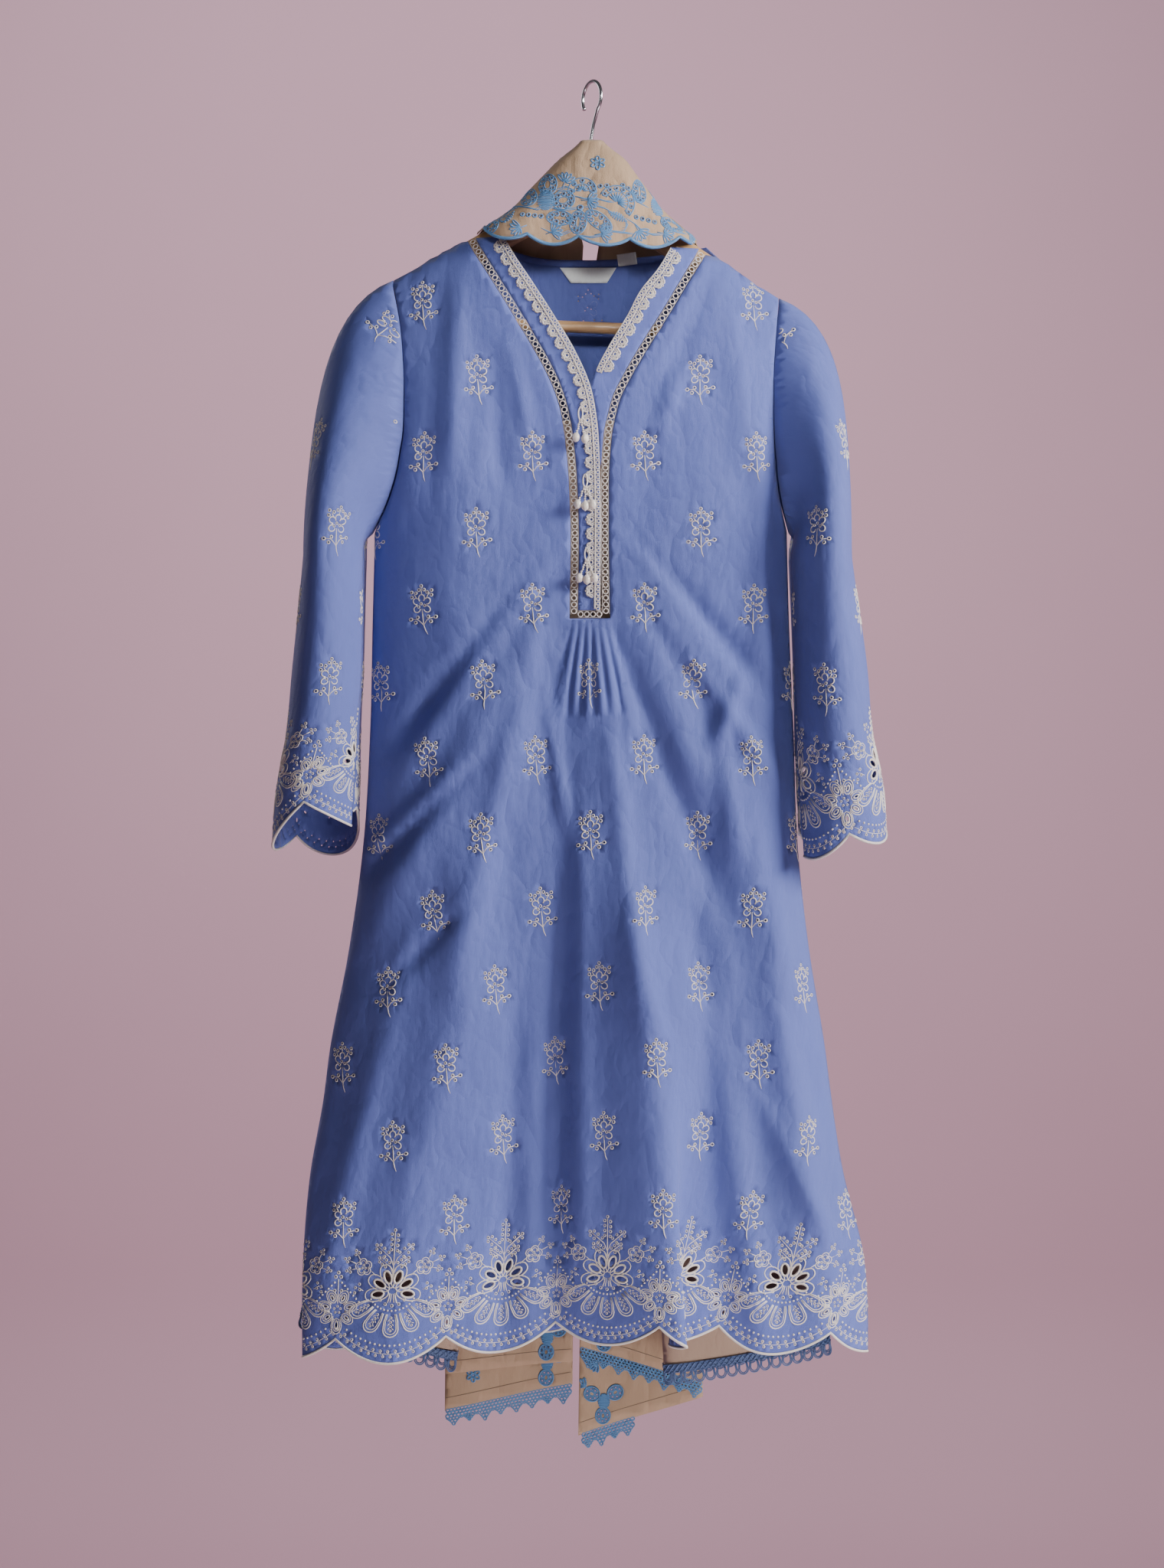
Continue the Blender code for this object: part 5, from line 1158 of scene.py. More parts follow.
# ---------------------------------------------------------------- threads and rings
def frames(cloth, flat, lift=0.0, step=STITCH_STEP):
    """Places on the hung cloth with its across, down and outward directions there."""
    flat = np.atleast_2d(np.asarray(flat, float))
    base = cloth.points(flat)
    middle = np.interp(flat[:, 1], cloth.drops, cloth.across.mean(axis=1))
    turn = np.where(flat[:, 0] > middle, -step, step)
    across = (cloth.points(flat + np.stack([turn, 0 * turn], 1)) - base) * np.sign(turn)[:, None]
    down = cloth.points(flat + (0, step)) - cloth.points(flat - (0, step))
    out = np.cross(across, down) * cloth.side
    across, down, out = (v / (np.linalg.norm(v, axis=1)[:, None] + 1e-12) for v in (across, down, out))
    return base + out * np.reshape(lift, (-1, 1)), across, down, out


def turns_of(first, up):
    """Euler turns that bring X to `first` and Z to `up`."""
    first = first - up * (first * up).sum(axis=1)[:, None]
    first /= np.linalg.norm(first, axis=1)[:, None] + 1e-12
    second = np.cross(up, first)
    return np.stack([np.arctan2(second[:, 2], up[:, 2]), np.arcsin(np.clip(-first[:, 2], -1, 1)),
                     np.arctan2(first[:, 1], first[:, 0])], axis=1)


def grow(name, mesh, tree, settings):
    """Runs a geometry tree over a mesh and keeps the result as a plain mesh."""
    thing = bpy.data.objects.new(name, mesh)
    bpy.context.scene.collection.objects.link(thing)
    modifier = thing.modifiers.new(name, "NODES")
    modifier.node_group = tree
    sockets = {item.name: item.identifier for item in tree.interface.items_tree if item.in_out == "INPUT"}
    for key, value in settings.items():
        modifier[sockets[key]] = value
    bpy.context.view_layer.update()
    shape = bpy.data.meshes.new_from_object(thing.evaluated_get(bpy.context.evaluated_depsgraph_get()))
    thing.modifiers.remove(modifier)
    shape.name = name
    shape.materials.clear()
    shape.materials.append(settings["Finish"])
    shape.polygons.foreach_set("material_index", np.zeros(len(shape.polygons), dtype=np.int32))
    thing.data = shape
    if not shape.polygons:
        raise ValueError(f"{name} came out empty")
    return thing


def store(mesh, name, kind, values):
    """Stores a value for each point of a mesh."""
    attribute = mesh.attributes.new(name, kind, "POINT")
    key = "value" if kind == "FLOAT" else "vector"
    attribute.data.foreach_set(key, np.asarray(values, float).ravel())


def new_tree(name, *inputs):
    """A geometry tree with its inputs and its two ends."""
    tree = bpy.data.node_groups.new(name, "GeometryNodeTree")
    tree.interface.new_socket("Geometry", in_out="OUTPUT", socket_type="NodeSocketGeometry")
    tree.interface.new_socket("Geometry", in_out="INPUT", socket_type="NodeSocketGeometry")
    for label, kind, default in inputs:
        socket = tree.interface.new_socket(label, in_out="INPUT", socket_type=kind)
        if default is not None:
            socket.default_value = default
    return Graph(tree), tree.nodes.new("NodeGroupInput").outputs, tree.nodes.new("NodeGroupOutput").inputs


def end_tree(graph, geometry, material, target):
    """Realizes, smooths and gives the material."""
    real = graph.node("GeometryNodeRealizeInstances", None, {"Geometry": geometry}).outputs[0]
    soft = graph.node("GeometryNodeSetShadeSmooth", None, {"Geometry": real}).outputs[0]
    done = graph.node("GeometryNodeSetMaterial", None, {"Geometry": soft, "Material": material})
    graph.feed(target, done.outputs[0])


def attribute(graph, name, kind):
    made = graph.node("GeometryNodeInputNamedAttribute", {"data_type": kind}, {"Name": name})
    return made.outputs[0]


def circle(graph, sides, radius):
    """A closed round section or path."""
    made = graph.node("GeometryNodeCurvePrimitiveCircle", {"mode": "RADIUS"},
                      {"Resolution": sides, "Radius": radius})
    return made.outputs["Curve"]


def set_on_points(graph, points, shape):
    """A copy of a shape at each point, turned and sized by it."""
    euler = attribute(graph, "turn", "FLOAT_VECTOR")
    turn = graph.node("FunctionNodeEulerToRotation", None, {"Euler": euler})
    placed = graph.node("GeometryNodeInstanceOnPoints", None, {
        "Points": points, "Instance": shape, "Rotation": turn.outputs[0],
        "Scale": attribute(graph, "size", "FLOAT_VECTOR")})
    return placed.outputs[0]


def ring_tree():
    """Stitched rings: one small closed ring at each point, turned and sized by it."""
    graph, source, target = new_tree(
        "stitched_rings", ("Ring radius", "NodeSocketFloat", 1.0), ("Thread radius", "NodeSocketFloat", 0.4),
        ("Sides", "NodeSocketInt", 8), ("Ply sides", "NodeSocketInt", 4),
        ("Finish", "NodeSocketMaterial", None))
    ring = graph.node("GeometryNodeCurveToMesh", None, {
        "Curve": circle(graph, source["Sides"], source["Ring radius"]),
        "Profile Curve": circle(graph, source["Ply sides"], source["Thread radius"])})
    placed = set_on_points(graph, source["Geometry"], ring.outputs["Mesh"])
    end_tree(graph, placed, source["Finish"], target[0])
    return graph.tree


def bead_tree():
    """Knots and beads: one low round bead at each point, turned and sized by it."""
    graph, source, target = new_tree(
        "beads", ("Fineness", "NodeSocketInt", 1), ("Finish", "NodeSocketMaterial", None))
    bead = graph.node("GeometryNodeMeshIcoSphere", None, {"Radius": 1.0, "Subdivisions": source["Fineness"]})
    placed = set_on_points(graph, source["Geometry"], bead.outputs["Mesh"])
    end_tree(graph, placed, source["Finish"], target[0])
    return graph.tree


def thread_tree():
    """Laid threads: a round section carried along every line of edges, sized by its points."""
    graph, source, target = new_tree(
        "laid_threads", ("Sides", "NodeSocketInt", 5), ("Finish", "NodeSocketMaterial", None))
    line = graph.node("GeometryNodeMeshToCurve", None, {"Mesh": source["Geometry"]})
    laid = graph.node("GeometryNodeCurveToMesh", None, {
        "Curve": line.outputs[0], "Profile Curve": circle(graph, source["Sides"], 1.0),
        "Scale": attribute(graph, "half", "FLOAT"), "Fill Caps": True})
    end_tree(graph, laid.outputs[0], source["Finish"], target[0])
    return graph.tree


def tree(name):
    """A geometry tree, built the first time that it is asked for."""
    builders = {"stitched_rings": ring_tree, "beads": bead_tree, "laid_threads": thread_tree}
    return bpy.data.node_groups.get(name) or builders[name]()


def on_line(cloth, flat, lift, half, closed=False):
    """One line for lay_threads, through flat places of a hung cloth."""
    return frames(cloth, flat, lift)[0], half, closed


def lay_threads(name, lines, material, sides=5):
    """Threads along lines of 3-D points; each line is (points, half widths, closed)."""
    points, edges, halves = [], [], []
    for line, half, closed in lines:
        start = len(points)
        points.extend(tuple(map(float, p)) for p in line)
        halves.extend(np.broadcast_to(half, (len(line),)))
        edges.extend((start + i, start + i + 1) for i in range(len(line) - 1))
        if closed:
            edges.append((start + len(line) - 1, start))
    mesh = bpy.data.meshes.new(name)
    mesh.from_pydata(points, edges, [])
    store(mesh, "half", "FLOAT", halves)
    return grow(name, mesh, tree("laid_threads"), {"Sides": sides, "Finish": finish(material)})


def set_points(name, points, turns, sizes):
    mesh = bpy.data.meshes.new(name)
    mesh.from_pydata([tuple(map(float, p)) for p in points], [], [])
    store(mesh, "turn", "FLOAT_VECTOR", turns)
    store(mesh, "size", "FLOAT_VECTOR", sizes)
    return mesh


def lay_rings(name, places, turns, sizes, material, ring, thread, sides, ply):
    """Closed rings at 3-D points; `ring` and `thread` are radii as shares of each ring's size."""
    return grow(name, set_points(name, places, turns, sizes), tree("stitched_rings"), {
        "Ring radius": ring, "Thread radius": thread, "Sides": sides, "Ply sides": ply,
        "Finish": finish(material)})


def set_beads(name, points, sizes, material, turns=None, fineness=2):
    """Beads at 3-D points; sizes are radii along each axis."""
    turns = np.zeros((len(points), 3)) if turns is None else turns
    mesh = set_points(name, points, turns, sizes)
    return grow(name, mesh, tree("beads"), {"Fineness": fineness, "Finish": finish(material)})


def joined(name, things):
    """Several plain objects as one, in the first one's place."""
    first, materials = things[0], []
    total = bpy.data.meshes.new(name)
    points, faces, slots, offset = [], [], [], 0
    for thing in things:
        mesh = thing.data
        places = np.zeros(len(mesh.vertices) * 3)
        mesh.vertices.foreach_get("co", places)
        points.append(places.reshape(-1, 3))
        material = mesh.materials[0]
        if material not in materials:
            materials.append(material)
        for polygon in mesh.polygons:
            faces.append([offset + v for v in polygon.vertices])
            slots.append(materials.index(material))
        offset += len(mesh.vertices)
    total.from_pydata(np.concatenate(points), [], faces)
    for material in materials:
        total.materials.append(material)
    total.polygons.foreach_set("material_index", slots)
    total.shade_smooth()
    for thing in things[1:]:
        bpy.data.objects.remove(thing)
    first.data = total
    first.name = name
    return first


def grid_faces(rows, count, closed=True):
    """Four-sided faces over rows of points, each row a ring when closed."""
    return [(a + k, a + (k + 1) % count, a + count + (k + 1) % count, a + count + k)
            for a in range(0, (rows - 1) * count, count) for k in range(count if closed else count - 1)]


def turned_over(faces):
    """The same four-sided faces seen from their other side."""
    return [(a, d, c, b) for a, b, c, d in faces]


def sweep(name, line, halves, material, sides=12):
    """A closed rod of changing radius along 3-D points, with rounded ends."""
    line, halves = np.asarray(line, float), np.broadcast_to(halves, (len(line),)).astype(float)
    way = np.gradient(line, axis=0)
    way /= np.linalg.norm(way, axis=1)[:, None]
    side = np.cross(way, (0.31, 0.87, 0.38))
    side /= np.linalg.norm(side, axis=1)[:, None]
    other = np.cross(way, side)
    angle = np.arange(sides) * math.tau / sides
    rings = (line[:, None] + halves[:, None, None] * (side[:, None] * np.cos(angle)[:, None]
                                                     + other[:, None] * np.sin(angle)[:, None]))
    points = list(rings.reshape(-1, 3)) + [line[0], line[-1]]
    faces = grid_faces(len(line), sides)
    first, last = len(points) - 2, len(points) - 1
    base = (len(line) - 1) * sides
    faces += [(first, (k + 1) % sides, k) for k in range(sides)]
    faces += [(last, base + k, base + (k + 1) % sides) for k in range(sides)]
    return add_mesh(name, points, faces, material)


# ---------------------------------------------------------------- embroidery on cloth
class Stitches:
    """Embroidery laid out flat on one piece: rings round holes, satin threads and knots."""

    def __init__(self, outline):
        self.outline = np.asarray(outline, float)
        self.rings, self.threads, self.knots, self.holes, self.rims = [], [], [], [], []

    def ring(self, a, drop, radius=0.0018, long=1.0, turn=0.0, hole=0.42):
        """A stitched eyelet of an outer radius, made longer along `turn`; hole is its share."""
        self.rings.append((a, drop, radius, long, turn, hole))

    def thread(self, points, width, closed=False, taper=False):
        """A satin line through flat points."""
        points = np.asarray(points, float)
        half = np.full(len(points), width / 2)
        if taper:
            half *= np.clip(np.sin(np.linspace(0.12, 1, len(points)) * math.pi * 0.93) * 1.6, 0.3, 1)
        self.threads.append((points, half, closed))

    def rim(self, points, width):
        """A satin line that binds the piece's own edge."""
        self.rims.append((np.asarray(points, float), np.full(len(points), width / 2), False))

    def knot(self, a, drop, radius=0.0009):
        self.knots.append((a, drop, radius))

    def clip(self):
        """Drops what falls outside the piece, and gathers the holes to cut."""
        if self.rings:
            rings = np.array(self.rings)
            room = clearance(rings[:, :2], self.outline)
            self.rings = rings[room > rings[:, 2] * 0.9]
            wide = rings[(room > rings[:, 2] * 1.25 + 0.0004) & (rings[:, 5] > 0)]
            angle = np.arange(6) * math.tau / 6 + 0.3
            reach = wide[:, 2] * wide[:, 5] * wide[:, 3]
            for index, (a, drop, radius, long, turn, hole) in enumerate(wide):
                gap = np.hypot(wide[:index, 0] - a, wide[:index, 1] - drop) - reach[:index] - reach[index]
                if index and gap.min() < 0.0002:
                    continue
                x, y = radius * hole * long * np.cos(angle), radius * hole * np.sin(angle)
                c, s = math.cos(turn), math.sin(turn)
                self.holes.append(np.stack([a + x * c - y * s, drop + x * s + y * c], axis=1))
        kept = []
        if self.threads:
            every = np.concatenate([t[0] for t in self.threads])
            room = clearance(every, self.outline)
            start = 0
            for points, half, closed in self.threads:
                here = room[start:start + len(points)] > half * 0.8
                start += len(points)
                if here.all():
                    kept.append((points, half, closed))
                    continue
                runs = np.split(np.arange(len(points)), np.flatnonzero(np.diff(here.astype(int))) + 1)
                kept += [(points[run], half[run], False) for run in runs if here[run[0]] and len(run) > 2]
        self.threads = kept + self.rims
        if self.knots:
            knots = np.array(self.knots)
            self.knots = knots[clearance(knots[:, :2], self.outline) > knots[:, 2]]
        return self

    def lay(self, name, cloth, material, lift=SHELL, sides=4, hole_shade=None, fine=8):
        """Makes the clipped embroidery on the hung cloth as one piece; the material given for the eyelets'
        holes lays a smaller dark ring inside each eyelet, as painted shade for the hole.
        """
        parts = []
        if len(self.rings):
            rings = self.rings
            places, across, down, out = frames(cloth, rings[:, :2], lift)
            first = across * np.cos(rings[:, 4])[:, None] + down * np.sin(rings[:, 4])[:, None]
            size = np.stack([rings[:, 2] * rings[:, 3], rings[:, 2], rings[:, 2]], axis=1)
            turns = turns_of(first, out)
            parts.append(lay_rings(name + "_rings", places, turns, size, material, 0.71, 0.30, fine, 3))
            if hole_shade:
                # Painted shade: a smaller dark ring, sunk a little, inside each eyelet stands for the shadow
                # in its hole.
                under = places - out * rings[:, 2:3] * 0.15
                parts.append(lay_rings(name + "_painted_hole_shade", under, turns, size, hole_shade, 0.37, 0.17, 6, 3))
        if self.threads:
            flat = np.concatenate([t[0] for t in self.threads])
            half = np.concatenate([t[1] for t in self.threads])
            places = frames(cloth, flat, lift - 0.25 * half)[0]
            lines, start = [], 0
            for points, widths, closed in self.threads:
                lines.append((places[start:start + len(points)], widths, closed))
                start += len(points)
            parts.append(lay_threads(name + "_threads", lines, material, sides))
        if len(self.knots):
            knots = np.array(self.knots)
            places, across, down, out = frames(cloth, knots[:, :2], lift)
            size = np.repeat(knots[:, 2:3], 3, axis=1) * (1, 1, 0.6)
            parts.append(set_beads(name + "_knots", places, size, material, turns_of(across, out), 1))
        return joined(name, parts)


# ---------------------------------------------------------------- embroidery patterns
SPRIG_CLUSTERS = (((0.3, 18.9), (-2.1, 14.9), (3.2, 15.2)), ((-9.6, 12.6), (-5.3, 11.8), (-9.5, 7.8)),
                  ((10.9, 14.6), (6.3, 12.9), (10.7, 10.0)))
SPRIG_HEART = ((-0.2, 1.4), (3.3, -0.3), (-2.8, -1.7))
SPRIG_PETALS = ((0.4, 7.0), (-5.0, 3.6), (6.0, 4.2), (-4.6, -3.9), (5.6, -3.7))
SPRIG_LEAVES = ((-4.3, -12.0), (-11.5, -13.9), (-6.7, -17.0), (6.5, -11.2), (14.0, -11.5), (9.0, -15.9))
SPRIG_STEMS = (
    ((0.4, -3.5), (0.9, -10.0), (1.2, -17.0), (1.4, -20.5), (2.2, -24.5), (4.0, -28.7)),
    ((1.2, -19.5), (-2.6, -15.6), (-5.0, -14.0), (-9.6, -13.8)),
    ((1.3, -19.5), (4.6, -14.6), (7.5, -12.9), (11.6, -11.8)),
    ((0.5, 10.6), (0.4, 13.4), (0.3, 16.6)),
    ((-4.6, 6.8), (-7.0, 10.0)),
    ((4.9, 6.0), (7.0, 10.2), (9.0, 12.4)),
)
# Rows of sprigs drift across with the flare of the cloth.
DRIFT = table("drop shift", (600, -4), (750, -2), (820, 0), (900, 7), (970, 10.5), (1050, 11.5),
    (1120, 17.5))
TREE_TOP = ((0.0, 60.0), (-3.0, 56.0), (3.0, 55.0), (-2.9, 51.0), (3.1, 50.0), (-2.9, 46.0), (3.0, 45.0),
            (-2.9, 41.0), (3.0, 40.0))
TREE_BRANCHES = (((3.5, 33.0), (16.5, 44.0)), ((3.0, 24.0), (13.0, 31.5)))
FLOWER_CLUSTERS = ((37.5, 37.5), (47.0, 30.5), (45.0, 20.0))


class Motif:
    """Draws in millimetres, y up, about one point of a piece; flip turns left into right."""

    def __init__(self, stitches, a, drop, flip=1, scale=1.0):
        self.stitches, self.a, self.drop, self.flip, self.scale = stitches, a, drop, flip, scale

    def at(self, x, y):
        return self.a + self.flip * x * self.scale * MM, self.drop - y * self.scale * MM

    def ring(self, x, y, radius=1.8, long=1.0, turn=0.0):
        lean = -self.flip * math.radians(turn)
        self.stitches.ring(*self.at(x, y), radius * MM * sizes().eyelet, long, lean)

    def line(self, points, width=0.8, closed=False, taper=False):
        self.stitches.thread([self.at(*p) for p in points], width * MM * sizes().thread, closed, taper)

    def knot(self, x, y, radius=1.2):
        self.stitches.knot(*self.at(x, y), radius * MM)

    def lobe(self, x, y, long, wide, turn, width, gap=0.0, parts=10):
        """An oval outline whose far end points along `turn` from straight up, open by `gap` behind."""
        s, c = turned(turn)
        angles = np.linspace(gap - 180, 180 - gap, parts + 1)[:None if gap else -1]
        points = []
        for t in np.radians(angles):
            out, aside = long * math.cos(t), wide * math.sin(t)
            points.append((x + out * s + aside * c, y + out * c - aside * s))
        self.line(points, width, closed=not gap)


def sprig(motif):
    """A small five-petalled flower with three clusters of eyelets, a stem and two sprays."""
    for cluster in SPRIG_CLUSTERS:
        for x, y in cluster:
            motif.ring(x, y, 1.75)
    for x, y in SPRIG_HEART:
        motif.ring(x, y, 1.55)
    for x, y in SPRIG_PETALS:
        turn = math.degrees(math.atan2(x, y))
        motif.lobe(x, y, 3.5, 3.1, turn, 1.05, gap=42, parts=9)
    for x, y in SPRIG_LEAVES:
        motif.ring(x, y, 1.85, 1.25 if abs(x) > 11 else 1.0, 8)
    motif.line(SPRIG_STEMS[0], 1.0, taper=True)
    for stem in SPRIG_STEMS[1:]:
        motif.line(stem, 0.85)


def medallion(motif):
    """The border's main flower: cut petals, a bell, feather loops below and an eyelet tree above."""
    for petal in range(6):
        turn = PETAL_STEP * (petal - 2.5)
        s, c = turned(turn)
        motif.lobe(15 * s, 15 * c, 6.5, 3.7, turn, 1.9, parts=14)
        tip = []
        for share in np.linspace(0, 1, 13):
            reach = 4.0 + 23.5 * (0.5 - 0.5 * math.cos(math.pi * share)) if share < 1 else 27.5
            tip.append((reach, 6.4 * math.sin(math.pi * share ** 1.15) ** 0.8))
        outline = tip + [(r, -w) for r, w in tip[-2:0:-1]]
        motif.line([(r * s + w * c, r * c - w * s) for r, w in outline], 1.1, closed=True)
    for side in (-1, 1):
        motif.line([(side * 2.6, -1.5), (side * 3.0, -6.0), (side * 4.6, -11.0)], 1.2)
        motif.line([(side * 1.0, -2.0), (side * 1.2, -6.0), (side * 1.9, -10.5)], 0.9)
    for k in range(5):
        s, c = turned((k - 2) * 27)
        motif.ring(14.7 * s, -13.6 * c, 1.7)
    for k in range(15):
        s, c = turned((k - 7) * 9.5)
        motif.knot(22.96 * s, -18.6 * c, 1.15)
    for k in range(5):
        feather(motif, (k - 2) * 29.0)
    for x, y in TREE_TOP:
        motif.ring(x, y, 1.6)
    motif.line([(0.0, 58.0), (0.0, 44.0), (0.0, 30.0), (0.2, 12.0)], 0.9)
    for side in (-1, 1):
        for (x0, y0), (x1, y1) in TREE_BRANCHES:
            motif.line([(0.0, y0 - 8.0), (side * x0, y0), (side * x1, y1)], 0.8)
            motif.ring(side * (x1 + 1.3), y1 + 1.2, 1.6)
            for share in (0.30, 0.64, 0.94):
                x, y = x0 + (x1 - x0) * share, y0 + (y1 - y0) * share
                motif.ring(side * (x - 2.0), y + 2.1, 1.5)
                motif.ring(side * (x + 2.0), y - 2.1, 1.5)
        side_flower(motif, side)


def feather(motif, turn):
    """One hanging loop of the medallion: two outlines and a ladder of rings."""
    s, c = turned(turn)

    def place(out, aside):
        return (out * s * 1.10 + aside * c, -out * c + aside * s * 0.9)

    for half, low, width in ((7.4, 44.5, 1.2), (5.6, 41.8, 0.8)):
        u_shape = [(22.0, -half * 0.62), (29.0, -half * 0.90)]
        u_shape += [(low - half + half * math.sin(t), -half * math.cos(t))
                    for t in np.linspace(0, math.pi, 9)]
        u_shape += [(29.0, half * 0.90), (22.0, half * 0.62)]
        motif.line([place(*p) for p in u_shape], width)
    for k in range(4):
        out = 25.5 + 4.2 * k
        x, y = place(out, 0.0)
        motif.ring(x, y, 1.35)
        if k < 3:
            for side in (-1, 1):
                motif.line([place(out + 1.6, side * 1.2), place(out + 3.4, side * 3.0)], 0.75)


def side_flower(motif, side):
    """A doubled five-lobed flower beside the medallion, with clusters of eyelets on stems."""
    x0, y0 = side * 30.0, 23.5
    for k in range(5):
        turn = 72 * k + (8 if side > 0 else -8)
        s, c = turned(turn)
        motif.lobe(x0 + 4.9 * s, y0 + 4.9 * c, 3.6, 3.7, turn, 0.9, gap=55, parts=8)
        motif.lobe(x0 + 4.3 * s, y0 + 4.3 * c, 2.1, 2.3, turn, 0.6, gap=50, parts=6)
    for turn in (90, 210, 330):
        s, c = turned(turn)
        motif.ring(x0 + 1.9 * c, y0 + 1.9 * s, 1.3)
    motif.line([(side * 22.5, 20.0), (side * 17.0, 15.5)], 0.8)
    for x, y in FLOWER_CLUSTERS:
        away = math.atan2(y - y0, x - abs(x0))
        for turn in (0, 120, 240):
            t = away + math.radians(turn)
            motif.ring(side * (x + 2.2 * math.cos(t)), y + 2.2 * math.sin(t), 1.5)
        motif.line([(x0 + side * 8.2 * math.cos(away), y0 + 8.2 * math.sin(away)),
                    (side * (x - 2.6 * math.cos(away)), y - 2.6 * math.sin(away))], 0.7)
    for x, y in ((33.5, 6.8), (37.6, 3.4), (33.0, 1.6), (38.0, -1.6)):
        motif.ring(side * x, y, 1.5)
    motif.line([(side * 29.5, 0.5), (side * 35.4, 3.9)], 0.7)


def cusp_flower(motif):
    """The flower over each cusp: seven lobed petals with long holes, eyelets above, a dotted peak."""
    for k in range(7):
        turn = 180 + k * 360 / 7
        s, c = turned(turn)
        out, long, wide = (15.0, 4.4, 2.0) if k == 0 else (12.4, 3.3, 1.7)
        motif.ring(out * s, out * c, wide * 1.15, long / wide, 90 - turn)
        motif.lobe(out * s, out * c, long + 2.0, wide + 1.9, turn, 0.95, parts=10)
        motif.lobe((out + 0.6) * s, (out + 0.6) * c, long + 4.0, wide + 3.3, turn, 0.9, gap=38, parts=11)
    for k in range(5):
        s, c = turned(72 * k)
        motif.ring(3.3 * s, 3.3 * c, 1.25)
    motif.line([(0.0, 6.0), (0.0, 30.0)], 0.8)
    for y in (12.0, 18.5):
        for side in (-1, 1):
            motif.ring(side * 3.4, y, 1.7)
    for turn in (90, 210, 330):
        s, c = turned(turn)
        motif.ring(3.0 * c, 33.5 + 2.8 * s, 1.8)
    for side in (-1, 1):
        for k in range(7):
            motif.knot(side * (3.6 + 3.0 * k), 26.5 - 3.1 * k, 1.2)


def repeats(phase, left, right, more=1):
    """Middles of the border's repeats between two edges, and of `more` past each."""
    first, last = math.ceil((left - phase) / REPEAT) - more, math.floor((right - phase) / REPEAT) + more
    return [phase + k * REPEAT for k in range(first, last + 1)]


def border_edge(stitches, phase, low, left, right):
    """What follows the scalloped edge: its satin binding, a vine of eyelets and a dotted arc."""
    def edge(a, up):
        u = ((a - phase) / REPEAT + 0.5) % 1.0 * 2 - 1
        return (a, low - SCALLOP * u * u - up * MM)

    stitches.rim([(a, d - 0.0008) for a, d in scallops(left, right, phase, low)], 0.0030)
    for middle in repeats(phase, left, right):
        for j in range(15):
            u = (j - 7) * 0.134
            a = middle + u * REPEAT / 2
            for up, shift in ((12.6, -0.0013), (7.6, 0.0013)):
                x, d = edge(middle + np.clip(u, -0.93, 0.93) * REPEAT / 2 + shift, up)
                stitches.ring(x, d, 0.0016, hole=0.42 if j % 2 else 0.40)
            for share in (-0.6, 0.6):
                start, end = edge(a + share * 0.0016, 10.1), edge(a + share * 0.0026, 10.1 - share * 3.4)
                stitches.thread([start, end], 0.0007)
        stem = [edge(middle + u * REPEAT / 2, 10.1) for u in np.linspace(-0.93, 0.93, 20)]
        stitches.thread(stem, 0.0007)
        for j in range(19):
            u = (j - 9) / 9 * 0.80
            stitches.knot(*edge(middle + u * REPEAT / 2, 18.3), 0.00125)


def sprig_places(rows, start, way=1, drifts=True):
    """Places of the sprigs, every second row set half a repeat across."""
    for k in range(rows):
        drop = FIRST_ROW + ROW_PITCH * k
        drift = float(along(DRIFT, "shift", drop)) if drifts else 0.0
        for j in range(-4, 5):
            yield way * (start + REPEAT / 2 * (k % 2)) + REPEAT * j + drift, drop


def embroider(stitches, phase, low, left, right, sprigs, way):
    """A panel's whole pattern: its sprigs above and the scalloped border below."""
    for a, drop in sprigs:
        if left - 0.02 < a < right + 0.02:
            sprig(Motif(stitches, a, drop - SPRIG_UP, way))
    for middle in repeats(phase, left, right):
        medallion(Motif(stitches, middle, low - MEDALLION_UP, way))
        cusp_flower(Motif(stitches, middle + REPEAT / 2, low - CUSP_UP, way))
    border_edge(stitches, phase, low, left, right)


def leafy_flower(motif, radius=7.5, width=1.6):
    """A satin flower round a small eyelet."""
    for turn in range(0, 360, 60):
        s, c = turned(turn)
        motif.lobe(radius * 0.64 * s, radius * 0.64 * c, radius * 0.35, radius * 0.25, turn, width, parts=8)
    motif.ring(0, 0, radius * 0.24)


def eyelet_loop(motif, x, y, long, wide, turn, count):
    """A petal drawn by a closed row of eyelets between two outlines."""
    s, c = turned(turn)
    for t in np.arange(count) * math.tau / count:
        out, aside = long * math.cos(t), wide * math.sin(t)
        motif.ring(x + out * s + aside * c, y + out * c - aside * s, EYE)
    motif.lobe(x, y, long + 2.8, wide + 2.8, turn, 1.3, parts=18)
    if min(long, wide) > 4:
        motif.lobe(x, y, long - 2.6, wide - 2.6, turn, 1.1, parts=12)


def filled_heart(motif, x, y, high, wide):
    """A rounded satin heart, laid in close rows."""
    points = []
    for k, v in enumerate(np.arange(-high + 0.6, high, 1.15)):
        reach = wide * math.sqrt(max(0.0, 1 - (v / high) ** 2)) * (1 - 0.12 * (k % 2))
        row = [(x + reach * s, y + v + 0.3 * (j % 2)) for j, s in enumerate((-1, -0.55, 0, 0.55, 1))]
        points += row if k % 2 else row[::-1]
    motif.line(points, 1.3)


def spray(motif, x, y, turn, leaves=5, long=4.4):
    """A fan of slim satin leaves on one stem."""
    for k in range(leaves):
        lean = turn + (k - (leaves - 1) / 2) * 26
        s, c = turned(lean)
        motif.lobe(x + s * long * 1.15, y + c * long * 1.15, long, long * 0.28, lean, 1.4, parts=8)
    s, c = turned(turn)
    motif.line([(x - 6 * s, y - 6 * c), (x, y), (x + 2 * s, y + 2 * c)], 1.0)


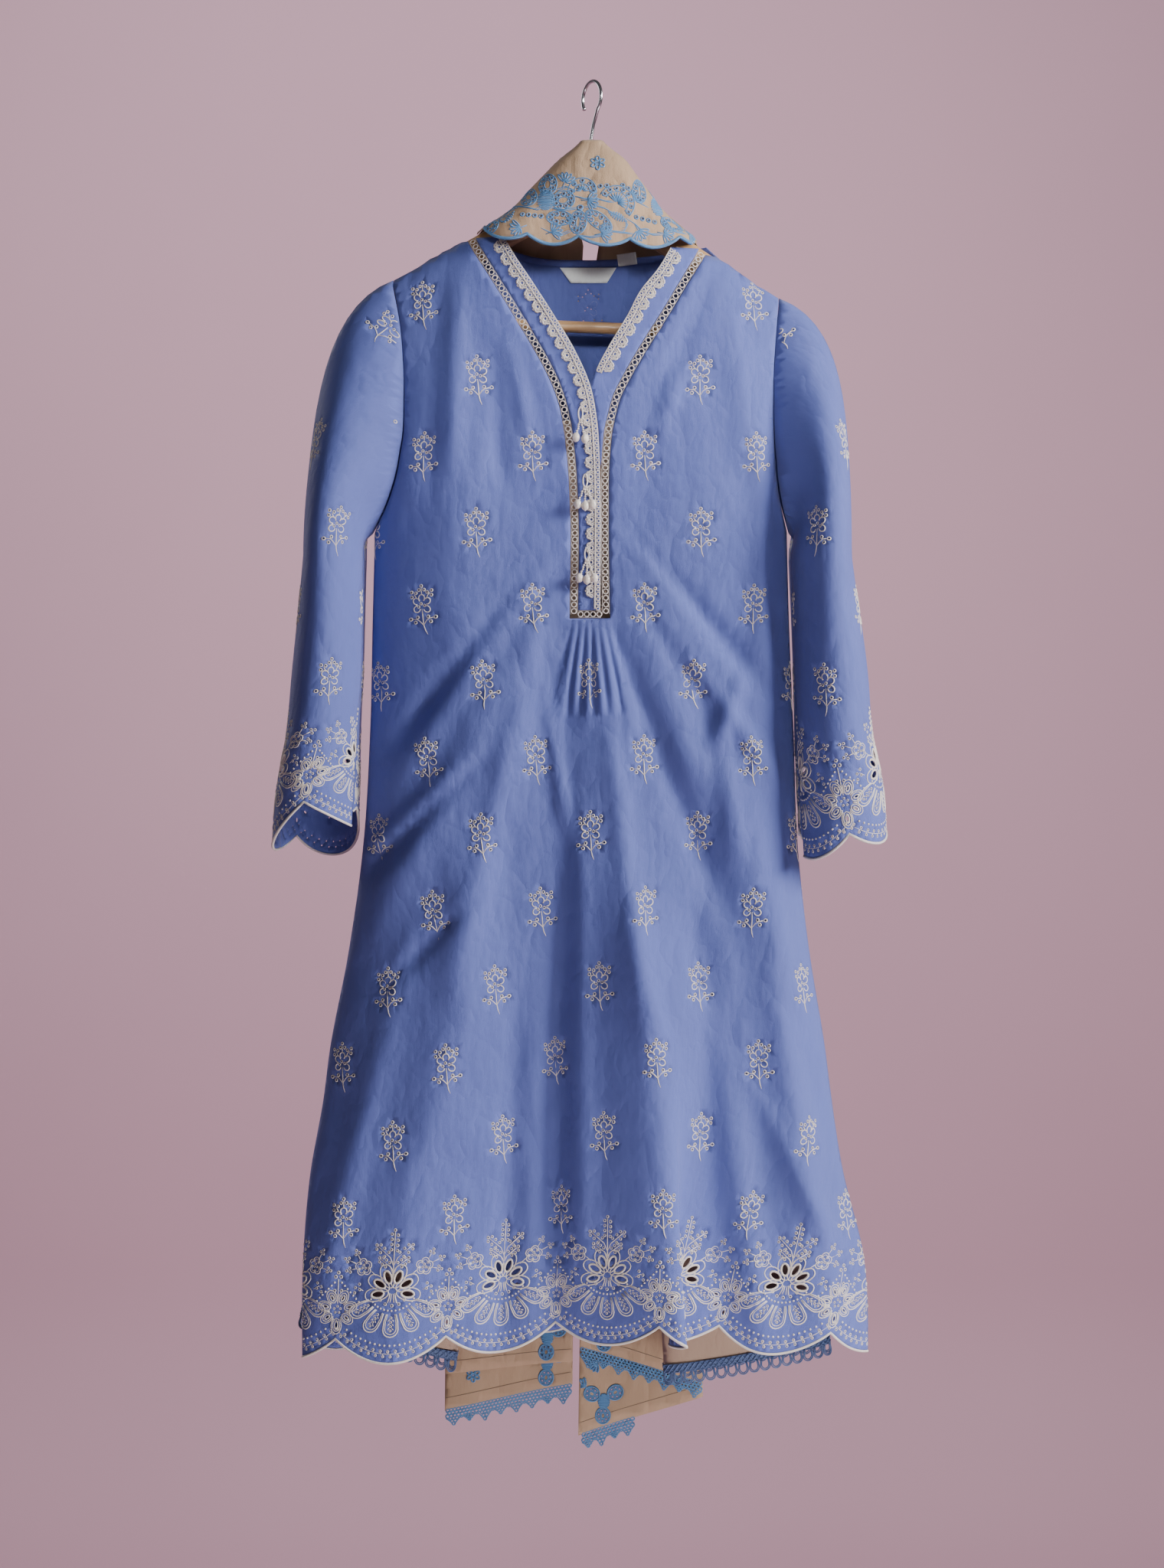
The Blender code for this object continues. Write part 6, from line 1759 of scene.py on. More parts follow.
def eyelet_fan(motif, turn, reach, rays, eyes):
    """A half flower: satin rays from one point, and eyelets round their ends."""
    for lean in np.radians(turn + np.linspace(-84, 84, rays)):
        s, c = math.sin(lean), math.cos(lean)
        motif.line([(far * s, far * c) for far in (1.0, 0.6 * reach, reach)], 2.1, taper=True)
    for lean in np.radians(turn + np.linspace(-92, 92, eyes)):
        motif.ring((reach + 3.4) * math.sin(lean), (reach + 3.4) * math.cos(lean), EYE)
    for far in (reach + 0.6, reach + 6.1):
        motif.line([(far * math.sin(a), far * math.cos(a))
                    for a in np.radians(turn + np.linspace(-100, 100, 21))], 1.2)


def filled_leaf(motif, turn, long, wide):
    """A satin leaf with slim curls under it."""
    s, c = turned(turn)

    def at(out, aside):
        return out * s + aside * c, out * c - aside * s

    points = []
    for k, out in enumerate(np.linspace(-long, long, int(long * 2))):
        reach = wide * (1 - abs(out / long) ** 1.7) * (1 if k % 2 else -1)
        points += [at(out, -reach), at(out + 0.3, 0), at(out + 0.6, reach)]
    motif.line(points, 1.1)
    for k in range(3):
        motif.line([at(long * 0.9, 0), at(long * 1.25, 2.2 + 1.7 * k), at(long * 1.2, 5.0 + 2.6 * k),
                    at(long * 0.9, 7.0 + 2.8 * k)], 0.9, taper=True)


EYE = 2.6
# The bib's band of flowers: a kind, its place across, its drop, and its own numbers.
BIB_BAND = (
    ("heart", -45, 122, 9.3, 7.6), ("loop", -43.5, 105.6, 7, 5.6, 0, 9), ("loop", -28, 122.5, 7, 5.6, 80, 9),
    ("loop", -62.6, 117.5, 6.4, 5.2, -60, 8), ("loop", -31.5, 140.5, 8.6, 3.5, 95, 10),
    ("eyes", -59, 137.5, 4, 5.4, 6), ("fan", -9.6, 113.5, 0, 6, 7, 5), ("fan", 24, 125.5, 38, 9.5, 11, 8),
    ("ring", -11.5, 130.5, 3.4), ("loop", -13.5, 145, 7.4, 4.4, 186, 9),
    ("loop", 6.5, 144, 10.6, 3.6, 128, 12), ("leaf", 24.5, 139.5, 116, 9, 3.4),
    ("loop", 46.5, 112, 8.4, 4.2, 2, 10), ("heart", 63.5, 127, 8.6, 7), ("loop", 60, 110.6, 4.4, 3.6, -30, 6),
    ("eyes", 52, 141.5, 4, 5.6, 12), ("loop", 79, 145, 8.6, 3.6, 106, 10), ("spray", 96, 152, 110),
    ("spray", 70, 155, 100), ("spray", -39, 154, 70), ("spray", -26.5, 104, 25), ("spray", -4, 123.5, 95),
    ("spray", 45, 153, 150), ("leaf", -81, 138, 215, 6.4, 2.8), ("loop", -98.5, 146.6, 4.6, 3.4, 60, 6),
    ("spray", -70, 150, 250), ("eyes", 35, 110, 3, 5.4, 30), ("ring", -77, 126.5, 2.6),
    ("eyes", 8, 108.5, 3, 5.4, -6), ("spray", 9, 157, 80),
)
# Satin stems that tie the band together, as places across and drops.
BIB_STEMS = (
    ((-92, 141), (-84, 131), (-74, 126), (-66, 128), (-55, 131), (-50, 128)),
    ((-40, 130), (-30, 132), (-20, 131), (-14.5, 130)),
    ((-8.5, 130), (2, 128), (12, 131), (19, 136), (26, 139)),
    ((-18, 118), (-8, 121), (4, 121), (14, 124), (20, 124)),
    ((33, 141), (41, 146), (47, 152), (58, 156), (70, 155)), ((-50, 150), (-42, 154), (-30, 156), (-22, 153)),
    ((36, 112), (40, 117), (45, 124), (54, 128)), ((-36, 112), (-26, 108), (-18, 112)),
    ((66, 135), (70, 140), (80, 152), (92, 153)),
    ((-12, 158), (-2, 160), (8, 158), (18, 154), (30, 155), (40, 156)),
)


def embroider_bib(stitches, hem, cloth):
    """Blue flowers, eyelet petals and leaves over the bib's lower half, and its bound edge."""
    stitches.rim([(a, d - 0.0009) for a, d in hem], 0.0036)
    leafy_flower(Motif(stitches, cloth.across_at(0.0056, 0.0838), 0.0838))
    for stem in BIB_STEMS:
        for shift in (0.0, 1.9):
            line = [(x + shift, d + shift * 0.6) for x, d in stem]
            xs, drops = (np.interp(np.linspace(0, len(line) - 1, 4 * len(line)), range(len(line)), v)
                         for v in zip(*line))
            stitches.thread([(cloth.across_at(x * MM, d * MM), d * MM) for x, d in zip(xs, drops)],
                            1.4 * MM, taper=True)
    for kind, x, drop, *rest in BIB_BAND:
        motif = Motif(stitches, cloth.across_at(x * MM, drop * MM), drop * MM, scale=1.14)
        if kind == "heart":
            filled_heart(motif, 0, 0, *rest)
        elif kind == "loop":
            eyelet_loop(motif, 0, 0, *rest)
        elif kind == "fan":
            eyelet_fan(motif, *rest)
        elif kind == "leaf":
            filled_leaf(motif, *rest)
        elif kind == "ring":
            motif.ring(0, 0, rest[0])
        elif kind == "spray":
            spray(motif, 0, 0, rest[0], 6)
        else:
            count, pitch, turn = rest
            s, c = turned(turn)
            for k in range(count):
                out = (k - (count - 1) / 2) * pitch
                motif.ring(out * c, -out * s, EYE)


def embroider_tail(stitches, hand, width, outer_hem, inner_hem):
    """Small flowers over the tail, and the floral border up its inner edge."""
    side = 1 if hand == "left" else -1
    slope = (inner_hem - outer_hem) / width
    for k in range(8):
        for j in range(2):
            a = width * (0.22 + 0.30 * j + 0.08 * (k % 2))
            drop = outer_hem + slope * a - 0.030 - 0.105 * k - 0.022 * j
            if drop > 0.80:
                leafy_flower(Motif(stitches, a, drop), 7.0, 1.5)
    for k in range(13):
        a = width - 0.026 - 0.009 * (k % 2)
        drop = outer_hem + slope * a - 0.026 - 0.044 * k
        if drop < 1.02:
            break
        motif = Motif(stitches, a, drop, side if k % 2 else -side)
        if k % 2:
            eyelet_fan(motif, 20, 7.5, 9, 7)
            spray(motif, -16, -8, 230)
        else:
            filled_heart(motif, 0, 0, 7.4, 6.0)
            for lean in (-52, 58, 176):
                s, c = turned(lean)
                eyelet_loop(motif, 14.6 * s, 14.6 * c, 5.4, 4.6, lean, 7)
        spray(motif, 19, 15, 60)


# ---------------------------------------------------------------- kameez
def petal_holes(phase, low, left, right, clear):
    """The six large petal-shaped holes of each medallion that fits between two edges."""
    holes = []
    for across in repeats(phase, left, right, 0):
        centre = np.array([across, low - MEDALLION_UP])
        for petal in range(6):
            s, c = turned(PETAL_STEP * (petal - 2.5))
            away = np.array([s, -c])
            aside = np.array([-away[1], away[0]])
            middle = centre + away * PETAL_OUT
            hole = [middle + away * PETAL_LONG * math.cos(t) + aside * PETAL_WIDE * math.sin(t)
                    for t in np.arange(PETAL_PARTS) * math.tau / PETAL_PARTS]
            if left + clear < min(p[0] for p in hole) and max(p[0] for p in hole) < right - clear:
                holes.append(np.array(hole))
    return holes


def cut_and_hang(name, material, slot, cloth, outline, holes=(), spacing=(0.006, 0.009), more=None, **wall):
    """A sheet of cloth, cut flat and hung in its node's place, with the cut that it came from."""
    flat, faces = cut(outline, holes, spacing, more)
    return settle(hang(name + "_cloth", material, cloth, flat, faces, **wall), slot, name), flat, faces


def make_panel(name, rests_on, cloth, outline, phase, low, sprigs, way=1, clear=0.012, more=None):
    """One panel of the kameez with its cut work and its embroidery."""
    left, right = hem_edges(cloth, low)
    stitches = Stitches(outline)
    embroider(stitches, phase, low, left, right, sprigs, way)
    stitches.clip()
    holes = petal_holes(phase, low, left, right, clear) + stitches.holes
    sheet = cut_and_hang(name, "kameez_cotton", "periwinkle_cloth", cloth, outline, holes, more=more)
    behind = name.endswith("back")
    work = settle(stitches.lay(name + "_embroidery", cloth, "embroidery_thread", sides=3 if behind else 4,
                               fine=6 if behind else 8), "ivory_crochet")
    declare_sheet(*sheet, "hung", [rests_on], [work])


def make_kameez():
    """The front, creased finely where it is gathered under the neck, and the back."""
    front, back = front_cloth(), back_cloth()
    gathered = np.array([(x, d) for d in np.arange(0.5345, 0.625, 0.004)
                         for x in np.arange(-0.030, 0.034, 0.0013)])
    make_panel("kameez_front", "hanger_arms", front,
               kameez_outline(front, FRONT_PHASE, front_neck(), 0.124, -0.130),
               FRONT_PHASE, HEM_DROP, sprig_places(13, REPEAT / 2), more=gathered)
    make_panel("kameez_back", "hanger_arms", back,
               kameez_outline(back, BACK_PHASE, back_neck(back), 0.128, -0.132),
               BACK_PHASE, HEM_DROP, sprig_places(13, REPEAT))


def make_sleeve(hand, sections, armhole):
    """Both halves of a sleeve; the back half's pattern runs on from the front's at the outer line."""
    sleeve = Sleeve(sections, armhole, -1.0 if hand == "left" else 1.0)
    for face, way in (("front", 1), ("back", -1)):
        half = sleeve.halves[face]
        make_panel(f"sleeve_{hand}_{face}", f"kameez_{face}", half, sleeve_outline(half, face),
                   way * CUFF_PHASE, CUFF_DROP, sprig_places(6, CUFF_PHASE, way, False), way, clear=0.004)


# ---------------------------------------------------------------- neck
def strip(outer, inner):
    """A closed outline between two lines that run the same way."""
    return np.array(list(outer) + list(inner)[::-1])


def make_neck(cloth):
    """Openwork insertion with its two edge threads, and the plain bands inside it."""
    half = INSERTION / 2
    foot_top = NECK_FOOT - INSERTION
    inner_gap = half + SEAM
    band_foot = foot_top - SEAM
    outer = offset_line(INSERTION_LEFT, inner_gap, 0.1575, band_foot, 0.004)
    inner = offset_line(NECK_LEFT, 0.0, 0.1552, band_foot, 0.004)
    bands = [("neck_band_left", strip(outer, inner))]
    outer = offset_line(INSERTION_RIGHT, -inner_gap, 0.1680, 0.3900, 0.004)
    gap_line = offset_line(NECK_LEFT, SEAM, 0.3040, 0.3960, 0.004)
    inner = offset_line(NECK_RIGHT, 0.0, 0.1660, 0.3022, 0.004)
    crossing = [p for p in gap_line if p[0] < along(INSERTION_RIGHT, "x", p[1]) - inner_gap - 0.0006]
    outer = [p for p in outer if p[0] > along(NECK_LEFT, "x", p[1]) + 0.0012]
    bands.append(("neck_band_right", np.array(outer + crossing[::-1] + inner[::-1][1:])))
    for name, outline in bands:
        band = cut_and_hang(name, "kameez_cotton", "periwinkle_cloth", cloth, outline, spacing=(0.004, 0.006))
        declare_sheet(*band, "hung", ["kameez_front"])
    for hand, line in (("left", INSERTION_LEFT), ("right", INSERTION_RIGHT)):
        top = float(shoulder(line["x"][0])) + 0.0026
        centre = offset_line(line, 0.0, top, NECK_FOOT - half, 0.0015)
        make_insertion(cloth, f"insertion_{hand}", centre)
    left = along(INSERTION_LEFT, "x", 0.5247)
    right = along(INSERTION_RIGHT, "x", 0.5247)
    foot = [(x, NECK_FOOT - half) for x in np.linspace(left + 0.0035, right - 0.0035, 20)]
    make_insertion(cloth, "insertion_foot", foot)


def make_insertion(cloth, name, centre):
    """A row of rings held between two threads, with the dark inside showing through."""
    centre = np.asarray(centre, float)
    lengths = lengths_along(centre)
    tangent = np.gradient(centre, lengths, axis=0)
    aside = np.stack([tangent[:, 1], -tangent[:, 0]], axis=1)
    count = max(1, int(round(lengths[-1] / sizes().ring_pitch)))
    at = (np.arange(count) + 0.5) * lengths[-1] / count
    rings = np.stack([np.interp(at, lengths, centre[:, k]) for k in range(2)], axis=1)
    places, across, down, out = frames(cloth, rings, SHELL * 0.6)
    size = np.full((count, 3), sizes().ring_pitch * 0.472)
    chain = lay_rings(name + "_chain", places, turns_of(across, out), size, "crochet_cord", 0.80, 0.19, 12, 5)
    lines = []
    edge = INSERTION / 2 - 0.0006
    for side in (-1, 1):
        lines.append(on_line(cloth, centre[::2] + side * aside[::2] * edge, SHELL * 0.7, 0.00022))
    threads = lay_threads(name + "_threads", lines, "crochet_cord", 6)
    return settle(joined(name + "_work", [chain, threads]), "ivory_crochet", name)


def make_trim(cloth, name, line, side, top, foot):
    """Crochet trim: a ring chain on the neck edge, a twisted cord and a fan for each picot."""
    dense = np.array(offset_line(line, 0.0, top, foot, 0.001))
    lengths = lengths_along(dense)
    tangents = np.gradient(dense, lengths, axis=0)
    aside = np.stack([tangents[:, 1], -tangents[:, 0]], axis=1) * side
    total = lengths[-1]

    def at(length, out):
        return [np.interp(length, lengths, dense[:, k] + aside[:, k] * out) for k in range(2)]

    lift = WALL + SEAM + 0.0005
    chain_out, chain_step, chain_ring = 0.0022, 0.0048, 0.0023
    cord_out, cord_half, cord_swing, half_lay = 0.0053, 0.00055, 0.00055, 0.0028
    lines = []

    def lay(points, half, closed=False, more=0.0):
        lines.append(on_line(cloth, points, lift + more, half, closed))

    chain = np.array([at(s, chain_out) for s in np.arange(chain_step / 2, total, chain_step)])
    places, across, down, out = frames(cloth, chain, lift)
    rings = lay_rings(name + "_chain", places, turns_of(across, out), np.full((len(chain), 3), chain_ring),
                      "crochet_cord", 0.70, 0.30, 10, 5)
    steps = np.arange(0, total, 0.0007)
    for turn in range(3):
        twist = steps / half_lay * math.pi + turn * math.tau / 3
        lay([at(s, cord_out + cord_swing * math.sin(t)) for s, t in zip(steps, twist)], cord_half,
            more=0.0004 * np.cos(twist))
    lay([at(s, 0.0004) for s in steps[::2]], 0.0005)
    pitch = sizes().picot_pitch
    stretch = pitch / PICOT_DRAWN
    for k in range(int(total / pitch)):
        middle = (k + 0.5) * pitch

        def fan(points):
            return [at(middle + u * MM * stretch, v * MM) for u, v in points]

        ring = [(2.0 * math.cos(t), 9.4 + 2.0 * math.sin(t)) for t in np.arange(12) * math.tau / 12]
        lay(fan(ring), 0.0007, closed=True)
        arch = [(6.4 * math.cos(t), 7.2 + (5.2 + 1.9 * abs(math.sin(3 * t + 1.57)) ** 3) * math.sin(t))
                for t in np.linspace(0.05, math.pi - 0.05, 26)]
        lay(fan(arch), 0.0009)
        inner = [(4.2 * math.cos(t), 7.0 + 5.0 * math.sin(t)) for t in np.linspace(0.0, math.pi, 14)]
        lay(fan(inner), 0.0006)
        for turn in (-56, -28, 0, 28, 56):
            s, c = turned(turn)
            lay(fan([(1.6 * s, 8.6 + 1.6 * c), (5.2 * s, 8.0 + 4.6 * c)]), 0.0004)
        for u in (-5.6, -3.2, 3.2, 5.6):
            lay(fan([(u, 5.4), (u * 0.86, 8.2)]), 0.00045)
        for point in (-1, 0, 1):
            tip = (point * 4.3, 13.9 - 1.9 * abs(point))
            lay(fan([(tip[0] + 0.9 * math.cos(t), tip[1] + 0.9 * math.sin(t)) for t in
                     np.arange(7) * math.tau / 7]), 0.00045, closed=True)
    threads = lay_threads(name + "_threads", lines, "crochet_cord", 4)
    return settle(joined(name + "_work", [rings, threads]), "ivory_crochet", name)


def make_back_neck(cloth):
    """The facing inside the back neck, the blank label under it and the blank tab on it."""
    xs = np.linspace(-0.080, 0.082, 60)
    edge = along(BACK_NECK, "drop", xs)
    gap = SEAM
    rim = list(zip(xs, edge + gap)) + list(zip(xs[::-1], edge[::-1] + gap + FACING))
    facing = np.array(on_cloth(cloth, rim))
    # The facing's cotton is painted lighter than the kameez's, as painted light for the shade inside the
    # neck.
    inner = -(2 * gap + 0.0008)
    sheet = cut_and_hang("back_neck_facing", "facing_cotton_painted_lighter", "periwinkle_cloth", cloth, facing,
                         spacing=(0.004, 0.003), lift=inner, thickness=0.0006)
    declare_sheet(*sheet, "hung", ["kameez_back"])
    for name, corners, lift in (
            ("label", [(-0.0322, 0.1776), (0.0248, 0.1776), (0.0150, 0.1930), (-0.0210, 0.1930)], inner),
            ("size_tab", [(0.0250, 0.1650), (0.0440, 0.1625), (0.0457, 0.1745), (0.0268, 0.1770)],
             inner - gap - 0.0012)):
        shape = resample(np.array(on_cloth(cloth, corners + corners[:1])), 0.0015)[:-1]
        flat, faces = cut(shape, spacing=(0.002, 0.002))
        tape = hang(name + "_tape", "satin_label", cloth, flat, faces, lift, 0.0005)
        middle = shape.mean(axis=0)
        sewn_line = middle + (shape - middle) * (0.94, 0.90)
        lines = [on_line(cloth, sewn_line, lift + 0.0006, 0.00018, True)]
        sewn = lay_threads(name + "_sewing", lines, "satin_label", 4)
        settle(sewn, "label_tape")
        declare_sheet(settle(tape, "label_tape", name), flat, faces, "hung", ["kameez_back"], [sewn])


def make_tassel(cloth, index, drop, x, strands):
    """A pearl tassel: a doubled cord loop, strings of seed beads, and large drop pearls."""
    lift = WALL + 2 * SEAM + 0.0028
    top = np.array(cloth.place([(x, drop)], lift)[0])
    name = f"tassel_{index}"
    head = 0.0125
    loop = [top + np.array([0.0021 * math.sin(t), -0.0006 - 0.001 * (1 - math.cos(t)),
                            -head / 2 + head / 2 * math.cos(t)]) for t in np.arange(18) * math.tau / 18]
    lines = [(np.array(loop), 0.00075, True)]
    seeds, seed_sizes, pearls = [], [], []
    for k in range(strands):
        lean = (k - (strands - 1) / 2) * (0.0108 if strands == 2 else 0.0090)
        length = 0.0215 + 0.002 * (k % 2)
        start = top + np.array([lean * 0.08, -0.0014, -head + 0.0006])
        end = top + np.array([lean, -0.0042 - 0.0006 * (k % 2), -head - length])
        for j in range(6):
            share = (j + 0.5) / 6 * 0.56
            seeds.append(start + (end - start) * share + np.array([0.0004 * math.sin(j * 2.1 + k), 0, 0]))
            seed_sizes.append(SEED)
        seeds += [start + (end - start) * 0.985, start + (end - start) * 0.60]
        seed_sizes += [END_SEED, CAP_SEED]
        pearls.append(start + (end - start) * 0.80)
        lines.append((np.array([start, end]), 0.0003, False))
    parts = [set_beads(name + "_pearls", pearls, [PEARL] * strands, "pearl_bead", fineness=4),
             set_beads(name + "_seeds", seeds, seed_sizes, "pearl_bead"),
             lay_threads(name + "_cord", lines, "crochet_cord", 6)]
    return settle(joined(name + "_work", parts), "pearl", name)


# ---------------------------------------------------------------- trousers
def make_trouser_panel(hand, rows, face):
    word = "front" if face < 0 else "back"
    cloth = leg_cloth(face, rows)
    top, hem = WAIST_FOOT + 2 * SEAM, LEG_HEM[hand]
    drops = np.linspace(top, hem, 120)
    outer = [(INSET, d) for d in drops]
    inner = [(cloth.edge(d, True) - INSET, d) for d in drops]
    hem_row = [(a, hem) for a in np.linspace(0, inner[-1][0], 30)[1:-1]]
    top_row = [(a, top) for a in np.linspace(inner[0][0], 0, 24)[1:-1]]
    sheet = cut_and_hang(f"trouser_{word}_{hand}", "trouser_cotton", "cream_cloth", cloth,
                         outer + hem_row + inner[::-1] + top_row, spacing=(0.009, 0.014))
    lace = make_loop_lace(f"trouser_lace_{hand}_{word}", cloth, hem)
    declare_sheet(*sheet, "hung", ["trouser_waistband"], [lace])


def make_loop_lace(name, cloth, hem):
    """A lattice braid on the hem with doubled cord loops under it."""
    width = cloth.edge(hem, True)
    start, end = 0.0024, width - 0.0024
    count = int((end - start) / sizes().loop_pitch)
    pitch = (end - start) / count
    lift = WALL + 0.0009
    tape = [(a, hem - BRAID) for a in np.linspace(start, end, 40)]
    tape += [(a, hem + 0.0004) for a in np.linspace(end, start, 40)]
    flat, faces = cut(tape, spacing=(0.004, 0.004))
    tape_piece = hang(name + "_tape", "slate_thread", cloth, flat, faces, WALL + SEAM, 0.0006)
    solid = tape_piece.evaluated_get(bpy.context.evaluated_depsgraph_get())
    mesh = bpy.data.meshes.new_from_object(solid)
    tape_piece.modifiers.clear()
    tape_piece.data = mesh
    lines = []
    diamonds = int((end - start) / (BRAID * 0.62))
    step = (end - start) / diamonds
    for k in range(-1, diamonds):
        for lean in (-1, 1):
            ends = [(start + (k + 0.5 + lean * (u - 0.5) * 1.4) * step + step / 2, hem - BRAID + BRAID * u)
                    for u in np.linspace(0.04, 0.96, 6)]
            ends = [p for p in ends if start <= p[0] <= end]
            if len(ends) > 1:
                lines.append(on_line(cloth, ends, lift + 0.0003 + 0.0002 * lean, 0.00065))
    for d in (hem - BRAID + 0.0004, hem - 0.0004):
        row = [(start + (end - start) * s, d) for s in np.linspace(0, 1, 90)]
        lines.append(on_line(cloth, row, lift, 0.0006))
    for k in range(count):
        middle = start + (k + 0.5) * pitch
        for gap in (0.0, 0.0013):
            half, low = pitch * 0.455 - gap, LOOP_HEIGHT - gap * 1.2 - 0.0008
            loop = [(middle - half * 0.75, hem - 0.001), (middle - half * 0.88, hem + low * 0.25)]
            loop += [(middle - half * math.cos(t), hem + low * 0.55 + low * 0.45 * math.sin(t))
                     for t in np.linspace(0, math.pi, 11)]
            loop += [(middle + half * 0.88, hem + low * 0.25), (middle + half * 0.75, hem - 0.001)]
            lines.append(on_line(cloth, loop, lift, 0.0007))
    threads = lay_threads(name + "_cords", lines, "slate_thread", 6)
    return settle(joined(name + "_work", [tape_piece, threads]), "slate_braid", name)


def make_waist():
    """The gathered elastic waistband and the two tapes that hang it from the bar."""
    left, right = LEG_LEFT["outer"][0], LEG_RIGHT["outer"][0]
    count, rows = 220, []
    for drop in np.linspace(WAIST_TOP, WAIST_FOOT, 12):
        swell = math.sin((drop - WAIST_TOP) / (WAIST_FOOT - WAIST_TOP) * math.pi)
        ring = []
        for t in np.arange(count) * math.tau / count:
            gather = 0.0007 * swell * math.sin(t * 55)
            ring.append(((left + right) / 2 + ((right - left) / 2 + gather) * math.cos(t),
                         (WAIST_DEPTH + gather) * math.sin(t), -drop))
        rows.append(ring)
    points = [p for row in rows for p in row]
    faces = [f[::-1] for f in grid_faces(len(rows), count)]
    band = add_mesh("trouser_waistband_cloth", points, faces, "trouser_cotton")
    lengths = np.arange(count) * (2 * (right - left) / count)
    lay_flat_map(band, [(lengths[k], -p[2]) for _ in rows for k, p in zip(range(count), _)])
    solidify(band, 0.0016)
    settle(band, "cream_cloth", "trouser_waistband")
    around = sum(math.dist(a, b) for a, b in zip(rows[0], rows[0][1:] + rows[0][:1]))
    radius = BAR_RADIUS + SEAM
    for hand, x in (("left", -0.120), ("right", 0.112)):
        bar_drop = float(np.interp(x, *zip(*[tilted(t, BAR_DROP) for t in (-0.2, 0.2)])))
        over = [(radius * math.cos(t), -bar_drop + radius * math.sin(t)) for t in np.linspace(math.pi, 0, 15)]
        foot = -WAIST_TOP + SEAM
        hole_shade = WAIST_DEPTH * math.sqrt(1 - ((x - (left + right) / 2) / ((right - left) / 2)) ** 2)
        line = resample([(-hole_shade, foot)] + over + [(hole_shade, foot)], TAPE_STEP)
        n = len(line)
        points = [(x + w, y, z) for w in np.linspace(-TAPE_WIDTH / 2, TAPE_WIDTH / 2, 5) for y, z in line]
        faces = turned_over(grid_faces(5, n, closed=False))
        tape = add_mesh(f"hanging_tape_{hand}_cloth", points, faces, "trouser_cotton")
        lay_flat_map(tape, [(w, k * TAPE_STEP) for w in np.linspace(0, TAPE_WIDTH, 5) for k in range(n)])
        solidify(tape, 0.0008)
        settle(tape, "cream_cloth", f"hanging_tape_{hand}")


# ---------------------------------------------------------------- dupatta
def make_bib(cloth):
    """The stretch in front of the hanger's neck, with its blue satin-stitched edge."""
    def low(across):
        return float(along(BIB_HEM, "drop", across)) + BIB_SCALLOP / 2

    start, foot = 0.058, 0.1500
    drops = np.linspace(start, foot, 40)
    left = [(cloth.edge(start) * s, start) for s in (-0.6, 0.0, 0.6)]
    left += [(cloth.edge(d) + INSET, d) for d in drops]
    right = [(cloth.edge(d, True) - INSET, d) for d in np.linspace(start, 0.157, 40)]
    hem = scallops(-0.1155, 0.1060, BIB_PHASE, low, BIB_SCALLOP, BIB_PITCH, parts=20)[1:-1]
    outline = np.array(left + hem + right[::-1])
    stitches = Stitches(outline)
    embroider_bib(stitches, hem, cloth)
    stitches.clip()
    sheet = cut_and_hang("dupatta_front", "dupatta_cotton", "cream_cloth", cloth, outline, stitches.holes,
                         (0.004, 0.005))
    # The slate rings inside the eyelets are painted shade for their holes.
    work = stitches.lay("dupatta_front_embroidery", cloth, "sky_thread", hole_shade="slate_thread")
    settle(work, "sky_lace")
    declare_sheet(*sheet, "draped", ["hanger_arms"], [work])


def make_tail(hand, rows, layer):
    """One layer of a tail, its blue border, and its lace where the layer has one."""
    cloth = tail_cloth(rows, hand, layer)
    top = 0.0630 if layer == "far" else LAYER_TOP
    outer_hem, inner_hem = TAIL_HEMS[hand, layer]
    outer = [(INSET, d) for d in np.linspace(top, outer_hem, 110)]
    width = cloth.edge(inner_hem, True) - INSET
    inner = [(cloth.edge(d, True) - INSET, d) for d in np.linspace(top, inner_hem, 110)]
    hem = [(s * width, outer_hem + (inner_hem - outer_hem) * s) for s in np.linspace(0, 1, 24)[1:-1]]
    outline = np.array(outer + hem + inner[::-1])
    name = f"dupatta_tail_{hand}_{layer}"
    stitches = Stitches(outline)
    embroider_tail(stitches, hand, width, outer_hem, inner_hem)
    stitches.clip()
    sheet = cut_and_hang(name, "dupatta_cotton", "cream_cloth", cloth, outline, stitches.holes,
                         (0.007, 0.010))
    extras = []
    if len(stitches.rings) or stitches.threads:
        # The slate rings inside the eyelets are painted shade for their holes.
        work = stitches.lay(name + "_embroidery", cloth, "sky_thread", -0.0003, hole_shade="slate_thread")
        extras.append(settle(work, "sky_lace"))
    sewn = [(s * width, outer_hem + (inner_hem - outer_hem) * s - 0.0125)
            for s in np.linspace(0.01, 0.99, 60)]
    stitch = lay_threads(name + "_hem_stitch", [on_line(cloth, sewn, -0.0001, 0.0004)], "tan_thread", 4)
    extras.append(settle(stitch, "cream_cloth"))
    if (hand, layer) in (("left", "far"), ("right", "near"), ("right", "far")):
        extras.append(make_dupatta_lace(hand, layer, cloth, width, outer_hem, inner_hem))
    declare_sheet(*sheet, "hung", ["hanger_arms"], extras)


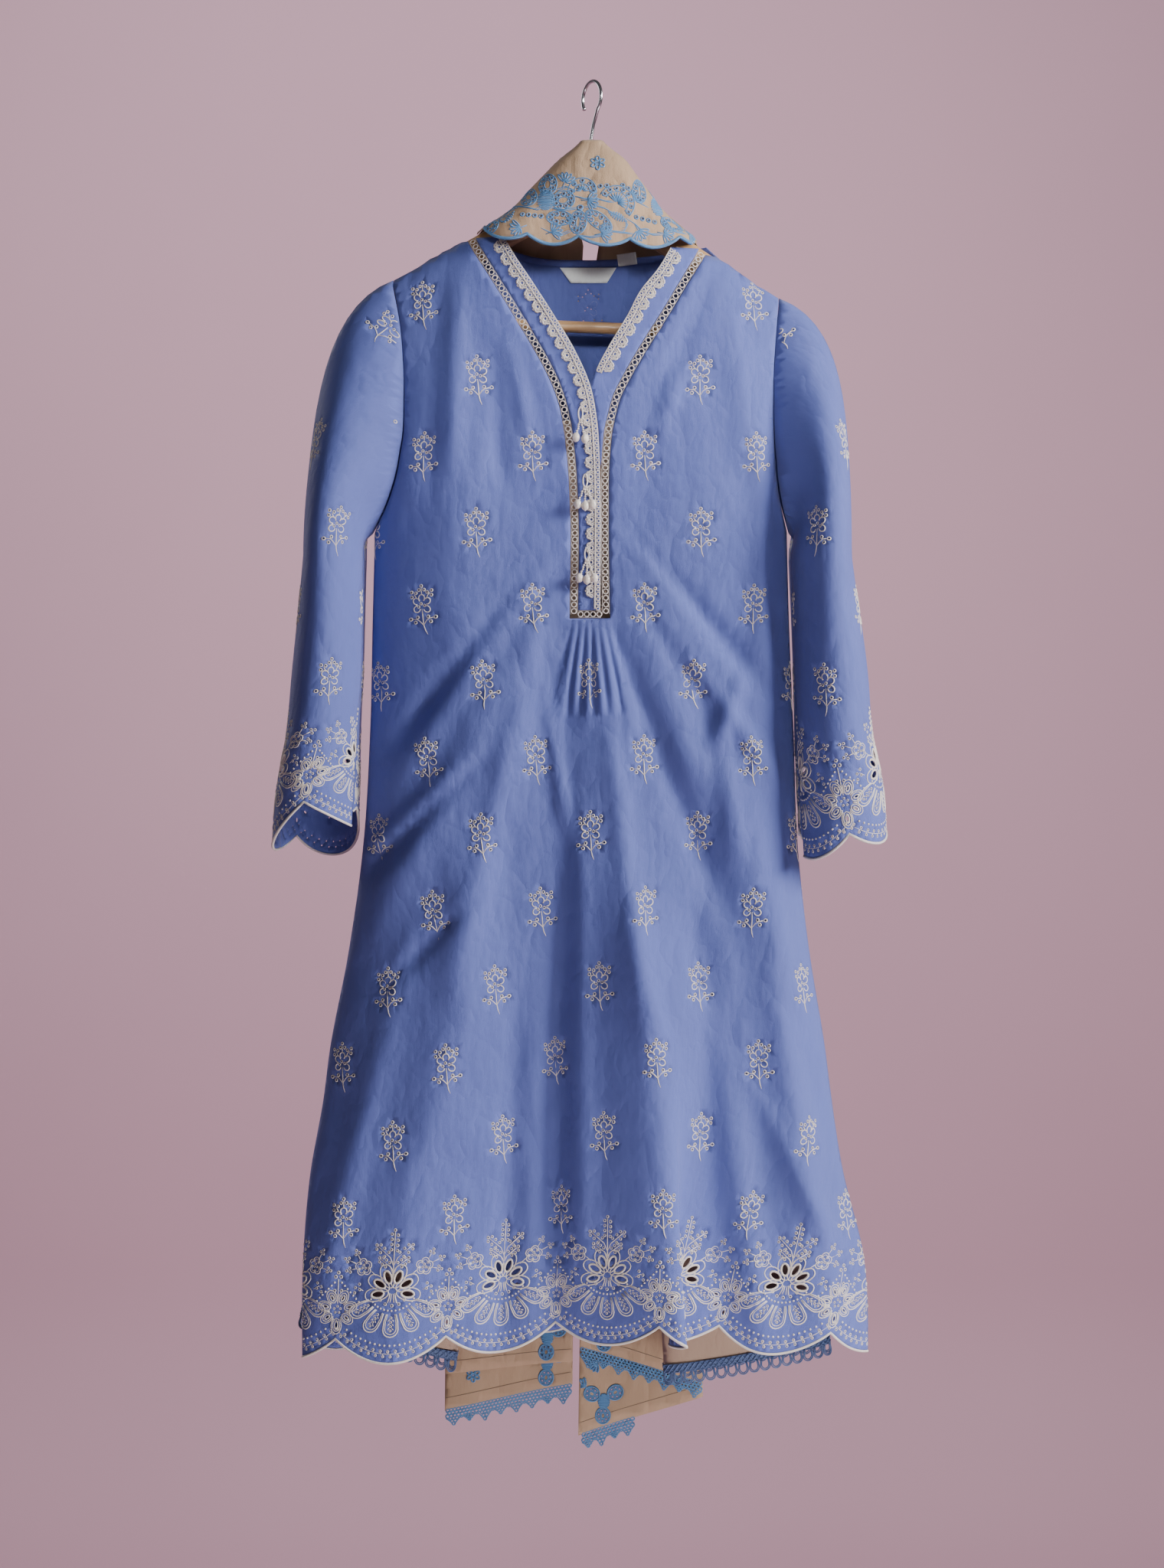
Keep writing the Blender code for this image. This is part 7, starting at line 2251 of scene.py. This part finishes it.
def make_dupatta_lace(hand, layer, cloth, width, outer_hem, inner_hem):
    """Crochet lace under a tail's hem: a corded edge, a band of linked rings, and ringed points."""
    name = f"dupatta_lace_{hand}_{layer}"
    first, last = (0.55, 0.97) if (hand, layer) == ("right", "far") else (0.01, 0.99)
    slope = (inner_hem - outer_hem) / width
    start, length = first * width, (last - first) * width
    lift = SHELL * 0.5
    rings = []

    def at(a, out):
        return (start + a, outer_hem + slope * (start + a) + out)

    linked_step, linked_ring, linked_up = 0.0036, 0.0026, 0.0030
    point_step, point_ring, point_up, foot_ring = 0.0032, 0.0022, 0.0027, 0.0016
    rows = int(length / linked_step)
    for row in range(3):
        for k in range(rows - row % 2):
            across = (k + 0.5 + 0.5 * (row % 2)) * length / rows
            rings.append((*at(across, 0.0007 + linked_up * row), linked_ring))
    points = max(1, int(round(length / sizes().lace_pitch)))
    for k in range(points):
        middle = (k + 0.5) * length / points
        tall = LACE_POINTS[k % len(LACE_POINTS)]
        for row in range(3):
            for j in range(3 - row):
                across = middle + (j - (2 - row) / 2) * point_step
                rings.append((*at(across, 0.0094 + point_up * row * tall), point_ring))
        rings.append((*at(middle + length / points / 2 * (1 if k < points - 1 else 0), 0.0092), foot_ring))
    lines = []
    for out in (-0.0006, 0.0023):
        row = [at(length * s, out) for s in np.linspace(0, 1, 50)]
        lines.append(on_line(cloth, row, lift, 0.0007))
    for k in range(points):
        middle, half = (k + 0.5) * length / points, length / points / 2
        tall = LACE_POINTS[k % len(LACE_POINTS)]
        edge = [at(middle + half * u, 0.0085 + 0.0078 * tall * (1 - abs(u)) ** 1.2)
                for u in np.linspace(-1, 1, 13)]
        lines.append(on_line(cloth, edge, lift, 0.0006))
    threads = lay_threads(name + "_threads", lines, "sky_thread", 4)
    rings = np.array(rings)
    places, across, _, out = frames(cloth, rings[:, :2], lift)
    chain = lay_rings(name + "_rings", places, turns_of(across, out), rings[:, [2, 2, 2]], "sky_thread",
                      0.66, 0.42, 8, 3)
    return settle(joined(name + "_work", [threads, chain]), "sky_lace", name)


# ---------------------------------------------------------------- hanger
def make_arms():
    """The turned wooden arms, with rounded sections and softened ends."""
    outs = np.concatenate([np.linspace(0, 0.145, 40), np.linspace(0.1465, 0.152, 7),
                           np.linspace(0.154, HANGER_HALF, 26)])
    stations = np.concatenate([-outs[:0:-1], outs])
    sides = 28
    points = []
    for x in stations:
        drop, height, half = (float(np.interp(abs(x), ARM_TOP["out"], ARM_TOP[c]))
                              for c in ("drop", "height", "half_depth"))
        for k in range(sides):
            t = math.tau * k / sides
            round_x = math.copysign(abs(math.sin(t)) ** 0.85, math.sin(t))
            px, pd = tilted(x, drop + height / 2 - height / 2 * math.cos(t))
            points.append((px, half * round_x, -pd))
    last = len(stations) - 1
    faces = turned_over(grid_faces(len(stations), sides))
    faces.append(tuple(range(sides)))
    faces.append(tuple(reversed(range(last * sides, (last + 1) * sides))))
    return settle(add_mesh("hanger_arms_wood", points, faces, "varnished_wood"), "honey_wood", "hanger_arms")


def make_bar():
    line = [tilted(x, BAR_DROP) for x in np.linspace(-BAR_HALF, BAR_HALF, 40)]
    bar = sweep("hanger_bar_wood", [(x, 0.0, -d) for x, d in line], BAR_RADIUS, "varnished_wood", 28)
    return settle(bar, "honey_wood", "hanger_bar")


def make_hook():
    """The wire hook: a threaded shank in the wooden neck and three quarters of a circle."""
    radius, yaw = HOOK_RADIUS, HOOK_YAW
    centre = -radius + WIRE
    foot_x, foot_drop = tilted(0.0, float(ARM_TOP["drop"][0]))
    line = [(0.0, -foot_drop + SEAM)] + [(0.0, z) for z in np.linspace(-0.082, -0.062, 8)]
    line += [(0.0006, -0.054), (0.0017, -0.048), (0.0025, HOOK_BEND)]
    line += [(radius * math.cos(t), centre + radius * math.sin(t))
             for t in np.radians(np.arange(-50, 215, 6))]
    path = []
    for u, z in line:
        lean = foot_x * max(0.0, HOOK_BEND - z) / (HOOK_BEND + foot_drop)
        path.append((u * math.cos(yaw) + lean, -u * math.sin(yaw), z))
    return settle(sweep("hanger_hook_wire", path, WIRE, "chromed_wire", 16), "chrome_wire", "hanger_hook")


# ---------------------------------------------------------------- stage
CAMERA_PLACE, CAMERA_ANGLE = (-0.0098, -3.0, -0.6930), 28.98


def make_stage(light):
    """A pale floor that curves up into a backdrop, soft lights, and the camera."""
    profile = [(-6.0, -2.45)] + [(3.6 + 0.6 * math.sin(t), -1.85 - 0.6 * math.cos(t))
                                 for t in np.linspace(0, math.pi / 2, 14)] + [(4.2, 5.0)]
    points = [(x, y, z) for x in (-8.0, 8.0) for y, z in profile]
    count = len(profile)
    faces = [f[::-1] for f in grid_faces(2, count, closed=False)]
    floor = add_mesh("studio_floor", points, faces, "studio_paint")
    for name, place, target, power, size, color in (
            ("key_light", (2.60, -1.12, 0.45), (0.0, 0.0, -0.60), 172.0, 0.9, (1.0, 0.985, 0.965)),
            ("fill_light", (-1.6, -3.0, -0.2), (0.0, 0.0, -0.75), 5.0, 2.2, (0.95, 0.97, 1.0)),
            ("low_light", (0.35, -0.80, -1.78), (0.0, 0.05, -1.33), 9.0, 0.5, (1.0, 0.98, 0.96)),
            ("neck_light", (0.20, -1.25, 0.10), (0.0, 0.05, -0.27), 0.28, 0.2, (1.0, 0.98, 0.96)),
            ("back_light", (-2.4, 2.6, 0.6), (0.0, 0.0, -0.60), 20.0, 1.2, (0.97, 0.98, 1.0)),
            ("wall_light", (-0.6, 1.4, 1.4), (0.3, 4.2, -0.9), 88.0, 2.4, (1.0, 1.0, 1.0))):
        data = bpy.data.lights.new(name, "AREA")
        data.energy, data.size, data.color = power * light, size, color
        data.spread = math.radians(30.0 if name == "neck_light" else 180.0)
        lamp = bpy.data.objects.new(name, data)
        lamp.matrix_world = (Matrix.Translation(place)
                             @ (Vector(target) - Vector(place)).to_track_quat("-Z", "Y").to_matrix().to_4x4())
        bpy.context.scene.collection.objects.link(lamp)
    world = bpy.data.worlds.new("studio")
    world.use_nodes = True
    sky = world.node_tree.nodes["Background"].inputs
    sky["Color"].default_value = (0.90, 0.88, 0.93, 1.0)
    sky["Strength"].default_value = 0.095
    bpy.context.scene.world = world
    data = bpy.data.cameras.new("camera")
    data.sensor_fit = "VERTICAL"
    data.sensor_height = 24.0
    data.lens = data.sensor_height / 2 / math.tan(math.radians(CAMERA_ANGLE / 2))
    camera = bpy.data.objects.new("camera", data)
    camera.matrix_world = Matrix.Translation(CAMERA_PLACE) @ Matrix.Rotation(math.pi / 2, 4, "X")
    bpy.context.scene.collection.objects.link(camera)
    bpy.context.scene.camera = camera


# ---------------------------------------------------------------- settings and operators
def colour_setting(name, description, value):
    return FloatVectorProperty(name=name, description=description, subtype="COLOR", size=3, min=0, max=1,
                               default=value)


class SuitShades(bpy.types.PropertyGroup):
    """Colours of the suit's cloths and threads."""
    kameez: colour_setting("Kameez", "Colour of the kameez cotton", (0.120, 0.158, 0.500))
    trousers: colour_setting("Trousers", "Colour of the trouser cotton", (0.55, 0.38, 0.28))
    dupatta: colour_setting("Dupatta", "Colour of the dupatta cotton", (0.50, 0.335, 0.215))
    thread: colour_setting("Embroidery", "Colour of the embroidery thread", (0.78, 0.71, 0.65))
    crochet: colour_setting("Crochet", "Colour of the neck's crochet cord", (0.76, 0.69, 0.66))
    lace: colour_setting("Dupatta thread", "Colour of the dupatta's lace and embroidery",
                         (0.105, 0.265, 0.52))
    braid: colour_setting("Trouser braid", "Colour of the braid and its loops", (0.11, 0.175, 0.38))


def length_setting(name, description, value):
    return FloatProperty(name=name, description=description, default=value, min=0.0, unit="LENGTH",
                         precision=4)


def share_setting(name, description, value, low, high):
    return FloatProperty(name=name, description=description, default=value, min=low, max=high,
                         subtype="FACTOR")


class SuitSizes(bpy.types.PropertyGroup):
    """Sizes of the suit's fine work."""
    shell: length_setting("Cloth", "Thickness of the shown cloth", SHELL)
    weave: length_setting("Weave", "Distance between two threads of the kameez cotton", 0.00055)
    ring_pitch: length_setting("Insertion ring", "Distance between two rings of the neck's openwork", 0.0064)
    picot_pitch: length_setting("Picot", "Distance between two points of the neck's crochet trim", 0.0141)
    lace_pitch: length_setting("Lace point", "Distance between two points of the dupatta's lace", 0.0150)
    loop_pitch: length_setting("Braid loop", "Distance between two cord loops of the trouser braid", 0.0107)
    thread: share_setting("Thread", "Width of the embroidery's lines, as a share of the usual", 1.3, 0.2, 3.0)
    eyelet: share_setting("Eyelets", "Size of the stitched eyelets, as a share of the usual", 1.06, 0.5, 1.3)


class SuitStage(bpy.types.PropertyGroup):
    """Lighting of the stage."""
    light: share_setting("Light", "Strength of all lights", 1.0, 0.0, 10.0)


class SUIT_OT_finishes(bpy.types.Operator):
    """Make every cloth, thread, wood and metal finish"""
    bl_idname = "suit.finishes"
    bl_label = "Finishes"

    def execute(self, context):
        make_finishes(context.scene.suit_shades)
        return {"FINISHED"}


class SUIT_OT_kameez(bpy.types.Operator):
    """Hang the kameez front and back"""
    bl_idname = "suit.kameez"
    bl_label = "Kameez"

    def execute(self, context):
        make_kameez()
        return {"FINISHED"}


class SUIT_OT_sleeves(bpy.types.Operator):
    """Hang both sleeves from the armholes"""
    bl_idname = "suit.sleeves"
    bl_label = "Sleeves"

    def execute(self, context):
        make_sleeve("left", SLEEVE_LEFT, ARMHOLE_LEFT)
        make_sleeve("right", SLEEVE_RIGHT, ARMHOLE_RIGHT)
        return {"FINISHED"}


class SUIT_OT_neck(bpy.types.Operator):
    """Make the neck bands, the openwork insertion, the crochet trims, the facing and the labels"""
    bl_idname = "suit.neck"
    bl_label = "Neck"

    def execute(self, context):
        cloth = front_cloth()
        make_neck(cloth)
        make_trim(cloth, "trim_left", NECK_LEFT, -1, 0.1560, NECK_FOOT - INSERTION - SEAM - 0.0010)
        make_trim(cloth, "trim_right", NECK_RIGHT, 1, 0.1670, 0.2900)
        make_back_neck(back_cloth())
        return {"FINISHED"}


class SUIT_OT_tassels(bpy.types.Operator):
    """String the pearl tassels"""
    bl_idname = "suit.tassels"
    bl_label = "Tassels"

    def execute(self, context):
        for index, (drop, x, strands) in enumerate(zip(*TASSELS.values()), 1):
            make_tassel(front_cloth(), index, drop, x, int(strands))
        return {"FINISHED"}


class SUIT_OT_trousers(bpy.types.Operator):
    """Hang the trousers with their waistband, tapes and hem braid"""
    bl_idname = "suit.trousers"
    bl_label = "Trousers"

    def execute(self, context):
        make_waist()
        for hand, rows in (("left", LEG_LEFT), ("right", LEG_RIGHT)):
            for face in (-1, 1):
                make_trouser_panel(hand, rows, face)
        return {"FINISHED"}


class SUIT_OT_dupatta(bpy.types.Operator):
    """Drape the dupatta over the hanger's neck and hang its tails"""
    bl_idname = "suit.dupatta"
    bl_label = "Dupatta"

    def execute(self, context):
        make_bib(bib_cloth())
        for hand, rows in (("left", TAIL_LEFT), ("right", TAIL_RIGHT)):
            for layer in ("near", "far"):
                make_tail(hand, rows, layer)
        return {"FINISHED"}


class SUIT_OT_hanger(bpy.types.Operator):
    """Make the wooden hanger with its bar and wire hook"""
    bl_idname = "suit.hanger"
    bl_label = "Hanger"

    def execute(self, context):
        make_arms()
        make_bar()
        make_hook()
        return {"FINISHED"}


class SUIT_OT_stage(bpy.types.Operator):
    """Set the floor, the backdrop, the lights and the camera"""
    bl_idname = "suit.stage"
    bl_label = "Stage"

    def execute(self, context):
        make_stage(context.scene.suit_stage.light)
        return {"FINISHED"}


class SUIT_PT_panel(bpy.types.Panel):
    """The suit's colours, light and makers"""
    bl_idname = "SUIT_PT_panel"
    bl_label = "Salwar kameez suit"
    bl_space_type = "VIEW_3D"
    bl_region_type = "UI"
    bl_category = "Suit"

    def draw(self, context):
        for group in (context.scene.suit_sizes, context.scene.suit_shades, context.scene.suit_stage):
            for name in group.__annotations__:
                self.layout.prop(group, name)
        for operator in OPERATORS:
            self.layout.operator(operator.bl_idname)


OPERATORS = (SUIT_OT_finishes, SUIT_OT_kameez, SUIT_OT_sleeves, SUIT_OT_neck, SUIT_OT_tassels,
             SUIT_OT_trousers, SUIT_OT_dupatta, SUIT_OT_hanger, SUIT_OT_stage)
GROUPS = (SuitSizes, SuitShades, SuitStage)


def register():
    for group in GROUPS + OPERATORS + (SUIT_PT_panel,):
        bpy.utils.register_class(group)
    bpy.types.Scene.suit_sizes = PointerProperty(type=SuitSizes)
    bpy.types.Scene.suit_shades = PointerProperty(type=SuitShades)
    bpy.types.Scene.suit_stage = PointerProperty(type=SuitStage)


def unregister():
    del bpy.types.Scene.suit_stage
    del bpy.types.Scene.suit_shades
    del bpy.types.Scene.suit_sizes
    for group in reversed(GROUPS + OPERATORS + (SUIT_PT_panel,)):
        bpy.utils.unregister_class(group)


def main():
    register()
    for operator in OPERATORS:
        getattr(bpy.ops.suit, operator.bl_idname.split(".")[1])()
    bpy.context.view_layer.update()


if __name__ == "__main__":
    main()
